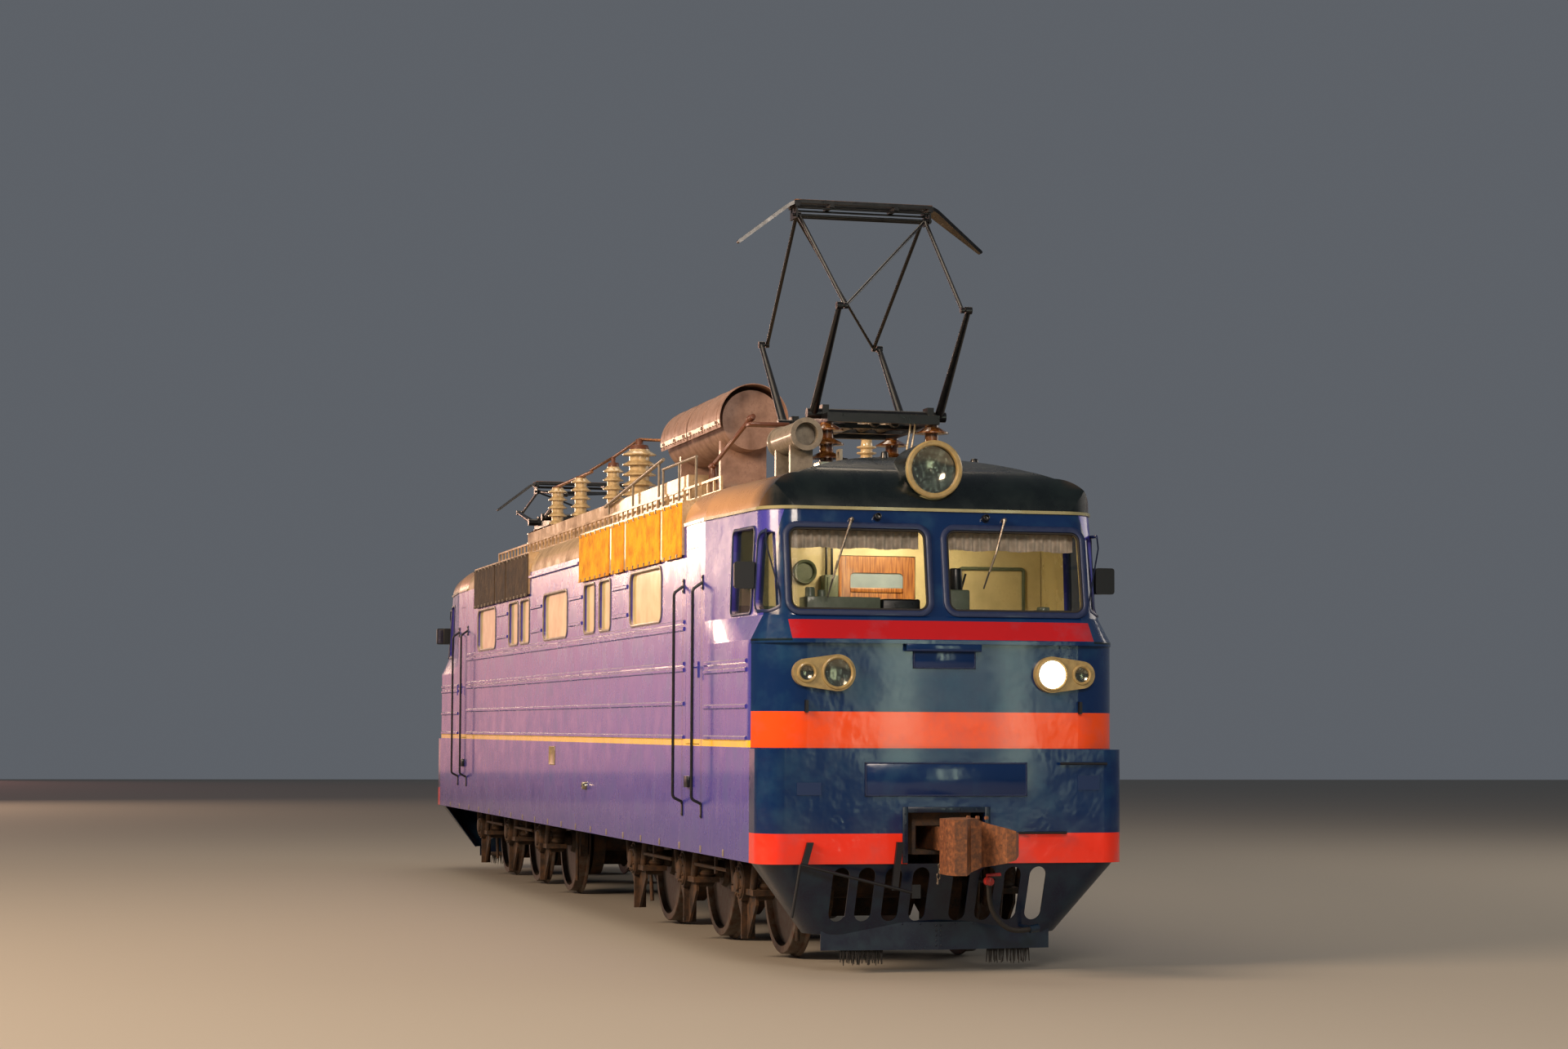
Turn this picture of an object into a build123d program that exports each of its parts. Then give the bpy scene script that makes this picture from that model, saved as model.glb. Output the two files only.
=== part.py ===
# Six-axle mainline electric locomotive with a cab at each end, 20.8 m over its couplers.
# X runs forward to the end whose pantograph is raised, Y to the left and Z up from the floor
# under the wheel flanges. The rail top would be one flange depth above that floor.
# All sizes are in millimetres and all angles in degrees.
from build123d import *
import math
import os

os.makedirs("parts", exist_ok=True)

# Clearances
RUNNING = 0.2  # radial room of a pin or shaft in its bore
SEAT = 0.3  # room between a piece and the piece that carries it
GAP = 6  # room round a piece that moves

# Wheels, axles and bogies
FLANGE = 30
WHEEL_R = 625
AXLE_Z = WHEEL_R + FLANGE
WHEEL_INNER_Y = 720
WHEEL_WIDTH = 140
WHEEL_OUTER_Y = WHEEL_INNER_Y + WHEEL_WIDTH
AXLE_R = 95
JOURNAL_R = 85
JOURNAL_END_Y = 1195
BOGIE_X = 5100  # bogie pivot from the middle of the locomotive
AXLE_PITCH = 2300
AXLE_OFFSETS = (AXLE_PITCH, 0, -AXLE_PITCH)
FRAME_Y = 1060  # middle of a bogie's side beam
FRAME_WIDTH = 130
FRAME_LOW_Z = 950
FRAME_TOP_Z = 1200
FRAME_HALF = 3150

# Body heights above the floor
SILL_Z = 890
FLOOR_Z = 1430
FLOOR_PLATE = 70
FLOOR_TOP_Z = FLOOR_Z + FLOOR_PLATE
BAND_Z = 1810
LIP_Z = 2690
SCREEN_Z = 2890
EAVE_Z = 3760
ROOF_TOP_Z = 4280

# Body plan
HALF_WIDTH = 1550
WALL = 60
INNER_Y = HALF_WIDTH - WALL
CAB_START_X = 6600
TAPER_X = 7400
APRON_X = 9420
APRON_CORNER_R = 200
PANEL_X = 9360
PANEL_CORNER_R = 400
LIP_X = 9425
LIP_CORNER_R = 450
SCREEN_LOW_X = 9230
SCREEN_TOP_X = 9080
SCREEN_LOW_HALF = 1450
SCREEN_TOP_HALF = 1410
SCREEN_CORNER_R = 300
LEDGE = 30

# Roof section: a crown between two rounded shoulders
SHOULDER_R = 315
ROOF_PLATE = 50
CROWN_HALF = HALF_WIDTH - SHOULDER_R
CROWN_RISE = ROOF_TOP_Z - EAVE_Z - SHOULDER_R
CROWN_R = (CROWN_HALF**2 + CROWN_RISE**2) / (2 * CROWN_RISE)

# Couplers
COUPLER_FACE_X = 10400
COUPLER_Z = 1090
COUPLER_PIVOT_X = 8750

# Pantographs
PANTOGRAPH_X = 6830
PIVOT_HALF = 520
PIVOT_Z = 4730
LOWER_ARM = 1200
UPPER_ARM = 1660
HEAD_HALF = 50  # head hinge from the pantograph's middle
RAISED = 44.3  # angle of the lower arms above the horizontal
FOLDED = 10.0
ARM_Y = 575
FRAME_TIP_Y = 590
KNEE_Y = 520

# Doors
DOOR_X = 6660
DOOR_WIDTH = 560
DOOR_LOW_Z = 1830
DOOR_TOP_Z = 3550
DOOR_CORNER_R = 90


def write(shape, name):
    """Gives a finished piece its name and writes it to its own file."""
    shape.label = name
    export_step(shape, f"parts/{name}.step")


def both_ends(shape):
    """The piece and the same piece at the other end of the locomotive."""
    with BuildPart() as pair:
        add(shape)
        add(shape.rotate(Axis.Z, 180))
    return pair.part


def both_sides(shape):
    """The piece and its mirror image across the middle plane of the locomotive."""
    with BuildPart() as pair:
        add(shape)
        add(shape.mirror(Plane.XZ))
    return pair.part


def strut(start, end, radius, tip_radius=None):
    """A round bar between two points, tapered when it has a tip radius."""
    first = Vector(*start)
    last = Vector(*end)
    standing = (Align.CENTER, Align.CENTER, Align.MIN)
    with Locations(Plane(origin=first, z_dir=last - first)):
        if tip_radius is None:
            Cylinder(radius, (last - first).length, align=standing)
        else:
            Cone(radius, tip_radius, (last - first).length, align=standing)


def cross_bar(x, z, y_from, y_to, radius, mode=Mode.ADD):
    """A round bar along Y."""
    with Locations(Plane(origin=(x, y_from, z), z_dir=(0, 1, 0))):
        Cylinder(radius, y_to - y_from, align=(Align.CENTER, Align.CENTER, Align.MIN), mode=mode)


def long_bar(y, z, x_from, x_to, radius, mode=Mode.ADD):
    """A round bar along X."""
    with Locations(Plane(origin=(x_from, y, z), z_dir=(1, 0, 0))):
        Cylinder(radius, x_to - x_from, align=(Align.CENTER, Align.CENTER, Align.MIN), mode=mode)


def post(x, y, z_from, z_to, radius, mode=Mode.ADD):
    """A round bar along Z."""
    with Locations((x, y, z_from)):
        Cylinder(radius, z_to - z_from, align=(Align.CENTER, Align.CENTER, Align.MIN), mode=mode)


def block(x_range, y_range, z_range, mode=Mode.ADD):
    """A box given by its faces."""
    middle = tuple((low + high) / 2 for low, high in (x_range, y_range, z_range))
    with Locations(middle):
        Box(x_range[1] - x_range[0], y_range[1] - y_range[0], z_range[1] - z_range[0], mode=mode)


def plan(z, front_x, half, radius, inset=0.0, start_x=CAB_START_X, taper_x=TAPER_X):
    """Plan of a cab at one height: full width at the back, rounded corners at the front."""
    wide = HALF_WIDTH - inset
    narrow = half - inset
    nose = front_x - inset
    with BuildSketch(Plane.XY.offset(z)) as outline:
        with BuildLine():
            Polyline(
                (start_x, -wide),
                (taper_x, -wide),
                (nose, -narrow),
                (nose, narrow),
                (taper_x, wide),
                (start_x, wide),
                close=True,
            )
        make_face()
        fillet(outline.vertices().group_by(Axis.X)[-1], radius - inset)
    return outline.sketch


def plan_prism(z_from, z_to, front_x, radius):
    """The outside of a cab's upright wall between two heights, with seating room."""
    with BuildPart() as prism:
        extrude(plan(z_from, front_x, HALF_WIDTH, radius, -SEAT), amount=z_to - z_from)
    return prism.part


def upper_cab(inset=0.0):
    """The raked, tapered part of a cab between the sloping belt and the eaves."""
    with BuildPart() as solid:
        loft(
            sections=[
                plan(SCREEN_Z, SCREEN_LOW_X, SCREEN_LOW_HALF, SCREEN_CORNER_R, inset),
                plan(EAVE_Z, SCREEN_TOP_X, SCREEN_TOP_HALF, SCREEN_CORNER_R, inset),
            ],
            ruled=True,
        )
    return solid.part


def belt(inset=0.0):
    """The sloping belt under the windscreens; inside it starts at the panel, not at the lip."""
    nose = PANEL_X if inset else LIP_X
    corner = PANEL_CORNER_R if inset else LIP_CORNER_R
    with BuildPart() as solid:
        loft(
            sections=[
                plan(LIP_Z, nose, HALF_WIDTH, corner, inset),
                plan(SCREEN_Z, SCREEN_LOW_X, SCREEN_LOW_HALF, SCREEN_CORNER_R, inset),
            ],
            ruled=True,
        )
    return solid.part


def crown_z(y):
    """Height of the roof's crown at a distance from the middle plane."""
    return ROOF_TOP_Z - CROWN_R + math.sqrt(CROWN_R**2 - y**2)


def section_half(x, inset=0.0):
    """Half-width of the cab at the eaves."""
    run = (x - TAPER_X) / (SCREEN_TOP_X - TAPER_X)
    return HALF_WIDTH - inset - max(0.0, run) * (HALF_WIDTH - SCREEN_TOP_HALF)


def roof_section(x, half, inset=0.0):
    """Cross-section of the roof above the eaves, as a closed face."""
    shoulder = SHOULDER_R - inset
    top = ROOF_TOP_Z - inset
    flat = half - shoulder
    with BuildSketch(Plane.YZ.offset(x)) as section:
        with BuildLine():
            Line((-half, EAVE_Z), (half, EAVE_Z))
            CenterArc((flat, EAVE_Z), shoulder, 0, 90)
            ThreePointArc((flat, EAVE_Z + shoulder), (0, top), (-flat, EAVE_Z + shoulder))
            CenterArc((-flat, EAVE_Z), shoulder, 90, 90)
        make_face()
    return section.sketch


def roof_solid(x_from, x_to, inset=0.0):
    """The roof as a full solid, before it is hollowed."""
    with BuildPart() as solid:
        extrude(roof_section(x_from, HALF_WIDTH - inset, inset), amount=x_to - x_from)
    return solid.part


# The roof's line over a cab, from the eave back to the full height
CAB_ROOF_LINE = ((9080, 3760), (8985, 3990), (8760, 4140), (8480, 4235), (8150, 4290))


def cab_roof_solid(inset=0.0):
    """The domed roof over a cab: the tapered section, cut to the nose line and to the eave's plan."""
    line = [(x - inset, z - inset if z > EAVE_Z else z) for x, z in CAB_ROOF_LINE]
    with BuildPart() as solid:
        add(roof_solid(CAB_START_X, TAPER_X, inset))
        loft(
            sections=[
                roof_section(TAPER_X, section_half(TAPER_X, inset), inset),
                roof_section(SCREEN_TOP_X, section_half(SCREEN_TOP_X, inset), inset),
            ],
            ruled=True,
        )
        with BuildSketch(Plane.XZ):
            with BuildLine():
                ThreePointArc(*line[:3])
                ThreePointArc(*line[2:])
                Polyline(line[-1], (CAB_START_X, line[-1][1]), (CAB_START_X, EAVE_Z), line[0])
            make_face()
        extrude(amount=HALF_WIDTH, both=True, mode=Mode.INTERSECT)
        corners = plan(EAVE_Z, SCREEN_TOP_X, SCREEN_TOP_HALF, SCREEN_CORNER_R, inset - SEAT)
        extrude(corners, amount=ROOF_TOP_Z - EAVE_Z + SEAT, mode=Mode.INTERSECT)
    return solid.part


def wall_prism(windows, inset=0.0, depth=300):
    """Prisms through the right-hand wall with the shape of its windows."""
    with BuildPart() as prisms:
        with BuildSketch(Plane.XZ.offset(HALF_WIDTH - WALL - depth / 2)):
            for middle, width, foot, head, radius in windows:
                with Locations((middle, (foot + head) / 2)):
                    RectangleRounded(width - 2 * inset, head - foot - 2 * inset, radius - inset)
        extrude(amount=depth)
    return prisms.part


# Windows of the side walls: middle, width, foot, head, corner radius
SIDE_WINDOWS = (
    (-4950, 1450, 2955, 3450, 90),
    (-2850, 650, 2955, 3450, 50),
    (-2030, 620, 2955, 3450, 50),
    (-10, 1500, 2955, 3450, 90),
    (2030, 580, 2955, 3450, 50),
    (2870, 580, 2955, 3450, 50),
    (4880, 1450, 2955, 3450, 90),
)
# Windows in the cab side: middle, width, foot, head, corner radius
CAB_SIDE_WINDOWS = (
    (8490, 560, 2925, 3610, 40),
    (9030, 300, 2935, 3570, 90),
)
# Pressed ribs: height of the middle
LONG_RIBS_Z = (2910, 2850, 2540, 2486, 2186, 1888)
CAB_RIBS_Z = (2520, 2450, 2150, 1888)
CAB_RIBS_X = (7400, 8940)
SHORT_RIBS_Z = (3065, 3340)
SHORT_RIB_MARGIN = 130  # from a window's edge to the end of a short rib
UPPER_RIBS_X = (-1620, 1500)
GUTTER_Z = 3700
GUTTER_DEPTH = 34
RIB_HEIGHT = 44
RIB_DEPTH = 14
GLASS = 12
GLASS_DEPTH = 24  # from the wall's outer face to the pane


def rib_row(x_from, x_to, heights, depth=RIB_DEPTH):
    """Pressed ribs with bevelled edges along the right-hand wall."""
    with BuildSketch(Plane.YZ.offset(x_from)) as ends:
        for z in heights:
            with BuildLine():
                Polyline(
                    (-HALF_WIDTH + 1, z - RIB_HEIGHT / 2),
                    (-HALF_WIDTH, z - RIB_HEIGHT / 2),
                    (-HALF_WIDTH - depth, z - RIB_HEIGHT / 4),
                    (-HALF_WIDTH - depth, z + RIB_HEIGHT / 4),
                    (-HALF_WIDTH, z + RIB_HEIGHT / 2),
                    (-HALF_WIDTH + 1, z + RIB_HEIGHT / 2),
                    close=True,
                )
            make_face()
    extrude(ends.sketch, amount=x_to - x_from)


# Side walls between the cabs
with BuildPart() as side_wall_right:
    block((-CAB_START_X, CAB_START_X), (-HALF_WIDTH, -INNER_Y), (SILL_Z, EAVE_Z))
    add(wall_prism(SIDE_WINDOWS), mode=Mode.SUBTRACT)
    rib_row(-CAB_START_X + GAP, CAB_START_X - GAP, LONG_RIBS_Z)
    for left, right in zip(SIDE_WINDOWS, SIDE_WINDOWS[1:]):
        x_from = left[0] + left[1] / 2 + SHORT_RIB_MARGIN
        x_to = right[0] - right[1] / 2 - SHORT_RIB_MARGIN
        if x_to > x_from:
            rib_row(x_from, x_to, SHORT_RIBS_Z)
    rib_row(*UPPER_RIBS_X, (GUTTER_Z,), GUTTER_DEPTH)
write(side_wall_right.part, "side_wall_right")
write(side_wall_right.part.mirror(Plane.XZ), "side_wall_left")

with BuildPart() as side_glass:
    add(wall_prism(SIDE_WINDOWS, SEAT))
    block(
        (-CAB_START_X, CAB_START_X),
        (-HALF_WIDTH + GLASS_DEPTH, -HALF_WIDTH + GLASS_DEPTH + GLASS),
        (SILL_Z, EAVE_Z),
        mode=Mode.INTERSECT,
    )
write(both_sides(side_glass.part), "side_windows")

# Main roof
with BuildPart() as roof:
    add(roof_solid(-CAB_START_X, CAB_START_X))
    add(roof_solid(-CAB_START_X, CAB_START_X, ROOF_PLATE), mode=Mode.SUBTRACT)
write(roof.part, "roof")

# Windscreens: middle, width, foot, head, corner radius
SCREEN_Y = 670
SCREEN_WIDTH = 1160
SCREEN_LOW = 2935
SCREEN_HIGH = 3605
SCREEN_R = 70


def screen_prism(inset=0.0):
    """Prisms through the cab's front with the shape of its windscreens."""
    with BuildPart() as prisms:
        with BuildSketch(Plane.YZ.offset(SCREEN_TOP_X - 200)):
            middle_z = (SCREEN_LOW + SCREEN_HIGH) / 2
            height = SCREEN_HIGH - SCREEN_LOW - 2 * inset
            with Locations((-SCREEN_Y, middle_z), (SCREEN_Y, middle_z)):
                RectangleRounded(SCREEN_WIDTH - 2 * inset, height, SCREEN_R - inset)
        extrude(amount=500)
    return prisms.part


def door_prism(inset, y_from, y_to):
    """A prism with the shape of a door: square at the foot, rounded at the top."""
    with BuildPart() as prism:
        with BuildSketch(Plane.XZ.offset(-y_to)) as outline:
            with Locations((DOOR_X + DOOR_WIDTH / 2, (DOOR_LOW_Z + DOOR_TOP_Z) / 2)):
                Rectangle(DOOR_WIDTH - 2 * inset, DOOR_TOP_Z - DOOR_LOW_Z - 2 * inset)
            fillet(outline.vertices().group_by(Axis.Y)[-1], DOOR_CORNER_R - inset)
        extrude(outline.sketch, amount=y_to - y_from)
    return prism.part


RECESS_HALF = 325
RECESS_TOP_Z = 1300

# Cab shell: apron, panel, lip, sloping belt and windscreen band as one hollow welding
with BuildPart() as cab_shell:
    extrude(plan(SILL_Z, APRON_X, HALF_WIDTH, APRON_CORNER_R), amount=BAND_Z - SILL_Z)
    extrude(plan(BAND_Z, PANEL_X, HALF_WIDTH, PANEL_CORNER_R), amount=LIP_Z - BAND_Z)
    extrude(plan(LIP_Z - LEDGE, LIP_X, HALF_WIDTH, LIP_CORNER_R), amount=LEDGE)
    add(belt())
    add(upper_cab())
    apron_room = plan(SILL_Z, APRON_X, HALF_WIDTH, APRON_CORNER_R, WALL)
    extrude(apron_room, amount=BAND_Z - LEDGE - SILL_Z, mode=Mode.SUBTRACT)
    panel_room = plan(BAND_Z - LEDGE, PANEL_X, HALF_WIDTH, PANEL_CORNER_R, WALL)
    extrude(panel_room, amount=LIP_Z - BAND_Z + LEDGE, mode=Mode.SUBTRACT)
    add(belt(WALL), mode=Mode.SUBTRACT)
    add(upper_cab(WALL), mode=Mode.SUBTRACT)
    add(screen_prism(), mode=Mode.SUBTRACT)
    recess_y = (-RECESS_HALF, RECESS_HALF)
    block((PANEL_X - 100, APRON_X + 1), recess_y, (SILL_Z, RECESS_TOP_Z), mode=Mode.SUBTRACT)
    for prism in (wall_prism(CAB_SIDE_WINDOWS), wall_prism(CAB_SIDE_WINDOWS).mirror(Plane.XZ)):
        add(prism, mode=Mode.SUBTRACT)
    add(door_prism(0, -HALF_WIDTH - 1, 50 - INNER_Y), mode=Mode.SUBTRACT)
    add(door_prism(0, INNER_Y - 50, HALF_WIDTH + 1), mode=Mode.SUBTRACT)
# Cab roofs, each with the barrel of its headlight
LAMP_Z = 4110
LAMP_FACE_X = 9080
LAMP_R = 240
LAMP_BACK_X = 8600
LAMP_BACK_R = 225
LAMP_BORE_R = 200

BEAD_PROUD = 14
BEAD_HEIGHT = 26

with BuildPart() as cab_roof:
    add(cab_roof_solid())
    bead = plan(EAVE_Z, SCREEN_TOP_X, SCREEN_TOP_HALF, SCREEN_CORNER_R, -BEAD_PROUD)
    extrude(bead, amount=BEAD_HEIGHT)
    strut((LAMP_FACE_X, 0, LAMP_Z), (LAMP_BACK_X, 0, LAMP_Z), LAMP_R, LAMP_BACK_R)
    add(cab_roof_solid(ROOF_PLATE), mode=Mode.SUBTRACT)
    long_bar(0, LAMP_Z, LAMP_FACE_X - 120, LAMP_FACE_X, LAMP_BORE_R, mode=Mode.SUBTRACT)
write(both_ends(cab_roof.part), "cab_roofs")

# Glass of the cabs: it follows the rake of the wall that it stands in
with BuildPart() as cab_glass:
    add(upper_cab(GLASS_DEPTH))
    add(upper_cab(GLASS_DEPTH + GLASS), mode=Mode.SUBTRACT)
    with BuildPart(mode=Mode.PRIVATE) as panes:
        add(screen_prism(SEAT))
        add(both_sides(wall_prism(CAB_SIDE_WINDOWS, SEAT)))
    add(panes.part, mode=Mode.INTERSECT)
write(both_ends(cab_glass.part), "cab_glass")

# Doors: each is as thick as the wall and swings inwards on two lift-off hinges
HINGE_R = 13
HINGE_PIN_R = 6
HINGE_LENGTH = 90
HINGE_Y = INNER_Y - HINGE_R - 1
HINGE_X = DOOR_X + GAP
HINGE_FEET = (1950, 3330)


def hinge_half(x, y, foot, leaf, tab_x, tab_y):
    """One half of a lift-off hinge: the upper half with its bore, or the lower half with its pin."""
    low = foot + (HINGE_LENGTH / 2 + SEAT if leaf else 0)
    high = foot + (HINGE_LENGTH if leaf else HINGE_LENGTH / 2)
    post(x, y, low, high, HINGE_R)
    block(tab_x, tab_y, (low, high))
    if leaf:
        post(x, y, low, high, HINGE_PIN_R + RUNNING, mode=Mode.SUBTRACT)
    else:
        post(x, y, high, high + HINGE_LENGTH / 2, HINGE_PIN_R)


def door_hinge(foot, leaf):
    """One half of a side door's hinge, on the leaf or on the cab's wall."""
    tab_x = (HINGE_X, HINGE_X + 40) if leaf else (HINGE_X - 46, HINGE_X)
    hinge_half(HINGE_X, -HINGE_Y, foot, leaf, tab_x, (-INNER_Y, -HINGE_Y + 2))


LOCK_X = DOOR_X + DOOR_WIDTH - 70
LOCK_Z = 2480

with BuildPart() as door:
    add(door_prism(GAP, -HALF_WIDTH, -INNER_Y))
    block((LOCK_X - 30, LOCK_X + 30), (-HALF_WIDTH - 12, -HALF_WIDTH + 1), (LOCK_Z - 70, LOCK_Z + 70))
    cross_bar(LOCK_X, LOCK_Z + 20, -HALF_WIDTH - 50, -HALF_WIDTH, 9)
    block((LOCK_X - 9, LOCK_X + 9), (-HALF_WIDTH - 52, -HALF_WIDTH - 40), (LOCK_Z - 90, LOCK_Z + 30))
    for foot in HINGE_FEET:
        door_hinge(foot, leaf=True)
for name, shape in (
    ("door_front_right", door.part),
    ("door_front_left", door.part.mirror(Plane.XZ)),
    ("door_rear_left", door.part.rotate(Axis.Z, 180)),
    ("door_rear_right", door.part.mirror(Plane.XZ).rotate(Axis.Z, 180)),
):
    write(shape, name)

# The cab shells carry the lower halves of the door hinges
with BuildPart() as hinge_halves:
    for foot in HINGE_FEET:
        door_hinge(foot, leaf=False)
with BuildPart() as cab_ribs:
    rib_row(*CAB_RIBS_X, CAB_RIBS_Z)
with BuildPart() as cab_front:
    add(cab_shell.part)
    add(both_sides(cab_ribs.part))
    add(both_sides(hinge_halves.part))
write(cab_front.part, "cab_front")
write(cab_front.part.rotate(Axis.Z, 180), "cab_rear")

# Underframe: floor plate, side sills, cross members, king pins and drawgear pockets
SILL_BEAM_Y = 1400
SILL_BEAM_LOW_Z = 1290
KING_PIN_R = 110
KING_PIN_LOW_Z = 960
POCKET_HALF = 250
POCKET_PLATE = 30
POCKET_X = (8560, 9290)
SHANK_HALF_Y = 65
SHANK_HALF_Z = 95
PIN_R = 45
JACK_PAD = 180
JACK_X = 8300
CROSS_MEMBERS_X = (0, 1100, 8250)

with BuildPart() as underframe:
    front_floor = plan(FLOOR_Z, APRON_X, HALF_WIDTH, APRON_CORNER_R, WALL + SEAT, start_x=-SEAT)
    extrude(front_floor, amount=FLOOR_PLATE)
    for side in (-1, 1):
        y_range = tuple(sorted((side * SILL_BEAM_Y, side * (INNER_Y - SEAT))))
        block((-10, PANEL_X - 300), y_range, (SILL_BEAM_LOW_Z, FLOOR_Z))
        y_range = tuple(sorted((side * (SILL_BEAM_Y - JACK_PAD), side * (INNER_Y - SEAT))))
        block((JACK_X - JACK_PAD / 2, JACK_X + JACK_PAD / 2), y_range, (SILL_Z + 60, FLOOR_Z))
    for x in CROSS_MEMBERS_X:
        block((x - 60, x + 60), (-SILL_BEAM_Y - 1, SILL_BEAM_Y + 1), (SILL_BEAM_LOW_Z, FLOOR_Z))
    post(BOGIE_X, 0, KING_PIN_LOW_Z, FLOOR_Z, KING_PIN_R)
    block(POCKET_X, (-POCKET_HALF, POCKET_HALF), (COUPLER_Z - SHANK_HALF_Z - GAP - POCKET_PLATE, FLOOR_Z))
    block(
        (POCKET_X[0] + POCKET_PLATE, POCKET_X[1] + 1),
        (POCKET_PLATE - POCKET_HALF, POCKET_HALF - POCKET_PLATE),
        (COUPLER_Z - SHANK_HALF_Z - GAP, COUPLER_Z + SHANK_HALF_Z + GAP),
        mode=Mode.SUBTRACT,
    )
    post(COUPLER_PIVOT_X, 0, COUPLER_Z - SHANK_HALF_Z - GAP - POCKET_PLATE, COUPLER_Z + 300, PIN_R)
    add(underframe.part.rotate(Axis.Z, 180))
write(underframe.part, "underframe")

# Couplers: shank with an eye, and a head cut from its plan and from its front view
# Plan of the head, from the front tip of the small tooth round the throat to the large tooth
HEAD_PLAN = (
    (9600, -65),
    (9840, -75),
    (9960, -225),
    (10180, -240),
    (10330, -215),
    (10340, -120),
    (10210, -70),
    (10130, -20),
    (10120, 70),
    (10250, 120),
    (10390, 190),
    (COUPLER_FACE_X, 260),
    (10260, 330),
    (10030, 345),
    (9900, 200),
    (9840, 75),
    (9600, 65),
)
# Front view of the head: y, z from the coupler's centre line
HEAD_FRONT = (
    (-245, -255),
    (-245, 180),
    (20, 185),
    (110, 140),
    (350, 62),
    (350, -100),
    (110, -185),
    (-60, -255),
)

with BuildPart() as coupler:
    with BuildSketch(Plane.XY.offset(COUPLER_Z - 300)):
        with BuildLine():
            Polyline(*HEAD_PLAN, close=True)
        make_face()
    extrude(amount=600)
    with BuildSketch(Plane.YZ.offset(9500)):
        with BuildLine():
            Polyline(*[(y, COUPLER_Z + z) for y, z in HEAD_FRONT], close=True)
        make_face()
    extrude(amount=1000, mode=Mode.INTERSECT)
    block((9600, 9840), (-90, 90), (COUPLER_Z + 130, COUPLER_Z + 300), mode=Mode.SUBTRACT)
    block((9600, 9840), (-90, 90), (COUPLER_Z - 300, COUPLER_Z - 130), mode=Mode.SUBTRACT)
    block(
        (COUPLER_PIVOT_X, 9650),
        (-SHANK_HALF_Y, SHANK_HALF_Y),
        (COUPLER_Z - SHANK_HALF_Z, COUPLER_Z + SHANK_HALF_Z),
    )
    eye_z = (COUPLER_Z - SHANK_HALF_Z, COUPLER_Z + SHANK_HALF_Z)
    post(COUPLER_PIVOT_X, 0, *eye_z, 100)
    post(COUPLER_PIVOT_X, 0, *eye_z, PIN_R + RUNNING, mode=Mode.SUBTRACT)
write(coupler.part, "coupler_front")
write(coupler.part.rotate(Axis.Z, 180), "coupler_rear")

# Pilots: slotted shields that lean in and back under the aprons
PILOT_TOP_Z = SILL_Z
PILOT_LOW_Z = 315
PILOT_TOP_X = 9400
PILOT_LOW_X = 9150
PILOT_TOP_HALF = 1500
PILOT_LOW_HALF = 1070
PILOT_BACK_X = 8900
PILOT_PLATE = 14
BLADE_LOW_Z = 185
BLADE_TOP_Z = 410
BLADE_HALF = 970
BLADE_X = 9195
SLOTS_Y = (-860, -645, -420, -190, 150, 370, 585, 800)
SLOT_WIDTH = 140
SLOT_Z = (420, 860)


def pilot_plan(z, front, half, inset):
    """Plan of the pilot at one height, open at the back once it is cut."""
    with BuildSketch(Plane.XY.offset(z)) as outline:
        with BuildLine():
            Polyline(
                (PILOT_BACK_X - 400, -half + inset),
                (front - inset, -half + inset),
                (front - inset, half - inset),
                (PILOT_BACK_X - 400, half - inset),
                close=True,
            )
        make_face()
        fillet(outline.vertices().group_by(Axis.X)[-1], 230 - inset)
    return outline.sketch


with BuildPart() as pilot:
    loft(
        sections=[
            pilot_plan(PILOT_TOP_Z, PILOT_TOP_X, PILOT_TOP_HALF, 0),
            pilot_plan(PILOT_LOW_Z, PILOT_LOW_X, PILOT_LOW_HALF, 0),
        ],
        ruled=True,
    )
    loft(
        sections=[
            pilot_plan(PILOT_TOP_Z, PILOT_TOP_X, PILOT_TOP_HALF, PILOT_PLATE),
            pilot_plan(PILOT_LOW_Z, PILOT_LOW_X, PILOT_LOW_HALF, PILOT_PLATE),
        ],
        ruled=True,
        mode=Mode.SUBTRACT,
    )
    block((PILOT_BACK_X - 500, PILOT_BACK_X), (-1600, 1600), (0, 1000), mode=Mode.SUBTRACT)
    with BuildSketch(Plane.YZ.offset(9000)):
        with Locations(*[(y, sum(SLOT_Z) / 2) for y in SLOTS_Y]):
            SlotOverall(SLOT_Z[1] - SLOT_Z[0], SLOT_WIDTH, rotation=90)
    extrude(amount=600, mode=Mode.SUBTRACT)
    with BuildSketch(Plane.XY.offset(BLADE_LOW_Z)):
        with BuildLine():
            Polyline(
                (BLADE_X - 60, -BLADE_HALF),
                (BLADE_X + 20, 0),
                (BLADE_X - 60, BLADE_HALF),
                (BLADE_X - 60 - PILOT_PLATE, BLADE_HALF),
                (BLADE_X + 20 - PILOT_PLATE, 0),
                (BLADE_X - 60 - PILOT_PLATE, -BLADE_HALF),
                close=True,
            )
        make_face()
    extrude(amount=BLADE_TOP_Z - BLADE_LOW_Z)

# Brake hose at the front end: its route from the cock to the holder on the pilot
HOSE_R = 20
HOSE_ROUTE = (
    (9450, 352, 700),
    (9450, 352, 580),
    (9446, 402, 460),
    (9436, 492, 372),
    (9420, 604, 338),
    (9402, 715, 354),
)
HOLDER_ROOT = (9150, 700, 372)
HOLDER_R = 14
HOSE_END_R = 32
HOSE_END_LENGTH = 80


def route_radii(points):
    """Radius of the arc at each corner of a route, as large as its two runs allow."""
    radii = []
    for before, corner, after in zip(points, points[1:], points[2:]):
        run_in = Vector(*corner) - Vector(*before)
        run_out = Vector(*after) - Vector(*corner)
        turn = math.radians(run_in.get_angle(run_out))
        radii.append(0.45 * min(run_in.length, run_out.length) / math.tan(turn / 2))
    return radii


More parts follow.
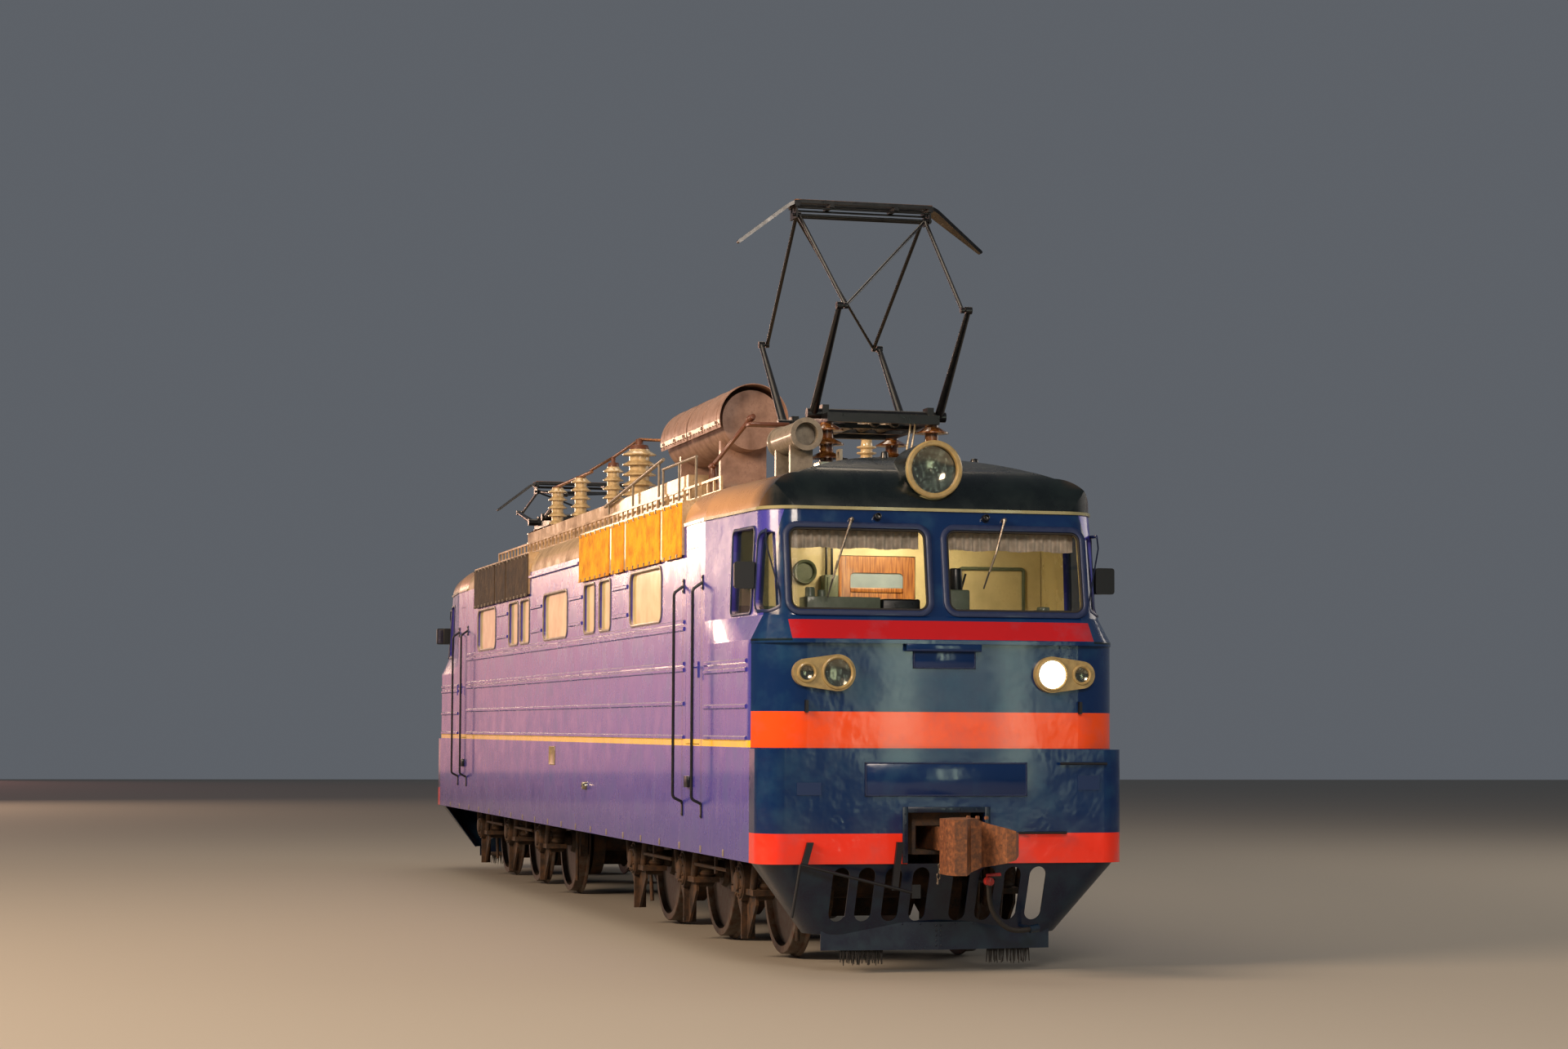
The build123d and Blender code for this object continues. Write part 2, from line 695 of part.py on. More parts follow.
with BuildPart() as brake_hose:
    with BuildLine() as route:
        FilletPolyline(*HOSE_ROUTE, radius=route_radii(HOSE_ROUTE))
    with BuildSketch(Plane(origin=route.line @ 0, z_dir=route.line % 0)):
        Circle(HOSE_R)
    sweep(path=route.line)
print("hose radii", [round(radius) for radius in route_radii(HOSE_ROUTE)])
hose_length = sum(edge.length for edge in route.edges())
hose_section = math.pi * HOSE_R**2
print(f"hose length {hose_length:.1f}, volume over section {brake_hose.part.volume / hose_section:.1f}")
write(brake_hose.part, "brake_hose")

hose_tip = Vector(*HOSE_ROUTE[-1])
hose_way = (hose_tip - Vector(*HOSE_ROUTE[-2])).normalized()
with BuildPart() as pilots:
    add(both_ends(pilot.part))
    strut(tuple(hose_tip), tuple(hose_tip + hose_way * HOSE_END_LENGTH), HOSE_END_R)
    strut(HOLDER_ROOT, tuple(hose_tip + hose_way * HOSE_END_LENGTH / 2), HOLDER_R)
write(pilots.part, "pilots")

# Grille covers: flat upright panels over the eaves, on box frames
# Panels of each bank: from, to
COVERS = (
    (1560, 3170),
    (3320, 3910),
    (4050, 5610),
    (5740, 6550),
    (-5870, -4200),
    (-4130, -3350),
    (-3280, -1710),
)
COVER_LOW_Z = 3510
COVER_TOP_Z = 4000
COVER_FACE_Y = 1580
COVER_SHEET = 10
BANKS = ((1540, 6570), (-5890, -1690))

with BuildPart() as grille_box:
    for x_from, x_to in BANKS:
        block((x_from, x_to), (-COVER_FACE_Y + COVER_SHEET, -1350), (COVER_LOW_Z, COVER_TOP_Z))
    add(roof_solid(-CAB_START_X, CAB_START_X, -SEAT), mode=Mode.SUBTRACT)
    block((-CAB_START_X, CAB_START_X), (-HALF_WIDTH - SEAT, 0), (SILL_Z, EAVE_Z + 5), mode=Mode.SUBTRACT)
write(both_sides(grille_box.part), "grille_boxes")

with BuildPart() as covers:
    for x_from, x_to in COVERS:
        y_range = (-COVER_FACE_Y, COVER_SHEET - COVER_FACE_Y)
        block((x_from, x_to), y_range, (COVER_LOW_Z - 20, COVER_TOP_Z - 20))
write(both_sides(covers.part), "grille_covers")

# Handrails beside the doors
RAIL_R = 13
RAIL_STANDOFF = 90
RAILS_X = (6560, 7320)
RAIL_LOW_Z = 1320
RAIL_TOP_Z = 3230
RAIL_FOOT = 130

with BuildPart() as rail_pair:
    for x in RAILS_X:
        face_y = -HALF_WIDTH - 8
        with BuildLine() as path:
            FilletPolyline(
                (x, face_y, RAIL_LOW_Z),
                (x, -HALF_WIDTH - RAIL_STANDOFF, RAIL_LOW_Z + 40),
                (x, -HALF_WIDTH - RAIL_STANDOFF, RAIL_TOP_Z - 60),
                (x, face_y, RAIL_TOP_Z),
                radius=45,
            )
        with BuildSketch(Plane(origin=path.line @ 0, z_dir=path.line % 0)):
            Circle(RAIL_R)
        sweep(path=path.line)
        for foot in (RAIL_LOW_Z - 60, RAIL_TOP_Z):
            z_range = (foot - RAIL_FOOT / 2, foot + RAIL_FOOT / 2)
            block((x - 20, x + 20), (-HALF_WIDTH - 10, -HALF_WIDTH), z_range)
write(both_ends(both_sides(rail_pair.part)), "handrails")

# Wheelsets: an axle with two flanged wheels
# Half of the wheelset's section, from the middle out: radius, y
HUB_R = 150
WEB_R = 540
WEB_HALF = 18
WEB_Y = WHEEL_INNER_Y + WHEEL_WIDTH / 2
FLANGE_WIDTH = 32
WHEELSET_SECTION = (
    (0, 0),
    (AXLE_R, 0),
    (AXLE_R, WHEEL_INNER_Y - 12),
    (HUB_R, WHEEL_INNER_Y - 12),
    (HUB_R + 20, WEB_Y - WEB_HALF),
    (WEB_R, WEB_Y - WEB_HALF),
    (WEB_R + 15, WHEEL_INNER_Y),
    (WHEEL_R + FLANGE - 8, WHEEL_INNER_Y),
    (WHEEL_R + FLANGE, WHEEL_INNER_Y + 10),
    (WHEEL_R + FLANGE - 6, WHEEL_INNER_Y + FLANGE_WIDTH - 10),
    (WHEEL_R + 2, WHEEL_INNER_Y + FLANGE_WIDTH + 6),
    (WHEEL_R - 3, WHEEL_OUTER_Y - 8),
    (WHEEL_R - 10, WHEEL_OUTER_Y),
    (WEB_R + 15, WHEEL_OUTER_Y),
    (WEB_R, WEB_Y + WEB_HALF),
    (HUB_R + 20, WEB_Y + WEB_HALF),
    (HUB_R, WHEEL_OUTER_Y - 8),
    (JOURNAL_R, WHEEL_OUTER_Y - 8),
    (JOURNAL_R, JOURNAL_END_Y),
    (0, JOURNAL_END_Y),
)


def wheelset(x):
    """One wheelset with its axle at x."""
    with BuildPart() as built:
        with BuildSketch(Plane(origin=(x, 0, AXLE_Z))):
            with BuildLine():
                Polyline(*WHEELSET_SECTION, close=True)
            make_face()
        revolve(axis=Axis((x, 0, AXLE_Z), (0, 1, 0)))
        mirror(about=Plane.XZ)
    return built.part


# Axle boxes with their wings, springs and lower brackets
BOX_R = 165
BOX_INNER_Y = 940
BOX_OUTER_Y = 1225
WING_REACH = 400
WING_TOP_Z = 600
WING_PLATE = 50
SPRING_X = 320
SPRING_R = 85
SPRING_CORE_R = 62
SPRING_RINGS = 5
BRACKET_HALF = 330
BRACKET_TOP_Z = 470
BRACKET_TIP_Z = 165
BRACKET_PLATE = 24
BRACKET_Y = 1150


def spring(x, y, low, high):
    """A coil spring, as rings on a core."""
    pitch = (high - low) / SPRING_RINGS
    steps = []
    for turn in range(SPRING_RINGS):
        steps.append((SPRING_CORE_R, low + turn * pitch))
        steps.append((SPRING_R, low + (turn + 0.35) * pitch))
        steps.append((SPRING_R, low + (turn + 0.65) * pitch))
    with BuildSketch(Plane(origin=(x, y, 0), x_dir=(1, 0, 0), z_dir=(0, -1, 0))) as section:
        with BuildLine():
            Polyline((0, low), *steps, (SPRING_CORE_R, high), (0, high), close=True)
        make_face()
    revolve(section.sketch, axis=Axis((x, y, 0), (0, 0, 1)))


def axle_box(x, side):
    """One axle box with two springs, on the left or the right."""
    y_inner, y_outer = sorted((side * BOX_INNER_Y, side * BOX_OUTER_Y))
    cross_bar(x, AXLE_Z, y_inner, y_outer, BOX_R)
    wing_z = (WING_TOP_Z - WING_PLATE, WING_TOP_Z)
    block((x - WING_REACH, x + WING_REACH), (y_inner + 20, y_outer - 20), wing_z)
    for reach in (-SPRING_X, SPRING_X):
        spring(x + reach, side * FRAME_Y, WING_TOP_Z, FRAME_LOW_Z - SEAT)
    with BuildSketch(Plane.XZ.offset(-side * BRACKET_Y - BRACKET_PLATE / 2)) as plate:
        with BuildLine():
            Polyline(
                (x - BRACKET_HALF, WING_TOP_Z - WING_PLATE),
                (x - BRACKET_HALF, BRACKET_TOP_Z),
                (x - 30, BRACKET_TIP_Z),
                (x + 30, BRACKET_TIP_Z),
                (x + BRACKET_HALF, BRACKET_TOP_Z),
                (x + BRACKET_HALF, WING_TOP_Z - WING_PLATE),
                close=True,
            )
        make_face()
    extrude(plate.sketch, amount=BRACKET_PLATE)
    rib = sorted((side * (BRACKET_Y - 60), side * (BRACKET_Y + 60)))
    block((x - 14, x + 14), tuple(rib), (BRACKET_TIP_Z, WING_TOP_Z - WING_PLATE))
    journal = sorted((side * (WHEEL_OUTER_Y - 20), side * (JOURNAL_END_Y + SEAT)))
    cross_bar(x, AXLE_Z, journal[0], journal[1], JOURNAL_R + RUNNING, mode=Mode.SUBTRACT)


# Traction motors: each hangs on its axle and on a cross beam, with a gear case at each end
MOTOR_R = 400
MOTOR_Z = 720
MOTOR_HALF_Y = 450
MOTOR_REACH = 640  # from the axle to the motor's middle
GEAR_CASE_R = 430
PINION_CASE_R = 230
GEAR_CASE_Y = (500, 640)
SLEEVE_R = 150


def motor(x, toward):
    """One axle-hung motor; toward is -1 when it lies behind its axle."""
    centre = x + toward * MOTOR_REACH
    with BuildSketch(Plane.XZ.offset(-MOTOR_HALF_Y)) as section:
        with Locations((centre, MOTOR_Z)):
            RegularPolygon(MOTOR_R, 8, major_radius=False, rotation=22.5)
    extrude(section.sketch, amount=2 * MOTOR_HALF_Y)
    cross_bar(x, AXLE_Z, -GEAR_CASE_Y[1], GEAR_CASE_Y[1], SLEEVE_R)
    block(sorted_pair(x, centre), (-MOTOR_HALF_Y + 60, MOTOR_HALF_Y - 60), (AXLE_Z - 110, AXLE_Z + 110))
    for side in (-1, 1):
        low, high = sorted((side * GEAR_CASE_Y[0], side * GEAR_CASE_Y[1]))
        with BuildSketch(Plane.XZ.offset(-high)) as case:
            with Locations((x, AXLE_Z)):
                Circle(GEAR_CASE_R)
            with Locations((centre, MOTOR_Z)):
                Circle(PINION_CASE_R)
            make_hull()
        extrude(case.sketch, amount=high - low)
        cross_bar(centre, MOTOR_Z, min(0, side * GEAR_CASE_Y[0]), max(0, side * GEAR_CASE_Y[0]), 160)
    cross_bar(x, AXLE_Z, -1000, 1000, AXLE_R + RUNNING, mode=Mode.SUBTRACT)


def sorted_pair(first, second):
    """Two numbers, the lower one first."""
    return (min(first, second), max(first, second))


# Bogie frames: side beams, end beams and cross beams, with brake cylinders outside
BEAM_X = (1180, -1180)
BEAM_HALF = 50
CENTRE_BEAM_HALF = 170
CENTRE_BEAM_Y = 480
BEARER_R = 110
BEARER_X = 620


def bogie_frame(centre):
    """The frame of one bogie."""
    with BuildPart() as built:
        for side in (-1, 1):
            y_range = sorted_pair(side * (FRAME_Y - FRAME_WIDTH / 2), side * (FRAME_Y + FRAME_WIDTH / 2))
            block((centre - FRAME_HALF, centre + FRAME_HALF), y_range, (FRAME_LOW_Z, FRAME_TOP_Z))
            for reach in (-BEARER_X, BEARER_X):
                post(centre + reach, side * FRAME_Y, FRAME_TOP_Z, FLOOR_Z - SEAT, BEARER_R)
        for end in (-1, 1):
            x_range = sorted_pair(centre + end * (FRAME_HALF - 90), centre + end * FRAME_HALF)
            block(x_range, (-FRAME_Y, FRAME_Y), (FRAME_LOW_Z, FRAME_TOP_Z))
        for reach in BEAM_X:
            block(
                (centre + reach - BEAM_HALF, centre + reach + BEAM_HALF),
                (-FRAME_Y, FRAME_Y),
                (FRAME_LOW_Z, FRAME_TOP_Z),
            )
        block(
            (centre - CENTRE_BEAM_HALF, centre + CENTRE_BEAM_HALF),
            (-CENTRE_BEAM_Y, CENTRE_BEAM_Y),
            (FRAME_LOW_Z, FRAME_TOP_Z),
        )
        for side in (-1, 1):
            block(
                (centre - BEAM_X[0], centre + BEAM_X[0]),
                sorted_pair(side * (CENTRE_BEAM_Y - 100), side * CENTRE_BEAM_Y),
                (MOTOR_Z + MOTOR_R + GAP, FRAME_TOP_Z),
            )
        post(centre, 0, FRAME_LOW_Z, FRAME_TOP_Z, KING_PIN_R + RUNNING, mode=Mode.SUBTRACT)
    return built.part


# Gear outside a side beam: dampers, brake cylinders with their rods, an air pipe and sand pipes
BEAM_FACE_Y = FRAME_Y + FRAME_WIDTH / 2
DAMPER_Y = BEAM_FACE_Y + 60
DAMPER_FOOT = 330  # from the axle to the damper's lower end
DAMPER_HEAD = 520
DAMPER_R = 32
BRAKE_CYLINDER_X = (970, 1290)
BRAKE_CYLINDER_Y = BEAM_FACE_Y + 85
BRAKE_CYLINDER_Z = 1085
BRAKE_CYLINDER_R = 90
BRAKE_ROD_Z = 725
BRAKE_ROD_R = 17
AIR_PIPE_R = 18
AIR_PIPE_DROP = 14
SAND_PIPE_R = 20
SAND_PIPE_TOP = (3085, 905)  # x from the bogie's middle, y
SAND_PIPE_TIP = (2965, 885)
SAND_PIPE_LOW_Z = 190


def beam_gear(centre, side):
    """The gear on the outer face of one side beam."""
    face = side * BEAM_FACE_Y
    for reach in AXLE_OFFSETS:
        for end in (-1, 1):
            head = (centre + reach + end * DAMPER_HEAD, side * DAMPER_Y, FRAME_TOP_Z - 70)
            middle = (centre + reach + end * (DAMPER_HEAD + DAMPER_FOOT) / 2, side * DAMPER_Y, 865)
            foot = (centre + reach + end * DAMPER_FOOT, side * DAMPER_Y, WING_TOP_Z + SEAT + DAMPER_R * 0.4)
            strut(head, middle, DAMPER_R * 0.6)
            strut(middle, foot, DAMPER_R)
            y_range = sorted_pair(face - side, side * (DAMPER_Y + 30))
            block((head[0] - 40, head[0] + 40), y_range, (head[2] - 40, head[2] + 40))
    for end in (-1, 1):
        x_range = sorted_pair(centre + end * BRAKE_CYLINDER_X[0], centre + end * BRAKE_CYLINDER_X[1])
        y = side * BRAKE_CYLINDER_Y
        long_bar(y, BRAKE_CYLINDER_Z, x_range[0], x_range[1], BRAKE_CYLINDER_R)
        z_range = (BRAKE_CYLINDER_Z - 70, BRAKE_CYLINDER_Z + 70)
        block((x_range[0] + 60, x_range[1] - 60), sorted_pair(face - side, y), z_range)
        lever_x = centre + end * (BRAKE_CYLINDER_X[1] + 40)
        long_bar(y, BRAKE_CYLINDER_Z, *sorted_pair(centre + end * BRAKE_CYLINDER_X[1], lever_x), BRAKE_ROD_R)
        block((lever_x - 22, lever_x + 22), (y - 12, y + 12), (BRAKE_ROD_Z - 50, BRAKE_CYLINDER_Z + 40))
        long_bar(y, BRAKE_ROD_Z, *sorted_pair(centre + end * 500, centre + end * 1780), BRAKE_ROD_R)
    pipe_y = side * (BEAM_FACE_Y + AIR_PIPE_R - 2)
    pipe_z = FRAME_TOP_Z - AIR_PIPE_R - AIR_PIPE_DROP
    pipe_half = FRAME_HALF - 120
    long_bar(pipe_y, pipe_z, centre - pipe_half, centre + pipe_half, AIR_PIPE_R)
    top_x, top_y = SAND_PIPE_TOP
    tip_x, tip_y = SAND_PIPE_TIP
    for end in (-1, 1):
        top = (centre + end * top_x, side * top_y, FRAME_LOW_Z + 20)
        tip = (centre + end * tip_x, side * tip_y, SAND_PIPE_LOW_Z)
        strut(top, tip, SAND_PIPE_R)


# Brake gear: a shoe on each side of each wheel, on a hanger from the frame
SHOE_GAP = 8
SHOE_DEPTH = 55
SHOE_Y = (WHEEL_INNER_Y + 45, WHEEL_OUTER_Y - 10)
SHOE_HALF_ANGLE = 16
HANGER_HALF = 22


def brake(x, side, end):
    """A brake shoe and its hanger beside one wheel."""
    inner = WHEEL_R + SHOE_GAP
    outer = inner + SHOE_DEPTH
    low, high = sorted_pair(side * SHOE_Y[0], side * SHOE_Y[1])
    middle = 0 if end > 0 else 180
    with BuildSketch(Plane.XZ.offset(-high)) as shoe:
        with BuildLine():
            arc_1 = CenterArc((x, AXLE_Z), inner, middle - SHOE_HALF_ANGLE, 2 * SHOE_HALF_ANGLE)
            arc_2 = CenterArc((x, AXLE_Z), outer, middle - SHOE_HALF_ANGLE, 2 * SHOE_HALF_ANGLE)
            Line(arc_1 @ 0, arc_2 @ 0)
            Line(arc_1 @ 1, arc_2 @ 1)
        make_face()
    extrude(shoe.sketch, amount=high - low)
    x_range = sorted_pair(x + end * (outer - 10), x + end * (outer + 2 * HANGER_HALF))
    hanger = sorted_pair(side * (SHOE_Y[1] - 40), side * SHOE_Y[1])
    block(x_range, hanger, (AXLE_Z - 60, FRAME_LOW_Z + 100))
    tie = sorted_pair(side * (SHOE_Y[1] - 40), side * (FRAME_Y - FRAME_WIDTH / 2 + 1))
    block(x_range, tie, (FRAME_LOW_Z + 40, FRAME_LOW_Z + 100))


with BuildPart() as boxes:
    for reach in AXLE_OFFSETS:
        for side in (-1, 1):
            axle_box(BOGIE_X + reach, side)
with BuildPart() as motors:
    motor(BOGIE_X + AXLE_PITCH, -1)
    motor(BOGIE_X, 1)
    motor(BOGIE_X - AXLE_PITCH, 1)
with BuildPart() as frame:
    add(bogie_frame(BOGIE_X))
    for side in (-1, 1):
        beam_gear(BOGIE_X, side)
        for reach in AXLE_OFFSETS:
            for end in (-1, 1):
                brake(BOGIE_X + reach, side, end)
for name, shape in (
    ("bogie_frame", frame.part),
    ("axle_boxes", boxes.part),
    ("traction_motors", motors.part),
):
    write(shape, f"{name}_front")
    write(shape.rotate(Axis.Z, 180), f"{name}_rear")
for place, reach in zip(("outer", "middle", "inner"), AXLE_OFFSETS):
    shape = wheelset(BOGIE_X + reach)
    write(shape, f"wheelset_front_{place}")
    write(shape.rotate(Axis.Z, 180), f"wheelset_rear_{place}")

# Pantographs
SHAFT_R = 46
ARM_ROOT_R = 40
ARM_TIP_R = 24
KNEE_PIN_R = 13
EYE_R = 26
TUBE_R = 17
HEAD_SHAFT_R = 14
SKID_HALF = 650
HORN_Y = 1130
HORN_DROP = 400
SKID_RISE = 130
SKID_WIDTH = 250
SKID_DEPTH = 30
SKID_SLOT_HALF = 55
HORN_BEND_R = 220
HORN_TIP_HALF = 25
CARRIER_BARS_Y = (-622, -300, 300, 622)
TIE_TUBES_X = (-90, 90)
TIE_TUBE_RISE = 62
TIE_TUBE_R = 9


def linkage(lift):
    """Knee reach, knee height, top hinge height and upper angle for one angle of the lower arms."""
    knee_x = PIVOT_HALF + LOWER_ARM * math.cos(math.radians(lift))
    knee_z = PIVOT_Z + LOWER_ARM * math.sin(math.radians(lift))
    slope = math.degrees(math.acos((knee_x - HEAD_HALF) / UPPER_ARM))
    return knee_x, knee_z, knee_z + UPPER_ARM * math.sin(math.radians(slope)), slope


def lower_arms(centre, lift, way):
    """A main shaft with its two tapered arms; way is +1 for the pair that points forward."""
    knee_x, knee_z, hinge_z, slope = linkage(lift)
    pivot = centre + way * PIVOT_HALF
    knee = centre + way * knee_x
    with BuildPart() as built:
        cross_bar(pivot, PIVOT_Z, -ARM_Y - 60, ARM_Y + 60, SHAFT_R)
        for side in (-1, 1):
            strut((pivot, side * ARM_Y, PIVOT_Z), (knee, side * ARM_Y, knee_z), ARM_ROOT_R, ARM_TIP_R)
            low, high = sorted_pair(side * (KNEE_Y - 18), side * (ARM_Y + 30))
            cross_bar(knee, knee_z, low, high, KNEE_PIN_R)
            low, high = sorted_pair(side * (ARM_Y - 28), side * (ARM_Y + 28))
            cross_bar(knee, knee_z, low, high, EYE_R + 6)
    return built.part


def upper_frame(centre, lift, way):
    """Two tubes from the knees to the head's hinges, with one diagonal across them.

    The fore frame turns on the head's shaft. The aft frame has its own cross tube and lies
    between the head's plates with no pin, where the closed linkage is left open.
    """
    knee_x, knee_z, hinge_z, slope = linkage(lift)
    knee = centre + way * knee_x
    top = centre + way * HEAD_HALF
    with BuildPart() as built:
        for side in (-1, 1):
            strut((knee, side * KNEE_Y, knee_z), (top, side * FRAME_TIP_Y, hinge_z), TUBE_R)
            low, high = sorted_pair(side * (KNEE_Y - 16), side * (KNEE_Y + 16))
            cross_bar(knee, knee_z, low, high, EYE_R)
            low, high = sorted_pair(side * (FRAME_TIP_Y - 16), side * (FRAME_TIP_Y + 16))
            cross_bar(top, hinge_z, low, high, EYE_R)
        strut((knee, -way * KNEE_Y, knee_z), (top, way * FRAME_TIP_Y, hinge_z), TUBE_R - 4)
        for side in (-1, 1):
            low, high = sorted_pair(side * (KNEE_Y - 40), side * (KNEE_Y + 40))
            cross_bar(knee, knee_z, low, high, KNEE_PIN_R + RUNNING, mode=Mode.SUBTRACT)
        if way > 0:
            shaft_end = FRAME_TIP_Y + 60
            cross_bar(top, hinge_z, -shaft_end, shaft_end, HEAD_SHAFT_R + RUNNING, mode=Mode.SUBTRACT)
        else:
            cross_bar(top, hinge_z, -FRAME_TIP_Y, FRAME_TIP_Y, HEAD_SHAFT_R)
    return built.part


def pantograph_head(centre, lift):
    """The fore hinge shaft, the carriers and the skid with its drooping horns."""
    hinge_z = linkage(lift)[2]
    skid_z = hinge_z + SKID_RISE
    middle_z = skid_z - SKID_DEPTH / 2
    with BuildPart() as built:
        with BuildSketch(Plane.YZ.offset(centre - SKID_WIDTH / 2)) as profile:
            with BuildLine() as middle:
                FilletPolyline(
                    (-HORN_Y, middle_z - HORN_DROP + SKID_DEPTH),
                    (-SKID_HALF, middle_z),
                    (SKID_HALF, middle_z),
                    (HORN_Y, middle_z - HORN_DROP + SKID_DEPTH),
                    radius=HORN_BEND_R,
                )
                offset(amount=SKID_DEPTH / 2)
            make_face()
        extrude(profile.sketch, amount=SKID_WIDTH)
        with BuildSketch(Plane.XY.offset(skid_z - HORN_DROP - SKID_DEPTH)) as outline:
            with BuildLine():
                Polyline(
                    (centre - SKID_WIDTH / 2, -SKID_HALF),
                    (centre - HORN_TIP_HALF, -HORN_Y - SKID_DEPTH),
                    (centre + HORN_TIP_HALF, -HORN_Y - SKID_DEPTH),
                    (centre + SKID_WIDTH / 2, -SKID_HALF),
                    (centre + SKID_WIDTH / 2, SKID_HALF),
                    (centre + HORN_TIP_HALF, HORN_Y + SKID_DEPTH),
                    (centre - HORN_TIP_HALF, HORN_Y + SKID_DEPTH),
                    (centre - SKID_WIDTH / 2, SKID_HALF),
                    close=True,
                )
            make_face()
        extrude(outline.sketch, amount=HORN_DROP + 2 * SKID_DEPTH, mode=Mode.INTERSECT)
        block(
            (centre - SKID_SLOT_HALF, centre + SKID_SLOT_HALF),
            (-SKID_HALF + 60, SKID_HALF - 60),
            (skid_z - SKID_DEPTH - 1, skid_z + 1),
            mode=Mode.SUBTRACT,
        )
        x_range = (centre - SKID_WIDTH / 2, centre + SKID_WIDTH / 2)
        for reach in CARRIER_BARS_Y:
            block(x_range, (reach - 20, reach + 20), (skid_z - 60, skid_z - 30))
        cross_bar(centre + HEAD_HALF, hinge_z, -FRAME_TIP_Y - 60, FRAME_TIP_Y + 60, HEAD_SHAFT_R)
        for side in (-1, 1):
            plate = sorted_pair(side * (FRAME_TIP_Y + 24), side * (FRAME_TIP_Y + 40))
            block((centre - 110, centre + 110), plate, (hinge_z - 30, hinge_z + 30))
            block((centre - 30, centre + 30), plate, (hinge_z, skid_z - 10))
        for reach in TIE_TUBES_X:
            tube_end = FRAME_TIP_Y + 30
            cross_bar(centre + reach, hinge_z + TIE_TUBE_RISE, -tube_end, tube_end, TIE_TUBE_R)
            for side in (-1, 1):
                plate = sorted_pair(side * (FRAME_TIP_Y + 24), side * (FRAME_TIP_Y + 40))
                x_range = (centre + reach - 20, centre + reach + 20)
                block(x_range, plate, (hinge_z, hinge_z + TIE_TUBE_RISE + 20))
    return built.part


BASE_BEAM_Z = (4640, 4720)
BASE_BEAM_Y = 480
BASE_HALF = 760
DRIVE_Z = 4695
DRIVE_R = 60
BASE_SPRINGS_Y = (60, 240)
BASE_SPRING_R = 34
INSULATOR_Y = 480
INSULATOR_X = (-620, 620)
INSULATOR_R = 150
INSULATOR_CORE_R = 60
INSULATOR_SHEDS = 3


def shed_insulator(x, y, low, high, radius, core, sheds):
    """An insulator of sheds on a core, in the builder that is open."""
    pitch = (high - low) / sheds
    steps = []
    for shed in range(sheds):
        foot = low + shed * pitch
        steps.append((core, foot))
        steps.append((core, foot + 0.35 * pitch))
        steps.append((radius, foot + 0.42 * pitch))
        steps.append((radius, foot + 0.52 * pitch))
        steps.append((core, foot + 0.9 * pitch))
    with BuildSketch(Plane(origin=(x, y, 0), x_dir=(1, 0, 0), z_dir=(0, -1, 0))) as section:
        with BuildLine():
            Polyline((0, low), *steps, (core, high), (0, high), close=True)
        make_face()
    revolve(section.sketch, axis=Axis((x, y, 0), (0, 0, 1)))


def pantograph_base(centre):
    """The frame under one pantograph, with the bearings of its two main shafts."""
    with BuildPart() as built:
        for side in (-1, 1):
            y_range = sorted_pair(side * (BASE_BEAM_Y - 30), side * (BASE_BEAM_Y + 30))
            block((centre - BASE_HALF, centre + BASE_HALF), y_range, BASE_BEAM_Z)
            for way in (-1, 1):
                pivot = centre + way * PIVOT_HALF
                block((pivot - 70, pivot + 70), y_range, (BASE_BEAM_Z[0], PIVOT_Z + 75))
                bore_y = (y_range[0] - 1, y_range[1] + 1)
                cross_bar(pivot, PIVOT_Z, *bore_y, SHAFT_R + RUNNING, mode=Mode.SUBTRACT)
        for end in (-1, 1):
            x_range = sorted_pair(centre + end * (BASE_HALF - 60), centre + end * BASE_HALF)
            block(x_range, (-BASE_BEAM_Y, BASE_BEAM_Y), BASE_BEAM_Z)
            x_range = sorted_pair(centre + end * 200, centre + end * 250)
            block(x_range, (-BASE_BEAM_Y, BASE_BEAM_Y), (BASE_BEAM_Z[0], BASE_BEAM_Z[0] + 35))
        long_bar(-150, DRIVE_Z, centre - 340, centre + 240, DRIVE_R)
        for y in BASE_SPRINGS_Y:
            long_bar(y, DRIVE_Z, centre - 300, centre + 300, BASE_SPRING_R)
    return built.part


with BuildPart() as bases:
    for centre in (PANTOGRAPH_X, -PANTOGRAPH_X):
        add(pantograph_base(centre))
write(bases.part, "pantograph_bases")

with BuildPart() as stands:
    for centre in (PANTOGRAPH_X, -PANTOGRAPH_X):
        for reach in INSULATOR_X:
            for side in (-1, 1):
                shed_insulator(
                    centre + reach,
                    side * INSULATOR_Y,
                    ROOF_TOP_Z - 10,
                    BASE_BEAM_Z[0],
                    INSULATOR_R,
                    INSULATOR_CORE_R,
                    INSULATOR_SHEDS,
                )
                block(
                    (centre + reach - 90, centre + reach + 90),
                    (side * INSULATOR_Y - 90, side * INSULATOR_Y + 90),
                    (ROOF_TOP_Z - 80, ROOF_TOP_Z + 10),
                )
    add(roof_solid(-8200, 8200, -SEAT), mode=Mode.SUBTRACT)
write(stands.part, "pantograph_insulators")

for end_name, centre, lift in (("front", PANTOGRAPH_X, RAISED), ("rear", -PANTOGRAPH_X, FOLDED)):
    write(lower_arms(centre, lift, 1), f"pantograph_{end_name}_fore_arms")
    write(lower_arms(centre, lift, -1), f"pantograph_{end_name}_aft_arms")
    write(upper_frame(centre, lift, 1), f"pantograph_{end_name}_fore_frame")
    write(upper_frame(centre, lift, -1), f"pantograph_{end_name}_aft_frame")
    write(pantograph_head(centre, lift), f"pantograph_{end_name}_head")
    knee_x, knee_z, hinge_z, slope = linkage(lift)
    print(f"pantograph {end_name}: knee {knee_x:.2f} {knee_z:.2f} hinge {hinge_z:.2f} slope {slope:.3f}")

# Lamp pods on the front panel: teardrop housings with a large and a small lamp
POD_BIG_Y = 909
POD_SMALL_Y = 1165
POD_Z = 2420
POD_BIG_R = 148
POD_SMALL_R = 112
POD_PROUD = 55
POD_LENS_R = 118
POD_SMALL_LENS_R = 66

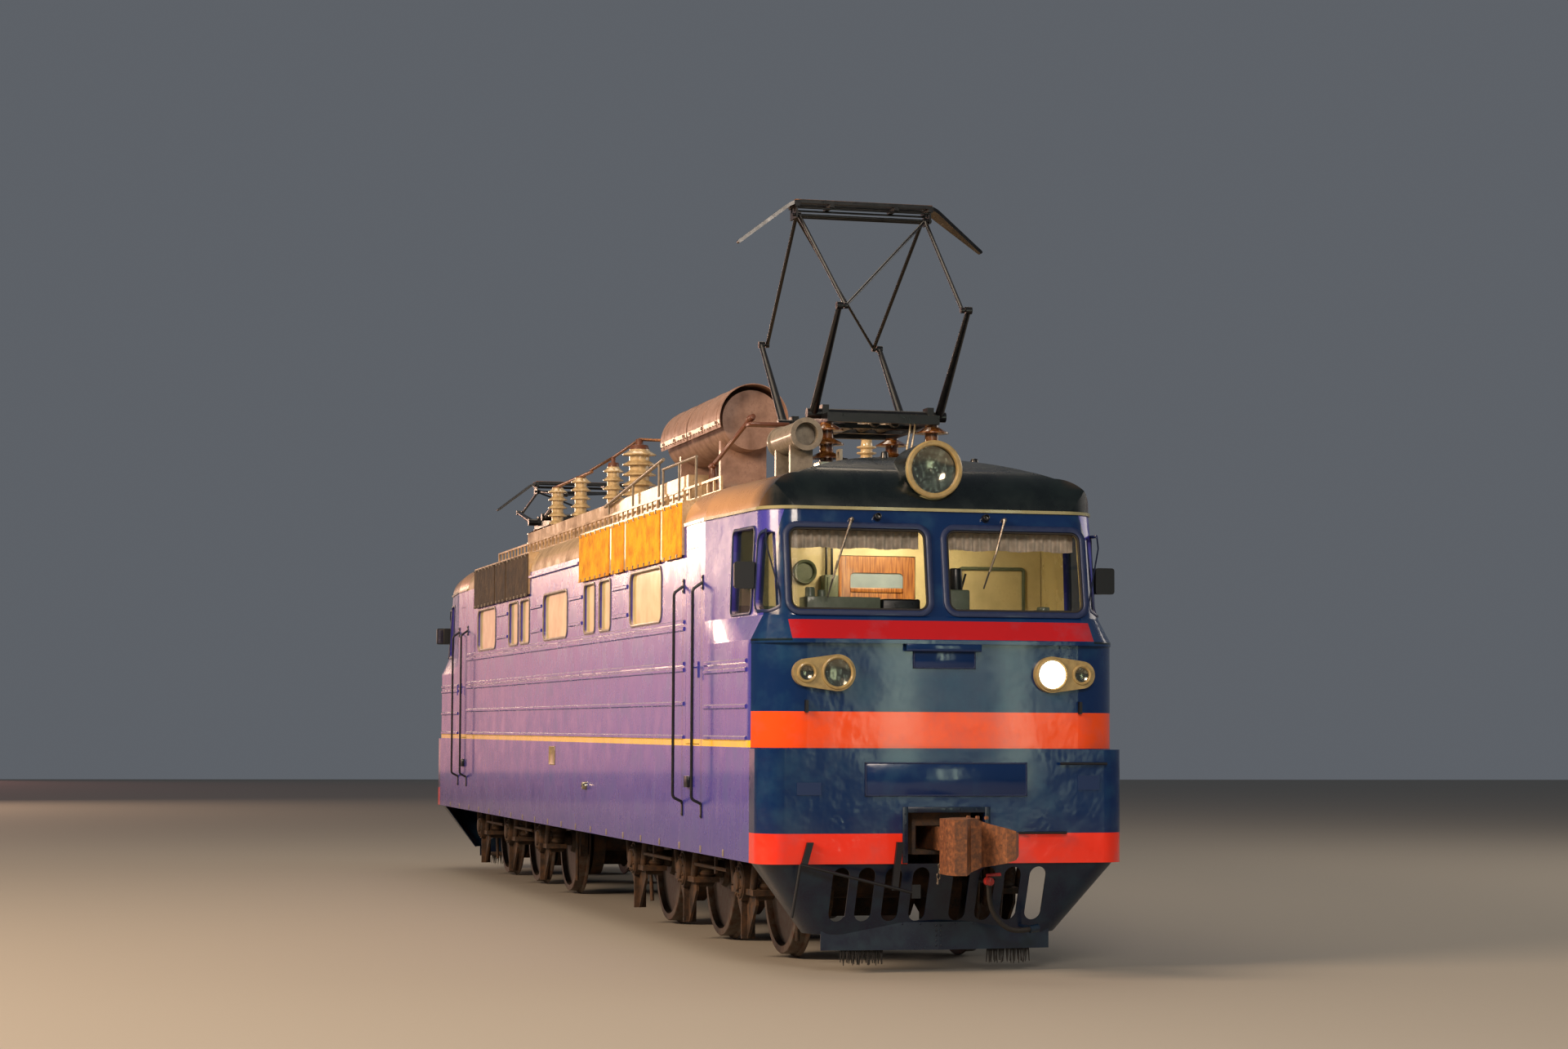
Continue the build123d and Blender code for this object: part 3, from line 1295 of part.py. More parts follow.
with BuildPart() as pods:
    for side in (-1, 1):
        with BuildSketch(Plane.YZ.offset(PANEL_X - 60)) as outline:
            with Locations((side * POD_BIG_Y, POD_Z)):
                Circle(POD_BIG_R)
            with Locations((side * POD_SMALL_Y, POD_Z)):
                Circle(POD_SMALL_R)
            make_hull()
        extrude(outline.sketch, amount=60 + POD_PROUD)
        for y, radius in ((side * POD_BIG_Y, POD_LENS_R), (side * POD_SMALL_Y, POD_SMALL_LENS_R)):
            long_bar(y, POD_Z, PANEL_X + 10, PANEL_X + POD_PROUD + 1, radius, mode=Mode.SUBTRACT)
    panel = plan(BAND_Z, PANEL_X, HALF_WIDTH, PANEL_CORNER_R, -SEAT)
    extrude(panel, amount=LIP_Z - BAND_Z, mode=Mode.SUBTRACT)
write(both_ends(pods.part), "lamp_pods")

with BuildPart() as lamp_glass:
    long_bar(0, LAMP_Z, LAMP_FACE_X - 60, LAMP_FACE_X - 40, LAMP_BORE_R - SEAT)
    for side in (-1, 1):
        for y, radius in ((side * POD_BIG_Y, POD_LENS_R), (side * POD_SMALL_Y, POD_SMALL_LENS_R)):
            long_bar(y, POD_Z, PANEL_X + 25, PANEL_X + POD_PROUD - 10, radius - SEAT)
write(both_ends(lamp_glass.part), "lamp_glass")

# Mirrors beside the driver's windows
MIRROR_X = (8850, 8895)
MIRROR_Y = (-1645, -1478)
MIRROR_Z = (3110, 3330)
MIRROR_ARM_X = 8825  # on the post between the cab's side windows
MIRROR_ARM_R = 11

with BuildPart() as mirrors:
    block(MIRROR_X, MIRROR_Y, MIRROR_Z)
    fillet(mirrors.edges().filter_by(Axis.X), 24)
    for z in (MIRROR_Z[0] + 60, MIRROR_Z[1] - 60):
        strut((MIRROR_ARM_X, -HALF_WIDTH + 90, z), (MIRROR_X[0] + 20, MIRROR_Y[1] - 40, z), MIRROR_ARM_R)
    block((MIRROR_ARM_X - 16, MIRROR_ARM_X + 16), (-HALF_WIDTH, -HALF_WIDTH + 100), MIRROR_Z)
    add(upper_cab(-SEAT), mode=Mode.SUBTRACT)

# Plates, hatch and grab handles on the apron and the panel
PLATE_HALF = 685
PLATE_Z = (1430, 1704)
PLATE_SHEET = 10
SMALL_PLATE_HALF = 265
SMALL_PLATE_Z = (2460, 2640)
# Grab handles on the apron: from y, to y, height
APRON_HANDLES = ((960, 1360, 1696), (600, 1010, 1135))
HATCHES = ((1120, 1310, 1480, 1600), (-1250, -1050, 1440, 1540))  # y from, y to, z from, z to
HANDLE_R = 11
HANDLE_STANDOFF = 48
BRACKETS_Y = (-1160, 1160)
BRACKET_Z = 2150

with BuildPart() as end_fittings:
    block((APRON_X + SEAT, APRON_X + PLATE_SHEET), (-PLATE_HALF, PLATE_HALF), PLATE_Z)
    block((PANEL_X + SEAT, PANEL_X + PLATE_SHEET), (-SMALL_PLATE_HALF, SMALL_PLATE_HALF), SMALL_PLATE_Z)
    for y_from, y_to, z in APRON_HANDLES:
        cross_bar(APRON_X + HANDLE_STANDOFF, z, y_from, y_to, HANDLE_R)
        for y in (y_from + 25, y_to - 25):
            long_bar(y, z, APRON_X + SEAT, APRON_X + HANDLE_STANDOFF, HANDLE_R - 2)
    for y_from, y_to, z_from, z_to in HATCHES:
        block((APRON_X + SEAT, APRON_X + 8), (y_from, y_to), (z_from, z_to))
    for y in BRACKETS_Y:
        block((PANEL_X - 160, PANEL_X + 40), (y - 12, y + 12), (BRACKET_Z - 50, BRACKET_Z + 50))
    add(plan_prism(BAND_Z, LIP_Z, PANEL_X, PANEL_CORNER_R), mode=Mode.SUBTRACT)
    add(plan_prism(SILL_Z, BAND_Z, APRON_X, APRON_CORNER_R), mode=Mode.SUBTRACT)
# Uncoupling rod along the apron's foot, in two bar brackets, with its handle
ROD_START = (9455, -1225, 890)
ROD_END = (9455, -270, 655)
ROD_R = 13
ROD_HANDLE = (9440, -1290, 470)
# Brackets: y at the top, y at the foot, top, foot
ROD_BRACKETS = (
    (-1140, -1195, 1065, 868),
    (-395, -440, 1065, 680),
)
ROD_BRACKET_HALF = 26

with BuildPart() as uncoupling:
    strut(ROD_START, ROD_END, ROD_R)
    strut(ROD_START, ROD_HANDLE, ROD_R - 1)
    end_x, end_y, end_z = ROD_END
    block((end_x - 14, end_x + 14), (end_y - 30, end_y + 40), (end_z - 40, end_z + 70))
    with BuildSketch(Plane.YZ.offset(APRON_X + SEAT)) as bars:
        for top_y, foot_y, top_z, foot_z in ROD_BRACKETS:
            with BuildLine():
                Polyline(
                    (top_y - ROD_BRACKET_HALF, top_z),
                    (foot_y - ROD_BRACKET_HALF, foot_z),
                    (foot_y + ROD_BRACKET_HALF, foot_z),
                    (top_y + ROD_BRACKET_HALF, top_z),
                    close=True,
                )
            make_face()
    extrude(bars.sketch, amount=ROD_START[0] - APRON_X)

# Brake cock of the front end, on a pipe that comes down from the floor behind the pilot
COCK_X, COCK_Y, COCK_FOOT_Z = HOSE_ROUTE[0]
COCK_Z = COCK_FOOT_Z + 45
BRAKE_PIPE_X = 9180
BRAKE_PIPE_R = 21

with BuildPart() as brake_cock:
    post(BRAKE_PIPE_X, COCK_Y, COCK_Z - BRAKE_PIPE_R, FLOOR_Z - SEAT, BRAKE_PIPE_R)
    long_bar(COCK_Y, COCK_Z, BRAKE_PIPE_X, COCK_X, BRAKE_PIPE_R - 2)
    long_bar(COCK_Y, COCK_Z, COCK_X - 45, COCK_X + 40, 34)
    post(COCK_X, COCK_Y, COCK_FOOT_Z, COCK_Z, HOSE_R + 6)
    block((COCK_X - 10, COCK_X + 10), (COCK_Y - 14, COCK_Y + 110), (COCK_Z + 26, COCK_Z + 44))

with BuildPart() as exterior:
    add(both_sides(mirrors.part))
    add(end_fittings.part)
    add(uncoupling.part)
with BuildPart() as exterior_fittings:
    add(both_ends(exterior.part))
    add(brake_cock.part)
write(exterior_fittings.part, "cab_exterior_fittings")

# Inside each cab: bulkhead with its doorway, driver's desk and seats
BULKHEAD_X = 7450
BULKHEAD_PLATE = 40
DESK_X = (8750, 9150)
DESK_TOP_Z = 2560
DESK_HALF = 1200
KNEE_ROOMS_Y = ((-1100, -300), (300, 1100))

DOORWAY_Y = (-380, 320)
DOORWAY_TOP_Z = 3480
LEAF_HINGE_X = BULKHEAD_X - HINGE_R - 1
LEAF_HINGE_Y = DOORWAY_Y[1] - GAP
LEAF_HINGE_FEET = (1750, 3150)
LEAF_WINDOW_Y = (-270, 210)
LEAF_WINDOW_Z = (2700, 3330)
LEAF_WINDOW_R = 40
LEAF_LOCK_Y = -325
LEAF_LOCK_Z = 2500
SEAT_X = 8250
SEATS_Y = (-750, 750)
SEAT_PAN_Z = 1930


def leaf_hinge(foot, leaf):
    """One half of a partition door's hinge, on the leaf or on the bulkhead."""
    tab_y = (LEAF_HINGE_Y - 40, LEAF_HINGE_Y) if leaf else (LEAF_HINGE_Y, LEAF_HINGE_Y + 46)
    hinge_half(LEAF_HINGE_X, LEAF_HINGE_Y, foot, leaf, (LEAF_HINGE_X - 2, BULKHEAD_X), tab_y)


with BuildPart() as fittings:
    block(
        (BULKHEAD_X, BULKHEAD_X + BULKHEAD_PLATE),
        (-INNER_Y + 12, INNER_Y - 12),
        (FLOOR_TOP_Z, EAVE_Z),
    )
    block((BULKHEAD_X - 1, BULKHEAD_X + 60), DOORWAY_Y, (FLOOR_TOP_Z - 1, DOORWAY_TOP_Z), mode=Mode.SUBTRACT)
    for foot in LEAF_HINGE_FEET:
        leaf_hinge(foot, leaf=False)
    block(DESK_X, (-DESK_HALF, DESK_HALF), (FLOOR_TOP_Z, DESK_TOP_Z))
    for knees_y in KNEE_ROOMS_Y:
        knees_z = (FLOOR_TOP_Z - 1, DESK_TOP_Z - 120)
        block((DESK_X[0] - 1, DESK_X[0] + 250), knees_y, knees_z, mode=Mode.SUBTRACT)
    for y in SEATS_Y:
        post(SEAT_X, y, FLOOR_TOP_Z, SEAT_PAN_Z - 10, 60)
        block((SEAT_X - 260, SEAT_X + 200), (y - 200, y + 200), (SEAT_PAN_Z - 30, SEAT_PAN_Z))
        block((SEAT_X - 260, SEAT_X - 230), (y - 200, y + 200), (SEAT_PAN_Z - 30, 2600))
write(both_ends(fittings.part), "cab_fittings")

with BuildPart() as partition_door:
    block(
        (BULKHEAD_X, BULKHEAD_X + BULKHEAD_PLATE),
        (DOORWAY_Y[0] + GAP, DOORWAY_Y[1] - GAP),
        (FLOOR_TOP_Z + GAP, DOORWAY_TOP_Z - GAP),
    )
    with BuildSketch(Plane.YZ.offset(BULKHEAD_X)) as pane_hole:
        y_from, y_to = LEAF_WINDOW_Y
        z_from, z_to = LEAF_WINDOW_Z
        with Locations(((y_from + y_to) / 2, (z_from + z_to) / 2)):
            RectangleRounded(y_to - y_from, z_to - z_from, LEAF_WINDOW_R)
    extrude(pane_hole.sketch, amount=BULKHEAD_PLATE, mode=Mode.SUBTRACT)
    long_bar(LEAF_LOCK_Y, LEAF_LOCK_Z, BULKHEAD_X - 30, BULKHEAD_X + BULKHEAD_PLATE + 30, 9)
    for x in (BULKHEAD_X - 35, BULKHEAD_X + BULKHEAD_PLATE + 25):
        block((x, x + 10), (LEAF_LOCK_Y - 9, LEAF_LOCK_Y + 100), (LEAF_LOCK_Z - 10, LEAF_LOCK_Z + 10))
    for foot in LEAF_HINGE_FEET:
        leaf_hinge(foot, leaf=True)
write(partition_door.part, "cab_partition_door_front")
write(partition_door.part.rotate(Axis.Z, 180), "cab_partition_door_rear")

with BuildPart() as cushions:
    for y in SEATS_Y:
        block((SEAT_X - 200, SEAT_X + 240), (y - 230, y + 230), (SEAT_PAN_Z + SEAT, SEAT_PAN_Z + 110))
        block((SEAT_X - 230 + SEAT, SEAT_X - 130), (y - 230, y + 230), (SEAT_PAN_Z + 130, 2640))
write(both_ends(cushions.part), "seat_cushions")

with BuildPart() as curtains:
    for side in (-1, 1):
        block((8960, 8985), sorted_pair(side * 110, side * 1230), (3440, 3650))
        block((8960, 9080), sorted_pair(side * 110, side * 1230), (3625, 3650))
    add(upper_cab(WALL + SEAT), mode=Mode.INTERSECT)
write(both_ends(curtains.part), "cab_curtains")

# The main transformer, a closed block on the floor of the machine room
with BuildPart() as transformer:
    block((-1400, 1400), (-850, 850), (FLOOR_TOP_Z, 3100))
write(transformer.part, "transformer")

# Air reservoirs and equipment boxes under the floor, between the bogies
TANK_R = 210
TANK_Z = 1060
with BuildPart() as tanks:
    for side in (-1, 1):
        for low, high in ((-1450, -100), (100, 1450)):
            long_bar(side * 1130, TANK_Z, low, high, TANK_R)
            for x in (low + 200, high - 200):
                block((x - 25, x + 25), sorted_pair(side * 1030, side * 1230), (TANK_Z, SILL_BEAM_LOW_Z))
                block((x - 25, x + 25), sorted_pair(side * 1030, side * 1230), (SILL_BEAM_LOW_Z - 1, FLOOR_Z))
    block((-1000, 1000), (-600, 600), (760, SILL_BEAM_LOW_Z - GAP))
    for x in (-900, 900):
        block((x - 40, x + 40), (-500, 500), (1200, FLOOR_Z))
write(tanks.part, "underfloor_gear")

# Air reservoir on the roof, under a curved sunshade in two lengths
DRUM_Y = -450
DRUM_Z = 4950
DRUM_R = 290
SHADE_R = 345
SHADE_PLATE = 8
DRUM_X = (2020, 4560)
SHADES_X = ((1950, 3180), (3230, 4660))

with BuildPart() as drum:
    long_bar(DRUM_Y, DRUM_Z, DRUM_X[0], DRUM_X[1], DRUM_R)
    for x in (2400, 4200):
        block((x - 40, x + 40), (DRUM_Y - 230, DRUM_Y + 230), (4180, DRUM_Z - 150))
    for x_from, x_to in SHADES_X:
        with BuildSketch(Plane.YZ.offset(x_from)) as arch:
            with BuildLine():
                arc_1 = CenterArc((DRUM_Y, DRUM_Z), SHADE_R, -15, 210)
                arc_2 = CenterArc((DRUM_Y, DRUM_Z), SHADE_R - SHADE_PLATE, -15, 210)
                Line(arc_1 @ 0, arc_2 @ 0)
                Line(arc_1 @ 1, arc_2 @ 1)
            make_face()
        extrude(arch.sketch, amount=x_to - x_from)
        for x in (x_from + 250, x_to - 250):
            block((x - 20, x + 20), (DRUM_Y - SHADE_R + 2, DRUM_Y + SHADE_R - 2), (DRUM_Z - 20, DRUM_Z + 20))
    add(roof_solid(-8200, 8200, -SEAT), mode=Mode.SUBTRACT)
write(drum.part, "air_reservoir")

# Ribbed posts and the busbar over the rear half of the roof
# Posts: x, y, top, shed radius
POSTS = (
    (-4600, -723, 4980, 120),
    (-3000, -723, 4980, 120),
    (-1600, -600, 5000, 120),
    (-100, -600, 5070, 190),
    (700, 500, 4980, 120),
    (-2600, 500, 4980, 120),
)
with BuildPart() as roof_posts:
    for x, y, top, radius in POSTS:
        shed_insulator(x, y, ROOF_TOP_Z, top, radius, radius * 0.6, 7)
        block((x - 110, x + 110), (y - 110, y + 110), (ROOF_TOP_Z - 100, ROOF_TOP_Z))
    add(roof_solid(-8200, 8200, -SEAT), mode=Mode.SUBTRACT)
write(roof_posts.part, "roof_posts")

with BuildPart() as busbars:
    long_bar(-723, 4980 + 20 + SEAT, -4900, -2300, 20)
write(busbars.part, "busbars")

# Duct boxes, rail strips along the roof's edge, and grab bars
with BuildPart() as ducts:
    block((-4700, 4600), (-1080, -880), (4100, 4400))
    block((-1500, 1500), (-400, 330), (4200, 4420))
    add(roof_solid(-8200, 8200, -SEAT), mode=Mode.SUBTRACT)
write(ducts.part, "roof_ducts")

# High-voltage choke, the sloping pipe beside the reservoir and the grab bar
CHOKE_X = (7080, 7930)
CHOKE_Y = -785
CHOKE_Z = 4490
CHOKE_R = 128
CHOKE_FLANGE_R = 142
CHOKE_BORE_R = 100
PIPE_START = (600, -1115, 4370)
PIPE_END = (3600, -1115, 4630)
PIPE_R = 18
PIPE_POSTS_X = (800, 2100, 3400)
GRAB_Y = -1190
GRAB_X = (3940, 5440)
GRAB_Z = 4500
GRAB_R = 14
EYE_X = 8020
EYE_Y = -520

with BuildPart() as roof_fittings:
    long_bar(CHOKE_Y, CHOKE_Z, CHOKE_X[0], CHOKE_X[1], CHOKE_R)
    for x in (CHOKE_X[0], CHOKE_X[1] - 40):
        long_bar(CHOKE_Y, CHOKE_Z, x, x + 40, CHOKE_FLANGE_R)
    for x in (CHOKE_X[0] + 150, CHOKE_X[1] - 200):
        block((x - 25, x + 25), (CHOKE_Y - 100, CHOKE_Y + 100), (crown_z(CHOKE_Y) - 60, CHOKE_Z))
    long_bar(CHOKE_Y, CHOKE_Z, CHOKE_X[1] - 120, CHOKE_X[1], CHOKE_BORE_R, mode=Mode.SUBTRACT)
    strut(PIPE_START, PIPE_END, PIPE_R)
    for x in PIPE_POSTS_X:
        share = (x - PIPE_START[0]) / (PIPE_END[0] - PIPE_START[0])
        pipe_z = PIPE_START[2] + share * (PIPE_END[2] - PIPE_START[2])
        post(x, PIPE_START[1], crown_z(PIPE_START[1]) - 40, pipe_z, PIPE_R * 0.7)
    long_bar(GRAB_Y, GRAB_Z, GRAB_X[0], GRAB_X[1], GRAB_R)
    for x in (GRAB_X[0] + GRAB_R, sum(GRAB_X) / 2, GRAB_X[1] - GRAB_R):
        post(x, GRAB_Y, crown_z(GRAB_Y) - 60, GRAB_Z, GRAB_R - 2)
    block((EYE_X - 60, EYE_X + 60), (EYE_Y - 12, EYE_Y + 12), (crown_z(EYE_Y) - 60, crown_z(EYE_Y) + 110))
    cross_bar(EYE_X, crown_z(EYE_Y) + 60, EYE_Y - 13, EYE_Y + 13, 30, mode=Mode.SUBTRACT)
    add(roof_solid(-CAB_START_X, CAB_START_X, -SEAT), mode=Mode.SUBTRACT)
    add(cab_roof_solid(-SEAT), mode=Mode.SUBTRACT)
write(roof_fittings.part, "roof_fittings")

STRIP_Y = 1160
STRIP_PITCH = 250
STRIP_X = (-6500, 6350)
STRIP_TOP_Z = 4250
STRIP_POSTS = int((STRIP_X[1] - STRIP_X[0]) / STRIP_PITCH)

with BuildPart() as strip:
    foot_z = crown_z(STRIP_Y - 10) + SEAT
    with BuildSketch(Plane.XZ.offset(STRIP_Y - 10)):
        with Locations(((STRIP_X[0] + STRIP_X[1]) / 2, (foot_z + STRIP_TOP_Z) / 2)):
            Rectangle(STRIP_X[1] - STRIP_X[0], STRIP_TOP_Z - foot_z)
            with GridLocations(STRIP_PITCH, 1, STRIP_POSTS, 1):
                Rectangle(STRIP_PITCH - 20, STRIP_TOP_Z - foot_z - 44, mode=Mode.SUBTRACT)
    extrude(amount=20)
write(both_sides(strip.part), "roof_rail_strips")
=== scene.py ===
# %% [markdown]
# # An electric locomotive, dressed for the camera
#
# The solid model comes in as a fixed frame: every wall, wheel and arm already has its real size
# and place, in metres. X runs forward, Y to the left and Z up from the floor under the wheels.
# This file gives the frame its finishes and adds the small pieces that solids leave out.

# %% Load the frame
import math
import random

import bpy
import bmesh
from mathutils import Matrix, Vector
from mathutils.bvhtree import BVHTree


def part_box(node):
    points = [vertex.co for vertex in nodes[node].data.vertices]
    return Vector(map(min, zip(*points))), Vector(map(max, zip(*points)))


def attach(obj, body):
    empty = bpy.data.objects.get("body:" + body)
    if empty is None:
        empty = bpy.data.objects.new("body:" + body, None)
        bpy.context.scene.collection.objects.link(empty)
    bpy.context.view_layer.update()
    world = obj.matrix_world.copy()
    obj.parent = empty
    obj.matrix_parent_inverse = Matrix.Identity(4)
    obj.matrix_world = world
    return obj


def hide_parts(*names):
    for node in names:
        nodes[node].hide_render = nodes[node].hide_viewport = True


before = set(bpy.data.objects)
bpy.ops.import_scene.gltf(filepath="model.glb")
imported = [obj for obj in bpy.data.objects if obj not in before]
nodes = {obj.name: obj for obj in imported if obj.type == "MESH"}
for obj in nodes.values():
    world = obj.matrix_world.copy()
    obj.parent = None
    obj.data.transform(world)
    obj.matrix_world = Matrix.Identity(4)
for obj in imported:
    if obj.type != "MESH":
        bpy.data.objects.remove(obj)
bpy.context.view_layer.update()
ROOT = "locomotive"
random.seed(60)

# %% [markdown]
# ## The camera
#
# The photograph was taken from a platform, a little to the right of the track and at eye
# height, with a long lens. Solving for the camera from the wheelbase, the coupler height and the
# upright edges of the cab gave the numbers below. Roll is kept, since the photographer held the
# camera a third of a degree off level.

# %% Set the camera
CAMERA_PLACE = (32.716, -7.322, 1.973)
CAMERA_YAW = math.radians(165.654)
CAMERA_PITCH = math.radians(3.877)
CAMERA_ROLL = math.radians(0.2706)
SENSOR_MM = 36.0
LENS_MM = 69.05

look = Vector((
    math.cos(CAMERA_PITCH) * math.cos(CAMERA_YAW),
    math.cos(CAMERA_PITCH) * math.sin(CAMERA_YAW),
    math.sin(CAMERA_PITCH),
))
level_right = look.cross(Vector((0, 0, 1))).normalized()
level_up = level_right.cross(look)
right = math.cos(CAMERA_ROLL) * level_right + math.sin(CAMERA_ROLL) * level_up
up = math.cos(CAMERA_ROLL) * level_up - math.sin(CAMERA_ROLL) * level_right

camera_data = bpy.data.cameras.new("platform_camera")
camera_data.sensor_width = SENSOR_MM
camera_data.lens = LENS_MM
camera_data.clip_end = 200
camera = bpy.data.objects.new("platform_camera", camera_data)
bpy.context.scene.collection.objects.link(camera)
axes = Matrix((right, up, -look)).transposed().to_4x4()
camera.matrix_world = Matrix.Translation(CAMERA_PLACE) @ axes
bpy.context.scene.camera = camera
bpy.context.scene.view_settings.view_transform = "Standard"
print("camera at", CAMERA_PLACE, "looking along", [round(v, 3) for v in look])

# %% [markdown]
# ## The brake hose
#
# A rubber brake hose hangs from its cock under the coupler and ends in a holder on the pilot.
# Its route is a short list of control points, and the curve through them is smooth, because a
# stiff hose can't kink. A bevel gives the curve its thickness. The points could be sampled from
# a simulation, but the six listed points follow the photograph better.

# %% Hang the hose
HOSE_RADIUS = 0.020
HOSE_ROUTE = (
    (9.450, 0.352, 0.700),
    (9.450, 0.352, 0.580),
    (9.446, 0.402, 0.460),
    (9.436, 0.492, 0.372),
    (9.420, 0.604, 0.338),
    (9.402, 0.715, 0.354),
)

hose_curve = bpy.data.curves.new("brake_hose_rubber", "CURVE")
hose_curve.dimensions = "3D"
hose_curve.bevel_depth = HOSE_RADIUS
hose_curve.bevel_resolution = 6
hose_curve.resolution_u = 12
spline = hose_curve.splines.new("NURBS")
spline.points.add(len(HOSE_ROUTE) - 1)
for point, place in zip(spline.points, HOSE_ROUTE):
    point.co = (*place, 1.0)
spline.order_u = 3
spline.use_endpoint_u = True
hose = bpy.data.objects.new("brake_hose_rubber", hose_curve)
bpy.context.scene.collection.objects.link(hose)
print("hose points", len(spline.points))

# %% [markdown]
# ## Floor and light
#
# A plain floor takes the place of the station. Large soft lights stand where a studio would
# hang them: a key over the platform side, a fill in front of the cab and a long one over the
# roof. Big lights give long soft highlights, which is what makes enamel look like enamel. Two
# narrow strips and a far rosy wall are there only to be mirrored in the front and in the side.

# %% Tools for finishes


def linear(colour):
    """Turns an sRGB hex value into the linear colour that a shader works with."""
    parts = [int(colour[i:i + 2], 16) / 255 for i in (1, 3, 5)]
    return tuple(v / 12.92 if v <= 0.04045 else ((v + 0.055) / 1.055) ** 2.4 for v in parts) + (1.0,)


def feed(tree, node, inputs):
    """Sets a node's inputs: each value is a number, a hex colour, a socket, or a node's main output."""
    for key, value in inputs.items():
        socket = node.inputs[key]
        if isinstance(value, bpy.types.Node):
            value = value.outputs[2] if value.bl_idname == "ShaderNodeMix" else value.outputs[0]
        if isinstance(value, bpy.types.NodeSocket):
            tree.links.new(value, socket)
        elif isinstance(value, str):
            socket.default_value = linear(value)
        else:
            socket.default_value = value


def put(tree, kind, inputs=None, **settings):
    """Adds one node with its settings and feeds its inputs."""
    node = tree.nodes.new(kind)
    for key, value in settings.items():
        setattr(node, key, value)
    feed(tree, node, inputs or {})
    return node


def new_finish(name, roughness, coat=0.0, metallic=0.0):
    """A material with its shader, its tree and the object's own coordinates."""
    material = bpy.data.materials.new(name)
    material.use_nodes = True
    tree = material.node_tree
    shader = tree.nodes["Principled BSDF"]
    feed(tree, shader, {"Roughness": roughness, "Coat Weight": coat, "Metallic": metallic})
    place = put(tree, "ShaderNodeTexCoord").outputs["Object"]
    return material, tree, shader, place


# %% Lay the floor
FLOOR_SIZE = 160

bpy.ops.object.select_all(action="DESELECT")
bpy.ops.mesh.primitive_plane_add(size=FLOOR_SIZE)
floor = bpy.context.object
floor.name = "floor"
floor_paint, tree, shader, place = new_finish("studio_floor", 0.85)
feed(tree, shader, {"Base Color": "#9c978e"})
floor.data.materials.append(floor_paint)

# %% Hang the lights
# Name, place, aim, size along and across, watts, colour
LIGHTS = (
    ("key_light", (14, -22, 13), (0, 0, 2), (13, 6), 7600, "#ffdcb8"),
    ("front_strip_right", (31, 7.95, 3.8), (9, 0, 2.4), (0.5, 5.6), 62, "#d9f0d2"),
    ("front_strip_left", (31, 6.05, 3.8), (9, 0, 2.4), (0.6, 5.6), 76, "#d9f0d2"),
    ("front_fill", (27, -3, 10), (9, 0, 2.4), (6, 4), 1600, "#ffeedd"),
    ("tail_strip", (-46, -15, 8), (0, -1.5, 2.8), (9, 3), 2000, "#ffd6b4"),
    ("dusk_wall", (-78, -21, 9.3), (0, -21, 9.3), (26, 18), 1480, "#f5a49a"),
    ("roof_light", (-4, -4, 22), (0, 0, 3), (26, 12), 2300, "#ffe9cd"),
    ("far_side_light", (2, 26, 12), (0, 0, 2), (20, 10), 1800, "#fff3e4"),
    ("front_cab_lamp", (8.25, 0.0, 3.66), (7.6, 0.0, 2.9), (0.9, 0.4), 19, "#ffe6b8"),
    ("rear_cab_lamp", (-8.25, 0.0, 3.66), (-7.6, 0.0, 2.9), (0.9, 0.4), 19, "#ffe6b8"),
)
for name, place, aim, size, watts, colour in LIGHTS:
    data = bpy.data.lights.new(name, "AREA")
    data.shape = "RECTANGLE"
    data.size, data.size_y = size
    data.energy = watts
    data.color = linear(colour)[:3]
    light = bpy.data.objects.new(name, data)
    turn = (Vector(aim) - Vector(place)).to_track_quat("-Z", "Y").to_matrix().to_4x4()
    light.matrix_world = Matrix.Translation(place) @ turn
    bpy.context.scene.collection.objects.link(light)
world = bpy.data.worlds.new("studio_air")
world.use_nodes = True
feed(world.node_tree, world.node_tree.nodes["Background"], {"Color": "#c4ccd8", "Strength": 0.20})
bpy.context.scene.world = world
print("lights", len(LIGHTS))

# %% [markdown]
# ## How the finishes are made
#
# Every finish below is a set of nodes on the object's own coordinates, so a speck of rust stays
# on its spot when a bogie turns. A noise texture's scale is the number of blotches in a metre,
# so a size in millimetres is written as 1000 / size.
#
# ## Body enamel with its stripes
#
# The body is steel sheet sprayed with blue enamel, polished by rain and washing brushes. The
# stripes are masked and sprayed, so they are perfectly level and have hard edges: a constant
# colour ramp over the height gives exactly that. Near the ends a second ramp takes over, with
# the orange band, the red band on the apron and the dark red strip on the sloping belt.
# Sheet that wide is never flat, so a long shallow swell bends its reflections, and dust clings
# in streaks that run down.

# %% Mix the body enamel
BODY_HEIGHT = 5.0  # the ramps cover this height
SIDE_BLUE = "#4440a8"
FRONT_BLUE = "#082858"
ORANGE = "#ff5414"
APRON_RED = "#ff341c"
BELT_RED = "#b01216"
YELLOW = "#ffd400"
SHADOW_LINE_BLACK = "#05070c"
CAB_CREAM = "#cdbf8e"
STRIPE_START_X = 9.05
BELT_STRIP_HALF = 1.28
BELT_START_Z = 2.5
# Height where each colour starts
SIDE_BANDS = ((0.0, SIDE_BLUE), (1.81, YELLOW), (1.872, SIDE_BLUE))
# Painted shade: the two thin black bands are painted shadow lines, one just over the apron and one under the
# lip's overhang
FRONT_BANDS = (
    (0.0, APRON_RED), (1.13, FRONT_BLUE), (1.799, SHADOW_LINE_BLACK), (1.812, ORANGE), (2.09, FRONT_BLUE),
    (2.664, SHADOW_LINE_BLACK), (2.690, FRONT_BLUE),
)
BELT_BANDS = ((0.0, FRONT_BLUE), (2.694, BELT_RED), (2.845, FRONT_BLUE))


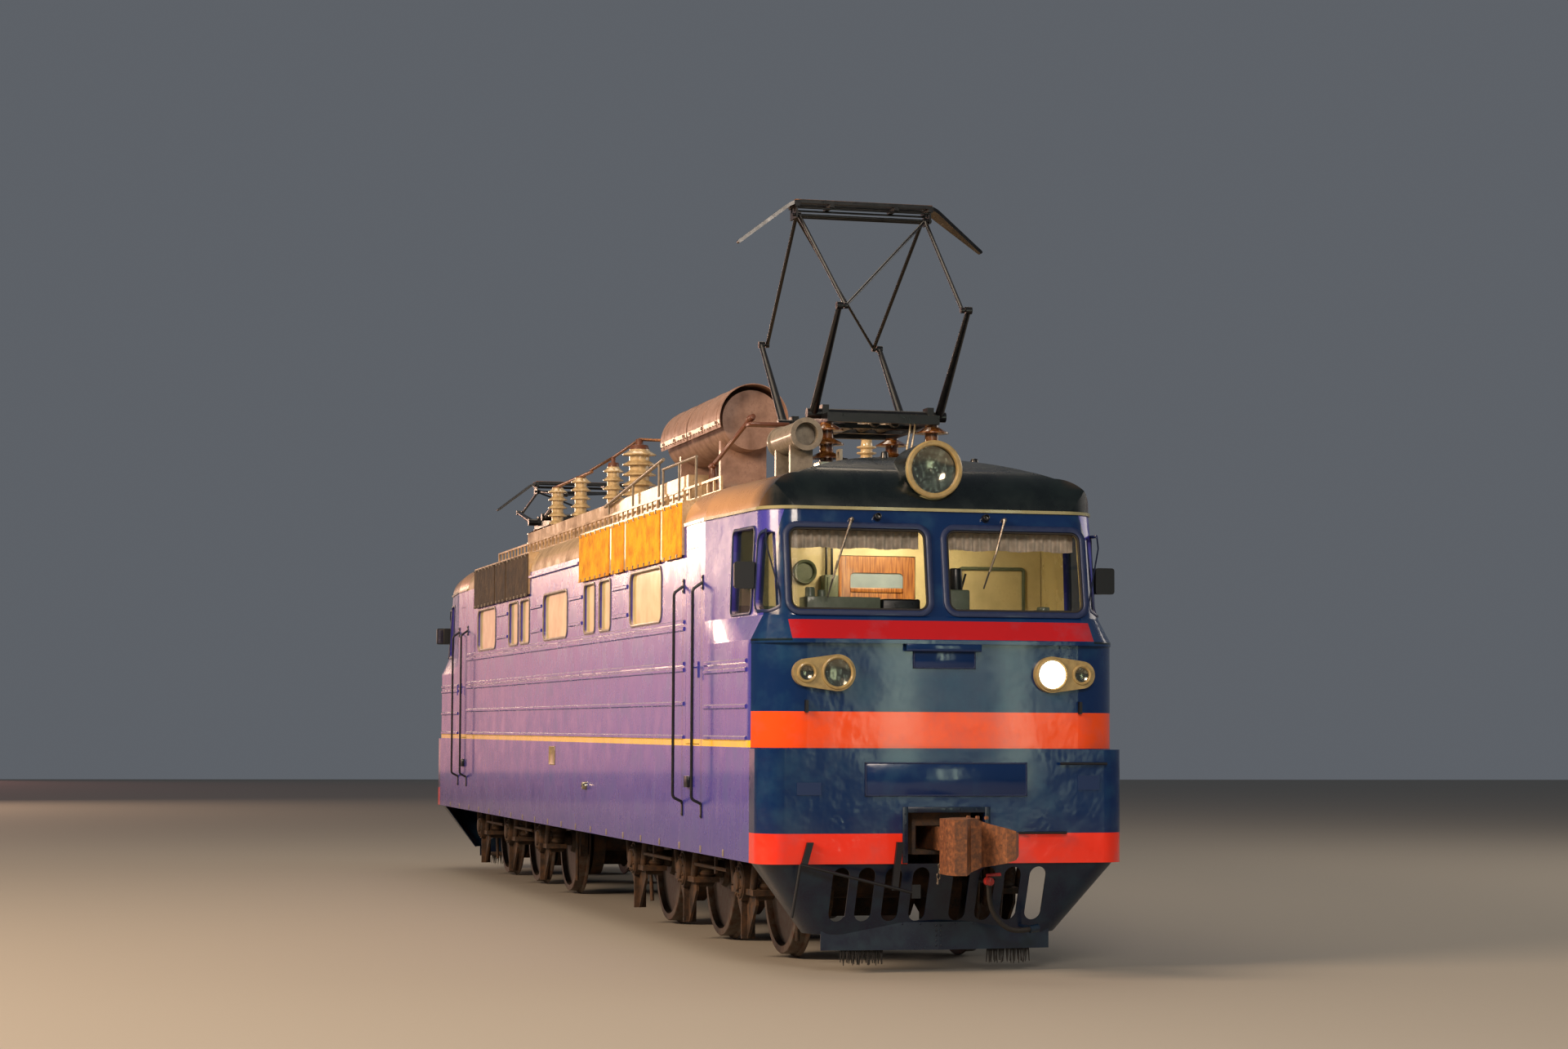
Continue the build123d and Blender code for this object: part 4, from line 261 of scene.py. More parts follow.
def paint_bands(tree, height, table):
    """Hard-edged bands of paint over the height."""
    share = put(tree, "ShaderNodeMath", {0: height, 1: BODY_HEIGHT}, operation="DIVIDE")
    ramp = put(tree, "ShaderNodeValToRGB", {"Fac": share})
    ramp.color_ramp.interpolation = "CONSTANT"
    stops = ramp.color_ramp.elements
    for start, colour in table[2:]:
        stops.new(start / BODY_HEIGHT)
    for stop, (start, colour) in zip(stops, table):
        stop.position = start / BODY_HEIGHT
        stop.color = linear(colour)
    return ramp


def split_place(tree, place):
    """How far a point lies from the middle along and across, and its height."""
    xyz = put(tree, "ShaderNodeSeparateXYZ", {0: place})
    along = put(tree, "ShaderNodeMath", {0: xyz.outputs["X"]}, operation="ABSOLUTE")
    across = put(tree, "ShaderNodeMath", {0: xyz.outputs["Y"]}, operation="ABSOLUTE")
    return along, across, xyz.outputs["Z"]


enamel, tree, shader, place = new_finish("blue_body_enamel", 0.25, coat=0.35)
along, across, height = split_place(tree, place)
at_end = put(tree, "ShaderNodeMath", {0: along, 1: STRIPE_START_X}, operation="GREATER_THAN")
in_strip = put(tree, "ShaderNodeMath", {0: across, 1: BELT_STRIP_HALF}, operation="LESS_THAN")
on_belt = put(tree, "ShaderNodeMath", {0: height, 1: BELT_START_Z}, operation="GREATER_THAN")
strip = put(tree, "ShaderNodeMath", {0: in_strip, 1: on_belt}, operation="MULTIPLY")
side_paint = paint_bands(tree, height, SIDE_BANDS)
front_paint = paint_bands(tree, height, FRONT_BANDS)
belt_paint = paint_bands(tree, height, BELT_BANDS)
end_paint = put(tree, "ShaderNodeMix", {0: strip, 6: front_paint, 7: belt_paint}, data_type="RGBA")
paint = put(tree, "ShaderNodeMix", {0: at_end, 6: side_paint, 7: end_paint}, data_type="RGBA")

# %% Add the rain streaks, the painted teal reflections, the road dirt and the painted highlights
stretched = put(tree, "ShaderNodeMapping", {"Vector": place, "Scale": (1.0, 1.0, 0.09)})
rain = put(tree, "ShaderNodeTexNoise", {
    "Vector": stretched, "Scale": 1000 / 85, "Detail": 5.0, "Roughness": 0.65,
})
streaks = put(tree, "ShaderNodeMapRange", {"Value": rain, "From Min": 0.52, "From Max": 0.74, "To Max": 0.30})
off_end = put(tree, "ShaderNodeMath", {0: 1.0, 1: at_end}, operation="SUBTRACT")
side_streaks = put(tree, "ShaderNodeMath", {0: streaks, 1: off_end}, operation="MULTIPLY")
paint = put(tree, "ShaderNodeMix", {0: side_streaks, 6: paint, 7: "#8072b4"}, data_type="RGBA")
# Painted reflection: the teal blotches of this broad cloud stand for light mirrored in the enamel, not for
# chalked paint
cloud = put(tree, "ShaderNodeTexNoise", {
    "Vector": place, "Scale": 1000 / 380, "Detail": 4.0, "Roughness": 0.6,
})
teal_reflection_share = put(tree, "ShaderNodeMapRange", {"Value": cloud, "From Min": 0.50, "From Max": 0.74, "To Max": 0.22})
paint = put(tree, "ShaderNodeMix", {0: teal_reflection_share, 6: paint, 7: "#2f6c86"}, data_type="RGBA")
low = put(tree, "ShaderNodeMapRange", {"Value": height, "From Min": 1.35, "From Max": 0.88, "To Max": 0.35})
grime = put(tree, "ShaderNodeMath", {0: low, 1: cloud}, operation="MULTIPLY")
paint = put(tree, "ShaderNodeMix", {0: grime, 6: paint, 7: "#5c4a3c"}, data_type="RGBA")
chips = put(tree, "ShaderNodeTexNoise", {
    "Vector": place, "Scale": 1000 / 16, "Detail": 6.0, "Roughness": 0.7,
})
chipped = put(tree, "ShaderNodeMapRange", {"Value": chips, "From Min": 0.70, "From Max": 0.73, "To Max": 0.5})
paint = put(tree, "ShaderNodeMix", {0: chipped, 6: paint, 7: "#2b2220"}, data_type="RGBA")
# Painted highlight, not dust: faces that look up, the tops of the ribs above all, are painted pale lilac
# along the sides, as light from above would show them
facing = put(tree, "ShaderNodeNewGeometry").outputs["Normal"]
upward = put(tree, "ShaderNodeSeparateXYZ", {0: facing}).outputs["Z"]
upward_highlight = put(tree, "ShaderNodeMapRange", {"Value": upward, "From Min": 0.25, "From Max": 0.75, "To Max": 0.75})
dust = put(tree, "ShaderNodeMath", {0: upward_highlight, 1: off_end}, operation="MULTIPLY")
paint = put(tree, "ShaderNodeMix", {0: dust, 6: paint, 7: "#c9b8bf"}, data_type="RGBA")
print("enamel aged with", len(tree.nodes), "nodes")

# %% Paint the inner faces of the cab cream
# A face is an inner one where its normal points towards the middle of the locomotive
INNER_LIMIT = -0.5
END_WALL_X = 8.95
END_WALL_HALF = 1.42
CAB_FLOOR_Z = 1.50

flat_normal = put(tree, "ShaderNodeVectorMath", {0: facing, 1: (1.0, 1.0, 0.0)}, operation="MULTIPLY")
outside_way = put(tree, "ShaderNodeVectorMath", {0: place, 1: (1.0, 1.0, 0.0)}, operation="MULTIPLY")
signs = put(tree, "ShaderNodeVectorMath", {0: outside_way}, operation="SIGN")
turned = put(tree, "ShaderNodeVectorMath", {0: flat_normal, 1: signs}, operation="MULTIPLY")
turned = put(tree, "ShaderNodeSeparateXYZ", {0: turned})
side_inside = put(tree, "ShaderNodeMath", {0: turned.outputs["Y"], 1: INNER_LIMIT}, operation="LESS_THAN")
end_inside = put(tree, "ShaderNodeMath", {0: turned.outputs["X"], 1: INNER_LIMIT}, operation="LESS_THAN")
near_end = put(tree, "ShaderNodeMath", {0: along, 1: END_WALL_X}, operation="GREATER_THAN")
off_side = put(tree, "ShaderNodeMath", {0: across, 1: END_WALL_HALF}, operation="LESS_THAN")
end_inside = put(tree, "ShaderNodeMath", {0: end_inside, 1: near_end}, operation="MULTIPLY")
end_inside = put(tree, "ShaderNodeMath", {0: end_inside, 1: off_side}, operation="MULTIPLY")
inside = put(tree, "ShaderNodeMath", {0: side_inside, 1: end_inside}, operation="MAXIMUM")
over_floor = put(tree, "ShaderNodeMath", {0: height, 1: CAB_FLOOR_Z}, operation="GREATER_THAN")
inside = put(tree, "ShaderNodeMath", {0: inside, 1: over_floor}, operation="MULTIPLY")
paint = put(tree, "ShaderNodeMix", {0: inside, 6: paint, 7: CAB_CREAM}, data_type="RGBA")
print("cab cream over", CAB_FLOOR_Z, "metres")

# %% Polish the ends and let the sheet swell
gloss = put(tree, "ShaderNodeMapRange", {
    "Value": cloud, "From Min": 0.3, "From Max": 0.8, "To Min": 0.16, "To Max": 0.42,
})
polish = put(tree, "ShaderNodeMapRange", {"Value": at_end, "To Min": 1.0, "To Max": 0.62})
gloss = put(tree, "ShaderNodeMath", {0: gloss, 1: polish}, operation="MULTIPLY")
swell = put(tree, "ShaderNodeTexNoise", {"Vector": place, "Scale": 1000 / 620, "Detail": 1.0})
dents = put(tree, "ShaderNodeTexNoise", {"Vector": place, "Scale": 1000 / 150, "Detail": 2.0})
dent_share = put(tree, "ShaderNodeMapRange", {"Value": at_end, "To Min": 0.14, "To Max": 0.42})
soft_dents = put(tree, "ShaderNodeMath", {0: dents, 1: dent_share}, operation="MULTIPLY")
relief = put(tree, "ShaderNodeMath", {0: swell, 1: soft_dents}, operation="ADD")
bump = put(tree, "ShaderNodeBump", {"Height": relief, "Distance": 0.014, "Strength": 0.6})
feed(tree, shader, {"Base Color": paint, "Roughness": gloss, "Normal": bump, "Coat Roughness": 0.06})
print("body enamel has", len(tree.nodes), "nodes")


def dress(names, material):
    """Gives CAD nodes their finish."""
    for name in names:
        piece = nodes[name]
        piece.data.materials.clear()
        piece.data.materials.append(material)


def named(start):
    """The names of the CAD nodes that start with some text."""
    return [name for name in nodes if name.startswith(start)]


dress(named("side_wall") + named("door_") + ["cab_front", "cab_rear"], enamel)

# %% [markdown]
# ## Roof, trim and plain enamels
#
# The long roof is a pale weathered beige, the lamp pods are cream, and the gear under the floor
# is brown with dust. They are one recipe with other colours: a base, a dirt that gathers in
# blotches and in a finer grit, and a rougher surface where the dirt lies. A dust share colours
# the faces that look up, where grit settles on a real vehicle.

# %% Mix the plain enamels


def worn_enamel(name, colour, dirt, size_mm, share, roughness, coat=0.2, depth_mm=0.4, dust=0.0):
    """A painted metal with blotches of dirt, grit and a little dust on top."""
    material, tree, shader, place = new_finish(name, roughness, coat=coat)
    blotch = put(tree, "ShaderNodeTexNoise", {
        "Vector": place, "Scale": 1000 / size_mm, "Detail": 5.0, "Roughness": 0.62,
    })
    grit = put(tree, "ShaderNodeTexNoise", {"Vector": place, "Scale": 9000 / size_mm, "Detail": 3.0})
    wide = put(tree, "ShaderNodeMapRange", {
        "Value": blotch, "From Min": 0.40, "From Max": 0.68, "To Max": share,
    })
    fine = put(tree, "ShaderNodeMapRange", {
        "Value": grit, "From Min": 0.50, "From Max": 0.66, "To Max": share * 0.6,
    })
    both = put(tree, "ShaderNodeMath", {0: wide, 1: fine}, operation="MAXIMUM")
    paint = put(tree, "ShaderNodeMix", {0: both, 6: colour, 7: dirt}, data_type="RGBA")
    if dust:
        facing = put(tree, "ShaderNodeNewGeometry").outputs["Normal"]
        upward = put(tree, "ShaderNodeSeparateXYZ", {0: facing}).outputs["Z"]
        lying = put(tree, "ShaderNodeMapRange", {
            "Value": upward, "From Min": 0.3, "From Max": 0.95, "To Max": dust,
        })
        paint = put(tree, "ShaderNodeMix", {0: lying, 6: paint, 7: "#8a7458"}, data_type="RGBA")
    rough = put(tree, "ShaderNodeMapRange", {
        "Value": blotch, "From Min": 0.3, "From Max": 0.8,
        "To Min": roughness * 0.75, "To Max": min(1.0, roughness * 1.4),
    })
    bump = put(tree, "ShaderNodeBump", {"Height": fine, "Distance": depth_mm / 1000, "Strength": 0.7})
    feed(tree, shader, {"Base Color": paint, "Roughness": rough, "Normal": bump})
    return material


roof_enamel = worn_enamel("pale_roof_enamel", "#c2a57c", "#5f4a38", 240, 0.65, 0.55)
cream_enamel = worn_enamel("cream_trim_enamel", "#a8925f", "#6a5a3c", 50, 0.5, 0.38, coat=0.4)
black_enamel = worn_enamel("black_gloss_enamel", "#07090d", "#14161a", 70, 0.4, 0.34, coat=0.15, dust=0.02)
running_enamel = worn_enamel("dusty_running_gear", "#1d1714", "#6b4c33", 110, 0.7, 0.72, 0.0, 1.5, dust=0.45)
pilot_enamel = worn_enamel("scuffed_pilot_enamel", "#04102c", "#102c3c", 150, 0.75, 0.36, coat=0.15)
cab_enamel = worn_enamel("cab_interior_enamel", "#d3c79b", "#9c8f6c", 200, 0.3, 0.5)
green_enamel = worn_enamel("desk_green_enamel", "#5f6a58", "#3c4438", 90, 0.4, 0.5)
grey_enamel = worn_enamel("pipe_grey_enamel", "#8a8070", "#4b423a", 60, 0.5, 0.5)
red_enamel = worn_enamel("cock_red_enamel", "#c0302c", "#5a2420", 25, 0.5, 0.4, coat=0.3)
cast_steel = worn_enamel("rust_brown_cast_steel", "#523423", "#a2653c", 38, 0.75, 0.65, 0.0, 2.0, dust=0.2)
bronze_cap = worn_enamel("rust_red_cap_enamel", "#6c3c26", "#4a3020", 30, 0.6, 0.5)
blue_trim = worn_enamel("dark_blue_seal_enamel", "#081c48", "#142c58", 40, 0.4, 0.45, coat=0.1)
rubber = worn_enamel("matt_black_rubber", "#161515", "#3c3733", 22, 0.5, 0.75, coat=0.0, depth_mm=0.3)
drum_enamel = worn_enamel("weathered_drum_enamel", "#a58576", "#5e4438", 170, 0.6, 0.5, coat=0.15, dust=0.2)
dress(["roof", "roof_ducts", "roof_rail_strips", "grille_boxes"], roof_enamel)
dress(["air_reservoir"], drum_enamel)
dress(["lamp_pods"], cream_enamel)
dress(["handrails"], black_enamel)
dress([name for name in named("pantograph_") if name != "pantograph_insulators"], black_enamel)
dress(["underframe", "underfloor_gear", "transformer"], running_enamel)
dress(named("bogie_frame") + named("traction") + named("axle_boxes"), running_enamel)
dress(["pilots"], pilot_enamel)
dress(named("coupler_"), cast_steel)
dress(["cab_fittings"], cab_enamel)
dress(named("roof_fittings"), grey_enamel)

# %% Paint the fittings of the front
# Mirrors, levers and handles are black; the two hatches on the apron are blue like the sheet
HATCH_FRONT_X = 9.40
HATCH_HEIGHTS = (1.42, 1.62)
HATCH_INNER_Y = 1.0

fittings_enamel, tree, shader, place = new_finish("front_fittings_enamel", 0.45)
along, across, height = split_place(tree, place)
on_hatch = put(tree, "ShaderNodeMath", {0: along, 1: HATCH_FRONT_X}, operation="GREATER_THAN")
for value, test, bound in (
    (height, "LESS_THAN", HATCH_HEIGHTS[1]),
    (height, "GREATER_THAN", HATCH_HEIGHTS[0]),
    (across, "GREATER_THAN", HATCH_INNER_Y),
):
    within = put(tree, "ShaderNodeMath", {0: value, 1: bound}, operation=test)
    on_hatch = put(tree, "ShaderNodeMath", {0: on_hatch, 1: within}, operation="MULTIPLY")
wear = put(tree, "ShaderNodeTexNoise", {"Vector": place, "Scale": 1000 / 60, "Detail": 5.0})
black = put(tree, "ShaderNodeMix", {0: wear, 6: "#05070d", 7: "#10131c"}, data_type="RGBA")
paint = put(tree, "ShaderNodeMix", {0: on_hatch, 6: black, 7: FRONT_BLUE}, data_type="RGBA")
feed(tree, shader, {"Base Color": paint})
dress(["cab_exterior_fittings"], fittings_enamel)
print("enamels mixed")

# %% [markdown]
# ## Cab roof with its cream bead
#
# The cab roof is nearly black, so soot doesn't show, and towards its flanks and its back it
# turns a pale peach. The bead rolled into its foot is painted cream with a narrow brush, and so is
# the rim of the headlight. All are one pressing, so the colour changes by place, not by piece.

# %% Paint the cab roof
BEAD_TOP_Z = 3.7865
LAMP_FACE_X = 9.08
HEADLIGHT_Z = 4.110
LAMP_RIM_R = 0.25
RIM_DEPTH = 0.035

cab_roof_paint, tree, shader, place = new_finish("cab_roof_with_cream_bead", 0.4, coat=0.3)
along, across, height = split_place(tree, place)
on_bead = put(tree, "ShaderNodeMath", {0: height, 1: BEAD_TOP_Z}, operation="LESS_THAN")
on_rim = put(tree, "ShaderNodeMath", {0: along, 1: LAMP_FACE_X - RIM_DEPTH}, operation="GREATER_THAN")
upright = put(tree, "ShaderNodeCombineXYZ", {0: 0.0, 1: across, 2: height})
lamp_way = put(tree, "ShaderNodeVectorMath", {0: upright, 1: (0.0, 0.0, HEADLIGHT_Z)}, operation="DISTANCE")
near_lamp = put(tree, "ShaderNodeMath", {0: lamp_way.outputs["Value"], 1: LAMP_RIM_R}, operation="LESS_THAN")
on_rim = put(tree, "ShaderNodeMath", {0: on_rim, 1: near_lamp}, operation="MULTIPLY")
cream = put(tree, "ShaderNodeMath", {0: on_bead, 1: on_rim}, operation="MAXIMUM")
smoke = put(tree, "ShaderNodeTexNoise", {
    "Vector": place, "Scale": 1000 / 280, "Detail": 5.0, "Roughness": 0.65,
})
soot = put(tree, "ShaderNodeMapRange", {"Value": smoke, "From Min": 0.4, "From Max": 0.7, "To Max": 0.5})
dark = put(tree, "ShaderNodeMix", {0: soot, 6: "#071012", 7: "#122020"}, data_type="RGBA")
# Towards the flanks and the back the dark roof turns a pale peach
flank = put(tree, "ShaderNodeMapRange", {"Value": across, "From Min": 1.15, "From Max": 1.5, "To Max": 0.85})
back = put(tree, "ShaderNodeMapRange", {"Value": along, "From Min": 9.0, "From Max": 8.6, "To Max": 1.0})
pale_flank_share = put(tree, "ShaderNodeMath", {0: flank, 1: back}, operation="MULTIPLY")
dark = put(tree, "ShaderNodeMix", {0: pale_flank_share, 6: dark, 7: "#dca873"}, data_type="RGBA")
pale = put(tree, "ShaderNodeMix", {0: soot, 6: "#a09a72", 7: "#6a6348"}, data_type="RGBA")
paint = put(tree, "ShaderNodeMix", {0: cream, 6: dark, 7: pale}, data_type="RGBA")
gloss = put(tree, "ShaderNodeMapRange", {
    "Value": smoke, "From Min": 0.3, "From Max": 0.8, "To Min": 0.20, "To Max": 0.42,
})
swell = put(tree, "ShaderNodeTexNoise", {"Vector": place, "Scale": 1000 / 500, "Detail": 1.0})
bump = put(tree, "ShaderNodeBump", {"Height": swell, "Distance": 0.006, "Strength": 0.5})
feed(tree, shader, {"Base Color": paint, "Roughness": gloss, "Normal": bump})
dress(["cab_roofs"], cab_roof_paint)
print("cab roof paint has", len(tree.nodes), "nodes")

# %% [markdown]
# ## Glass
#
# A thin pane could be a refracting solid, but then no light reaches the cab behind it. A mostly
# clear surface that keeps its reflections lets the light in and still looks like glass. It
# turns more opaque towards grazing angles, as real panes do. The side windows are so dusty that
# they only reflect; their pale amber is a painted glow, as if light came through the dust. The
# lamp lenses are ribbed.

# %% Mix the glasses
window_glass, tree, shader, place = new_finish("window_glass", 0.03)
glance = put(tree, "ShaderNodeLayerWeight", {"Blend": 0.25}).outputs["Fresnel"]
cover = put(tree, "ShaderNodeMapRange", {
    "Value": glance, "From Min": 0.1, "From Max": 0.95, "To Min": 0.05, "To Max": 0.8,
})
smear = put(tree, "ShaderNodeTexNoise", {"Vector": place, "Scale": 1000 / 240, "Detail": 4.0})
film = put(tree, "ShaderNodeMapRange", {"Value": smear, "From Min": 0.5, "From Max": 0.85, "To Max": 0.05})
opaque = put(tree, "ShaderNodeMath", {0: cover, 1: film}, operation="ADD")
feed(tree, shader, {"Base Color": "#12201c", "Alpha": opaque})
dress(["cab_glass"], window_glass)

# Panes of the machine room, painted a pale amber glow as if lit through their dust, so they look like pale
# amber paper
side_glass, tree, shader, place = new_finish("dusty_side_glass_painted_glow", 0.12, coat=0.4)
dusty = put(tree, "ShaderNodeTexNoise", {"Vector": place, "Scale": 1000 / 260, "Detail": 5.0})
share = put(tree, "ShaderNodeMapRange", {"Value": dusty, "From Min": 0.35, "From Max": 0.7, "To Max": 1.0})
paint = put(tree, "ShaderNodeMix", {0: share, 6: "#e6cf84", 7: "#fff3ae"}, data_type="RGBA")
ripple = put(tree, "ShaderNodeBump", {"Height": dusty, "Distance": 0.004, "Strength": 0.3})
feed(tree, shader, {"Base Color": paint, "Normal": ripple, "Coat Roughness": 0.04})
dress(["side_windows"], side_glass)

# Pressed lens glass, whose cells break up the view of the bowl behind
lens_glass, tree, shader, place = new_finish("lamp_lens_glass", 0.05, coat=1.0)
cells = put(tree, "ShaderNodeTexVoronoi", {"Vector": place, "Scale": 1000 / 45})
ribs = put(tree, "ShaderNodeBump", {"Height": cells, "Distance": 0.004, "Strength": 0.25})
feed(tree, shader, {"Base Color": "#3a4440", "Alpha": 0.22, "Normal": ribs})
dress(["lamp_glass"], lens_glass)

# Sand-blasted glass: a pale blue-grey that shows light and no shapes
frosted_glass, tree, shader, place = new_finish("frosted_door_glass", 0.35)
breath = put(tree, "ShaderNodeTexNoise", {"Vector": place, "Scale": 1000 / 160, "Detail": 3.0})
tone = put(tree, "ShaderNodeMix", {0: breath, 6: "#a4b6c2", 7: "#7d93a4"}, data_type="RGBA")
feed(tree, shader, {"Base Color": tone})

# Silvered brass, hazed with age, which gives the eye the glint deep in a lamp
silver, tree, shader, place = new_finish("silvered_reflector", 0.12, metallic=1.0)
haze = put(tree, "ShaderNodeTexNoise", {"Vector": place, "Scale": 1000 / 30, "Detail": 3.0})
tone = put(tree, "ShaderNodeMix", {0: haze, 6: "#cfc7b0", 7: "#8f8878"}, data_type="RGBA")
feed(tree, shader, {"Base Color": tone})

# The burning lamp is brighter than anything it could reflect
lit_glass, tree, shader, place = new_finish("burning_lamp_glass", 0.2)
glow = put(tree, "ShaderNodeTexNoise", {"Vector": place, "Scale": 1000 / 60, "Detail": 2.0})
tint = put(tree, "ShaderNodeMix", {0: glow, 6: "#ffffff", 7: "#fff0cf"}, data_type="RGBA")
feed(tree, shader, {"Base Color": tint, "Emission Color": tint, "Emission Strength": 14.0})
print("glasses mixed")

# %% [markdown]
# ## Porcelain, steel, wood, cloth and oiled covers
#
# Porcelain is glazed and stays glossy under its dust. Wheels are bare steel with rust that runs
# round them. The partition door is varnished wood, whose grain is a noise stretched along the
# boards. The grille covers are oiled sheet: amber on the front bank and nearly black behind.

# %% Mix the remaining finishes


def glazed(name, colour, dust_colour):
    """Porcelain under a film of dust."""
    material, tree, shader, place = new_finish(name, 0.16, coat=0.8)
    film = put(tree, "ShaderNodeTexNoise", {"Vector": place, "Scale": 1000 / 45, "Detail": 5.0})
    share = put(tree, "ShaderNodeMapRange", {
        "Value": film, "From Min": 0.42, "From Max": 0.68, "To Max": 0.6,
    })
    paint = put(tree, "ShaderNodeMix", {0: share, 6: colour, 7: dust_colour}, data_type="RGBA")
    rough = put(tree, "ShaderNodeMapRange", {"Value": share, "To Min": 0.12, "To Max": 0.5})
    feed(tree, shader, {"Base Color": paint, "Roughness": rough})
    return material


brown_porcelain = glazed("glazed_brown_porcelain", "#5a3014", "#b07a3c")
cream_porcelain = glazed("glazed_cream_porcelain", "#d6bf92", "#8a6c48")
dress(["pantograph_insulators"], brown_porcelain)
dress(["roof_posts"], cream_porcelain)


def bare_metal(name, colour, tarnish, size_mm, metallic=0.8, roughness=0.45):
    """A metal without paint, with tarnish in blotches."""
    material, tree, shader, place = new_finish(name, roughness, metallic=metallic)
    spots = put(tree, "ShaderNodeTexNoise", {
        "Vector": place, "Scale": 1000 / size_mm, "Detail": 6.0, "Roughness": 0.65,
    })
    share = put(tree, "ShaderNodeMapRange", {"Value": spots, "From Min": 0.4, "From Max": 0.66})
    paint = put(tree, "ShaderNodeMix", {0: share, 6: colour, 7: tarnish}, data_type="RGBA")
    bump = put(tree, "ShaderNodeBump", {"Height": spots, "Distance": 0.0006, "Strength": 0.6})
    feed(tree, shader, {"Base Color": paint, "Normal": bump})
    return material


bus_metal = bare_metal("dull_copper_bar", "#9c6c48", "#5a4438", 30)
wheel_steel = bare_metal("worn_wheel_steel", "#57504a", "#4b3020", 70, metallic=0.5, roughness=0.5)
bright_steel = bare_metal("bright_worn_steel", "#9a958c", "#5c4a3a", 25, metallic=0.9, roughness=0.35)
dress(["busbars"], bus_metal)
dress(named("wheelset"), wheel_steel)

wood, tree, shader, place = new_finish("varnished_oak", 0.35, coat=0.5)
boards = put(tree, "ShaderNodeMapping", {"Vector": place, "Scale": (1.0, 1.0, 0.07)})
rings = put(tree, "ShaderNodeTexNoise", {"Vector": boards, "Scale": 1000 / 14, "Detail": 5.0})
share = put(tree, "ShaderNodeMapRange", {"Value": rings, "From Min": 0.35, "From Max": 0.7})
paint = put(tree, "ShaderNodeMix", {0: share, 6: "#7c431c", 7: "#c98845"}, data_type="RGBA")
bump = put(tree, "ShaderNodeBump", {"Height": rings, "Distance": 0.0005})
feed(tree, shader, {"Base Color": paint, "Normal": bump})
dress(named("cab_partition_door"), wood)

# %% Mix the cover sheets and the cloths
# Oiled canvas over the grilles, creased and stained
cover_sheet, tree, shader, place = new_finish("oiled_cover_sheet", 0.75)
xyz = put(tree, "ShaderNodeSeparateXYZ", {0: place})
forward = put(tree, "ShaderNodeMath", {0: xyz.outputs["X"], 1: 0.0}, operation="GREATER_THAN")
stains = put(tree, "ShaderNodeTexNoise", {
    "Vector": place, "Scale": 1000 / 170, "Detail": 5.0, "Roughness": 0.6,
})
share = put(tree, "ShaderNodeMapRange", {"Value": stains, "From Min": 0.4, "From Max": 0.66})
amber = put(tree, "ShaderNodeMix", {0: share, 6: "#ffb800", 7: "#d88a06"}, data_type="RGBA")
brown = put(tree, "ShaderNodeMix", {0: share, 6: "#2a2017", 7: "#4d3b27"}, data_type="RGBA")
paint = put(tree, "ShaderNodeMix", {0: forward, 6: brown, 7: amber}, data_type="RGBA")
creases = put(tree, "ShaderNodeTexNoise", {
    "Vector": place, "Scale": 1000 / 120, "Detail": 3.0, "Distortion": 1.2,
})
bump = put(tree, "ShaderNodeBump", {"Height": creases, "Distance": 0.018, "Strength": 0.8})
feed(tree, shader, {"Base Color": paint, "Normal": bump})
dress(["grille_covers"], cover_sheet)


def cloth_finish(name, colour, shade, thread_mm):
    """A woven cloth: two crossed waves for the threads and a soft sheen."""
    material, tree, shader, place = new_finish(name, 0.9)
    # At scale 1 a wave texture has 3.2 waves in a metre, and one wave spans two threads
    scale = 1000 / thread_mm / 6.3
    warp = put(tree, "ShaderNodeTexWave", {"Vector": place, "Scale": scale}, bands_direction="Y")
    weft = put(tree, "ShaderNodeTexWave", {"Vector": place, "Scale": scale}, bands_direction="Z")
    weave = put(tree, "ShaderNodeMath", {0: warp, 1: weft}, operation="MULTIPLY")
    fade = put(tree, "ShaderNodeTexNoise", {"Vector": place, "Scale": 1000 / 90, "Detail": 4.0})
    share = put(tree, "ShaderNodeMapRange", {"Value": fade, "From Min": 0.35, "From Max": 0.7})
    paint = put(tree, "ShaderNodeMix", {0: share, 6: colour, 7: shade}, data_type="RGBA")
    bump = put(tree, "ShaderNodeBump", {"Height": weave, "Distance": 0.0005})
    feed(tree, shader, {"Base Color": paint, "Normal": bump, "Sheen Weight": 0.3})
    return material


curtain_cloth = cloth_finish("faded_curtain_cloth", "#d6c6b4", "#a3998a", 1.6)
seat_cover = cloth_finish("dark_seat_cover", "#3b2f2a", "#241c19", 2.4)
print("finishes", len(bpy.data.materials))

# %% [markdown]
# ## Tools for modelling
#
# Each new piece starts as a primitive with its real size and place, is shaped in edit mode and
# gets its edges rounded by a bevel that is applied. An operator acts on everything selected, so
# each tool first deselects the rest. What repeats is modelled once, and every copy gets its own
# mesh. Pieces for one end are turned half round for the other.

# %% Tools for modelling
HALF_TURN = Matrix.Rotation(math.pi, 4, "Z")
OTHER_SIDE = Matrix.Scale(-1, 4, (0, 1, 0))
BOTH_ENDS = (Matrix.Identity(4), HALF_TURN)
BOTH_SIDES = (Matrix.Identity(4), OTHER_SIDE)
ALL_CORNERS = (Matrix.Identity(4), OTHER_SIDE, HALF_TURN, HALF_TURN @ OTHER_SIDE)
HALF_WIDTH = 1.55
UP = (0, 0, 1)
FORWARD = (1, 0, 0)
BACKWARD = (-1, 0, 0)
RIGHT = (0, -1, 0)
LEFT = (0, 1, 0)


def only(piece):
    """Selects one piece and nothing else."""
    bpy.ops.object.select_all(action="DESELECT")
    piece.select_set(True)
    bpy.context.view_layer.objects.active = piece


def settle(name):
    """Names the primitive that was just added and puts its place into its mesh."""
    piece = bpy.context.object
    piece.name = name
    piece.data.name = name
    bpy.ops.object.transform_apply(location=True, rotation=True, scale=True)
    return piece


def new_block(name, low, high):
    """A cube stretched between two corners."""
    bpy.ops.object.select_all(action="DESELECT")
    middle = [(a + b) / 2 for a, b in zip(low, high)]
    span = [b - a for a, b in zip(low, high)]
    bpy.ops.mesh.primitive_cube_add(size=1, location=middle, scale=span)
    return settle(name)


